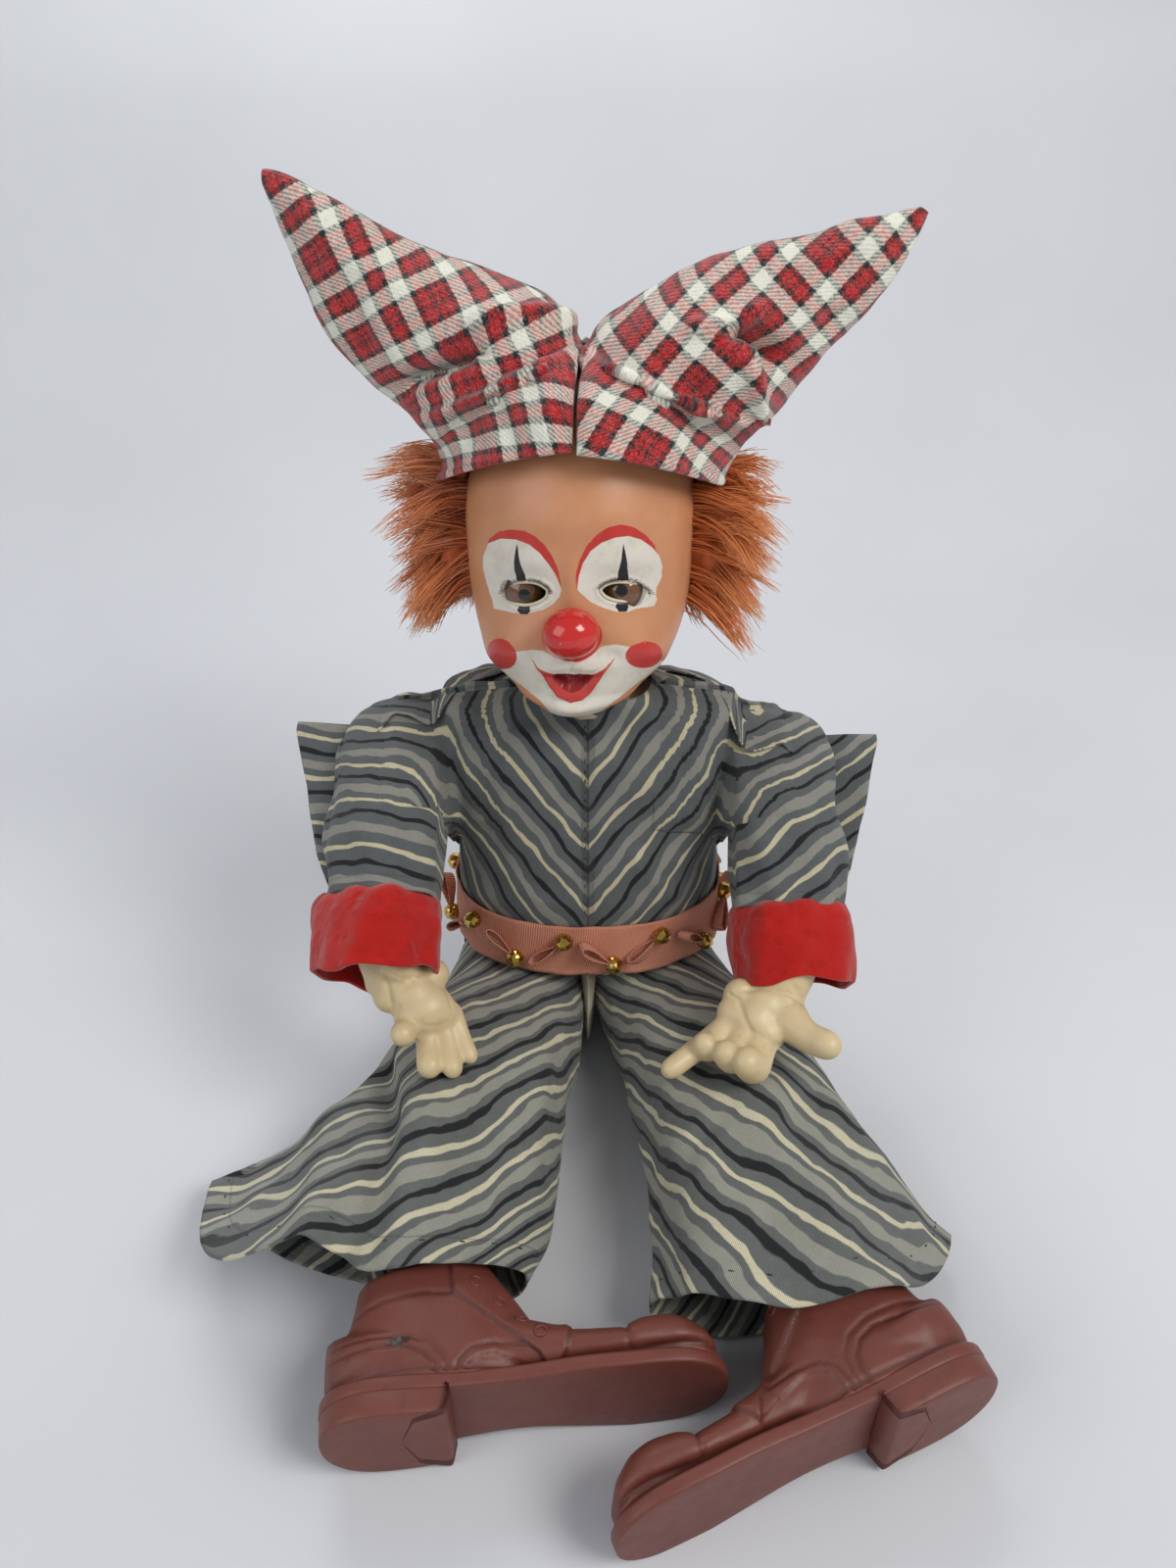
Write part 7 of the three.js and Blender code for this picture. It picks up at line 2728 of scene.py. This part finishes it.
def waist_frame(centre):
    """Along the belt and straight out of it, at a bead's place."""
    wide, deep, middle = blend_rows(TORSO, [BELT_Z])[0]
    x, y = centre[0] / wide, (centre[1] - middle) / deep
    out = unit([
        math.copysign(abs(x) ** (TORSO_POWER - 1), x) / wide,
        math.copysign(abs(y) ** (TORSO_POWER - 1), y) / deep,
        0.0,
    ])
    return np.array([-out[1], out[0], 0.0]), out


LOOP_LENGTH = 17.0
LOOP_WIDTH = 6.6
LOOP_HEIGHT = 6.0
LOOP_SLANT = math.radians(40)


def belt_trim(number):
    """One faceted bead, and the narrow ribbon loop that it holds down."""
    centre = np.mean([np.array(corner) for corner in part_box(f"bead_{number:02d}")], axis=0) / MM
    along, out = waist_frame(centre)
    raised = -1 if number % 2 else 1
    up = np.array([0.0, 0.0, 1.0])
    seed = number * 1.7
    bead_facets(f"bead_gold_{number:02d}", f"bead_{number:02d}", centre, seed)
    slant = math.pi + raised * LOOP_SLANT
    away = along * math.cos(slant) + up * math.sin(slant)
    across = -along * math.sin(slant) + up * math.cos(slant)
    tilt = math.radians(52 + 26 * math.sin(seed * 2.3))
    rise = out * math.cos(tilt) + across * math.sin(tilt)
    broad = across * math.cos(tilt) - out * math.sin(tilt)
    rows, cols = 9, 64
    turn = np.linspace(0.03 * math.pi, 1.97 * math.pi, cols)
    reach = LOOP_LENGTH / 2 * (1 - np.cos(turn))
    share = reach / LOOP_LENGTH
    tall = -np.sin(turn) * (0.25 + 0.75 * share) * LOOP_HEIGHT / 2
    half = 1.5 + (LOOP_WIDTH / 2 - 1.5) * smooth_step(0.0, 0.75, share)
    origin = centre - out * 3.2 + away * 1.6
    points = []
    for k in np.linspace(-1, 1, rows):
        sag = 0.35 * math.sin(seed + 2 * k) * share
        line = origin + np.outer(reach, away) + np.outer(tall + sag, rise) + np.outer(half * k, broad)
        points.append(line)
    points = np.concatenate(points)
    low = ((points - centre) @ out).min()
    points += out * max(-3.7 - low, 0)
    obj = piece(f"belt_loop_{number:02d}", points, sew_grid(rows, cols), RIBBON)
    run = run_of(points, rows, cols)
    level = np.repeat(np.linspace(-1, 1, rows), cols) * LOOP_WIDTH / 2
    store(obj, "weave", np.stack([run.ravel(), level, level], -1))
    store(obj, "seam", LOOP_WIDTH / 2 - np.abs(level))
    fix_normals(obj)
    thicken(obj, 0.5)
    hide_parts(f"loop_{number:02d}")
    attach(obj, "torso")
    return obj


def bead_facets(name, node, centre, seed):
    """A bead cut with flat faces in rings, drilled through from end to end."""
    along, out = waist_frame(centre)
    up = np.array([0.0, 0.0, 1.0])
    spin = rotation(out, seed)
    axis, side_way = spin @ up, spin @ along
    sides, radius = 9, 4.0
    tilts = np.radians([72, 50, 20, -20, -50, -72])
    points = []
    for k, tilt in enumerate(tilts):
        shift = 0.5 * (k % 2)
        for i in range(sides):
            angle = 2 * math.pi * (i + shift) / sides
            spoke = math.cos(angle) * out + math.sin(angle) * side_way
            points.append(centre + radius * (math.sin(tilt) * axis + math.cos(tilt) * spoke))
    faces = []
    for k in range(len(tilts) - 1):
        shift = 1 if k % 2 else 0
        for i in range(sides):
            a, b = k * sides + i, k * sides + (i + 1) % sides
            c, d = (k + 1) * sides + i, (k + 1) * sides + (i + 1) % sides
            if shift:
                faces += [(a, b, d), (a, d, c)]
            else:
                faces += [(a, b, c), (c, d, b)]
    hole_top, hole_low = centre + axis * radius * 0.72, centre - axis * radius * 0.72
    points += [hole_top, hole_low]
    first, last = len(points) - 2, len(points) - 1
    faces += [(first, (i + 1) % sides, i) for i in range(sides)]
    base = (len(tilts) - 1) * sides
    faces += [(last, base + i, base + (i + 1) % sides) for i in range(sides)]
    obj = piece(name, points, faces, GOLD, smooth=False)
    fix_normals(obj)
    bake(obj, ("BEVEL", {"width": 0.12 * MM, "segments": 1, "limit_method": "ANGLE"}))
    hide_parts(node)
    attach(obj, "torso")


# Hair, in the head's frame in mm. Fibres lie in locks that leave the scalp and fall away from it.
STRAND_SIDES = 3
STRAND_STEPS = 9


def strands(name, lines, thickness=0.3, seed=0):
    """Fibres as thin three-sided tubes, each with its own shade."""
    rng = np.random.default_rng(seed)
    points, faces, shades, tips = [], [], [], []
    for line in lines:
        count = len(line)
        ahead = unit_rows(np.gradient(line, axis=0))
        side_way = unit_rows(np.cross(ahead, [0.31, 0.57, 0.23]))
        rise = np.cross(side_way, ahead)
        base = len(points) * count * STRAND_SIDES
        run = np.linspace(0, 1, count)
        width = thickness * (1 - 0.75 * run**2)
        rings = []
        for s in range(STRAND_SIDES):
            angle = 2 * math.pi * s / STRAND_SIDES
            rings.append(line + (side_way * math.cos(angle) + rise * math.sin(angle)) * width[:, None])
        points.append(np.stack(rings, 1).reshape(-1, 3))
        own = float(np.clip(rng.normal(0.55, 0.24), 0, 1))
        shades.append(np.full(count * STRAND_SIDES, own))
        tips.append(np.repeat(0.6 * run**2, STRAND_SIDES))
        for k in range(count - 1):
            for s in range(STRAND_SIDES):
                n = (s + 1) % STRAND_SIDES
                a = base + k * STRAND_SIDES
                faces.append((a + s, a + n, a + STRAND_SIDES + n, a + STRAND_SIDES + s))
    obj = piece(name, head_to_world(np.concatenate(points)), faces, HAIR)
    store(obj, "shade", np.concatenate(shades))
    store(obj, "tip", np.concatenate(tips))
    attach(obj, "head")


def lock(root, toward, length, fall, rng, count):
    """Fibres side by side that wave together, drawn in at the tip."""
    run = np.linspace(0, 1, STRAND_STEPS)
    side_way = unit(np.cross(toward, rng.normal(0, 1, 3)))
    rise = np.cross(toward, side_way)
    phase, winds, sway = rng.uniform(0, 6.28), rng.uniform(0.6, 1.5), length * rng.uniform(0.03, 0.09)
    wave = np.outer(sway * np.sin(2 * math.pi * winds * run + phase) * run, side_way)
    path = root + np.outer(run * length, toward) + wave + np.outer(run**2, fall)
    lines = []
    for _ in range(count):
        spread = rng.normal(0, 1.9, 2)
        loose = 1 - 0.55 * run + rng.uniform(0, 0.35) * run
        own = rng.uniform(0.72, 1.12)
        offset = np.outer(loose * spread[0], side_way) + np.outer(loose * spread[1], rise)
        frizz = rng.normal(0, 0.75, 3)
        line = root + (path - root) * own + offset + np.outer(np.sin(run * math.pi * 1.5) * run, frizz)
        lines.append(line)
    return lines


def mat(name, middle, reach, node, seed):
    """The matted wool close to the scalp, below the loose fibres."""
    rows, cols = 30, 50
    turn = np.linspace(0, 2 * math.pi, cols, endpoint=False)
    ball = []
    for tilt in np.linspace(-1.54, 1.54, rows):
        x, y = np.cos(tilt) * np.cos(turn), np.cos(tilt) * np.sin(turn)
        ball.append(np.stack([x, y, np.full(cols, math.sin(tilt))], -1))
    ball = np.concatenate(ball)
    grown = np.array(middle) + ball * np.array(reach)
    grown += ball * (1.8 * fbm(grown, 7, 3, seed))[:, None]
    points, faces = capped(grown, grid_faces(rows, cols), cols, rows)
    obj = piece(name, head_to_world(points), faces, HAIR)
    fix_normals(obj)
    # Painted shade: the mat takes the dark end of the hair's colours, darker than the loose fibres over
    # it.
    store(obj, "shade", 0.22 + 0.15 * fbm(points, 4, 2, seed))
    store(obj, "tip", np.zeros(len(points)))
    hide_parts(node)
    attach(obj, "head")


TUFT_TOP = {"left": 27.0, "right": 30.0}


def side_hair(side):
    """The tuft over one ear."""
    sign = SIGN[side]
    rng = np.random.default_rng({"left": 5, "right": 9}[side])
    mat(f"hair_{side}_mat", (sign * 49, 10, -2), (10, 21, 22), f"wig_{side}", 3 + sign)
    lines = []
    locks, each = ((95, 30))
    for _ in range(locks):
        height = rng.uniform(-18, TUFT_TOP[side])
        depth = rng.uniform(-9, 28)
        root = np.array([sign * (45.0 - 0.012 * (depth - 5) ** 2), depth, height])
        down = (TUFT_TOP[side] - height) / 45
        rise = 0.42 - 0.8 * down + rng.normal(0, 0.2)
        toward = unit([sign * rng.uniform(0.85, 1.2), (depth - 9) / 34 + rng.normal(0, 0.2), rise])
        length = rng.uniform(24, 39) * (1 - 0.25 * down)
        fall = np.array([-sign * rng.uniform(0, 4), rng.normal(0, 3.0), -rng.uniform(5, 17)])
        lines += lock(root, toward, length, fall, rng, each)
    held = []
    for line in lines:
        line = line.copy()
        line[:, 0] = sign * np.minimum(line[:, 0] * sign, 84 + rng.uniform(-4, 2))
        line[:, 2] = np.maximum(line[:, 2], -38 + rng.uniform(-2, 4))
        held.append(line)
    strands(f"hair_{side}", held, seed=30 + sign)


def back_hair():
    """A fringe round the back of the head, under the hat."""
    rng = np.random.default_rng(21)
    mat("hair_back_mat", (0, 24, -6), (41, 26, 23), "wig_back", 44)
    lines = []
    locks, each = ((100, 26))
    for _ in range(locks):
        angle = math.radians(rng.uniform(12, 168))
        level = rng.uniform(-22, 18)
        out = np.array([math.cos(angle), math.sin(angle), 0.0])
        root = np.array([41 * out[0], 5 + 43 * out[1], level])
        toward = unit(out * rng.uniform(0.5, 0.9) + rng.normal(0, 0.2, 3) + np.array([0, 0, -0.6]))
        length = rng.uniform(11, 18)
        fall = np.array([0, 0, -rng.uniform(1, 5)])
        lines += lock(root, toward, length, fall, rng, each)
    strands("hair_back", lines, seed=51)


bodice()
centre_front()
trouser_seat()
torso_padding()
neck_cloth()
for side in ("left", "right"):
    sleeve(side)
    fin(side)
    cuff(side)
    arm_padding(side)
    leg_padding(side)
    trouser_leg(side)
    shoulder_cloth(side)


for side in ("left", "right"):
    hat_half(side)


face()
nose()
for index, side in enumerate(("right", "left")):
    eye_parts(index, side)
    ear(side)
    side_hair(side)
    hand(side)
    boot(side)
back_hair()
belt()
dress("neck_tie", TIE_CORD)
dress("eye_rocker", ROCKER)


def backdrop():
    """A pale floor that curves up behind the doll."""
    reach, back, bend, top, cols = 1500, 900, 420, 1800, 12
    across = np.linspace(-reach, reach, cols)
    rows = []
    for y in np.linspace(-reach, back, 40):
        rise = 0.0 if y < bend else bend * (1 - math.cos(min((y - bend) / bend, 1) * math.pi / 2))
        rows.append([(x, y, rise) for x in across])
    for z in np.linspace(480, top, 12):
        rows.append([(x, back, z) for x in across])
    points = np.array(rows).reshape(-1, 3)
    look = Look("floor_paper", Roughness=0.95)
    look.set("Specular IOR Level", 0.1)
    at = look.place()
    shade = look.mix(look.noise(at, 240, 3.0), colour("c9cbd0"), colour("d6d8dc"))
    look.set("Base Color", shade)
    look.raise_by(look.noise(at, 2.0, 2.0), 0.05)
    obj = piece("floor", points, grid_faces(len(rows), cols, closed=False), look.finish())


def lamp(name, at, aim, size, power, warmth=(1.0, 1.0, 1.0)):
    """A rectangular lamp aimed at a point, in metres."""
    data = bpy.data.lights.new(name, "AREA")
    data.shape = "RECTANGLE"
    data.size, data.size_y = size
    data.energy = power
    data.color = warmth
    obj = bpy.data.objects.new(name, data)
    bpy.context.collection.objects.link(obj)
    obj.location = at
    obj.rotation_euler = (Vector(aim) - Vector(at)).to_track_quat("-Z", "Y").to_euler()


backdrop()
lamp("key_lamp", (0.9, -0.7, 1.25), (0, -0.05, 0.12), (0.7, 0.7), 15.0, (1.0, 0.98, 0.95))
lamp("fill_lamp", (-1.1, -0.8, 0.9), (0, -0.05, 0.12), (1.0, 1.0), 6.0, (0.96, 0.98, 1.0))
lamp("back_lamp", (-0.2, 0.75, 1.2), (0, 0, 0.15), (0.9, 0.4), 6.0)
world = bpy.data.worlds.new("studio")
bpy.context.scene.world = world
world.use_nodes = True
world.node_tree.nodes["Background"].inputs["Color"].default_value = (0.95, 0.97, 1.0, 1)
world.node_tree.nodes["Background"].inputs["Strength"].default_value = 0.35

camera_data = bpy.data.cameras.new("camera")
camera_data.lens = 27.0
camera_data.sensor_width = 36.0
camera_data.sensor_fit = "AUTO"
camera_data.clip_start = 0.01
camera = bpy.data.objects.new("camera", camera_data)
bpy.context.collection.objects.link(camera)
camera.location = CAMERA_AT * MM
camera.rotation_euler = (math.pi / 2 - CAMERA_PITCH, 0, 0)
bpy.context.scene.camera = camera
bpy.context.scene.view_settings.view_transform = "Standard"
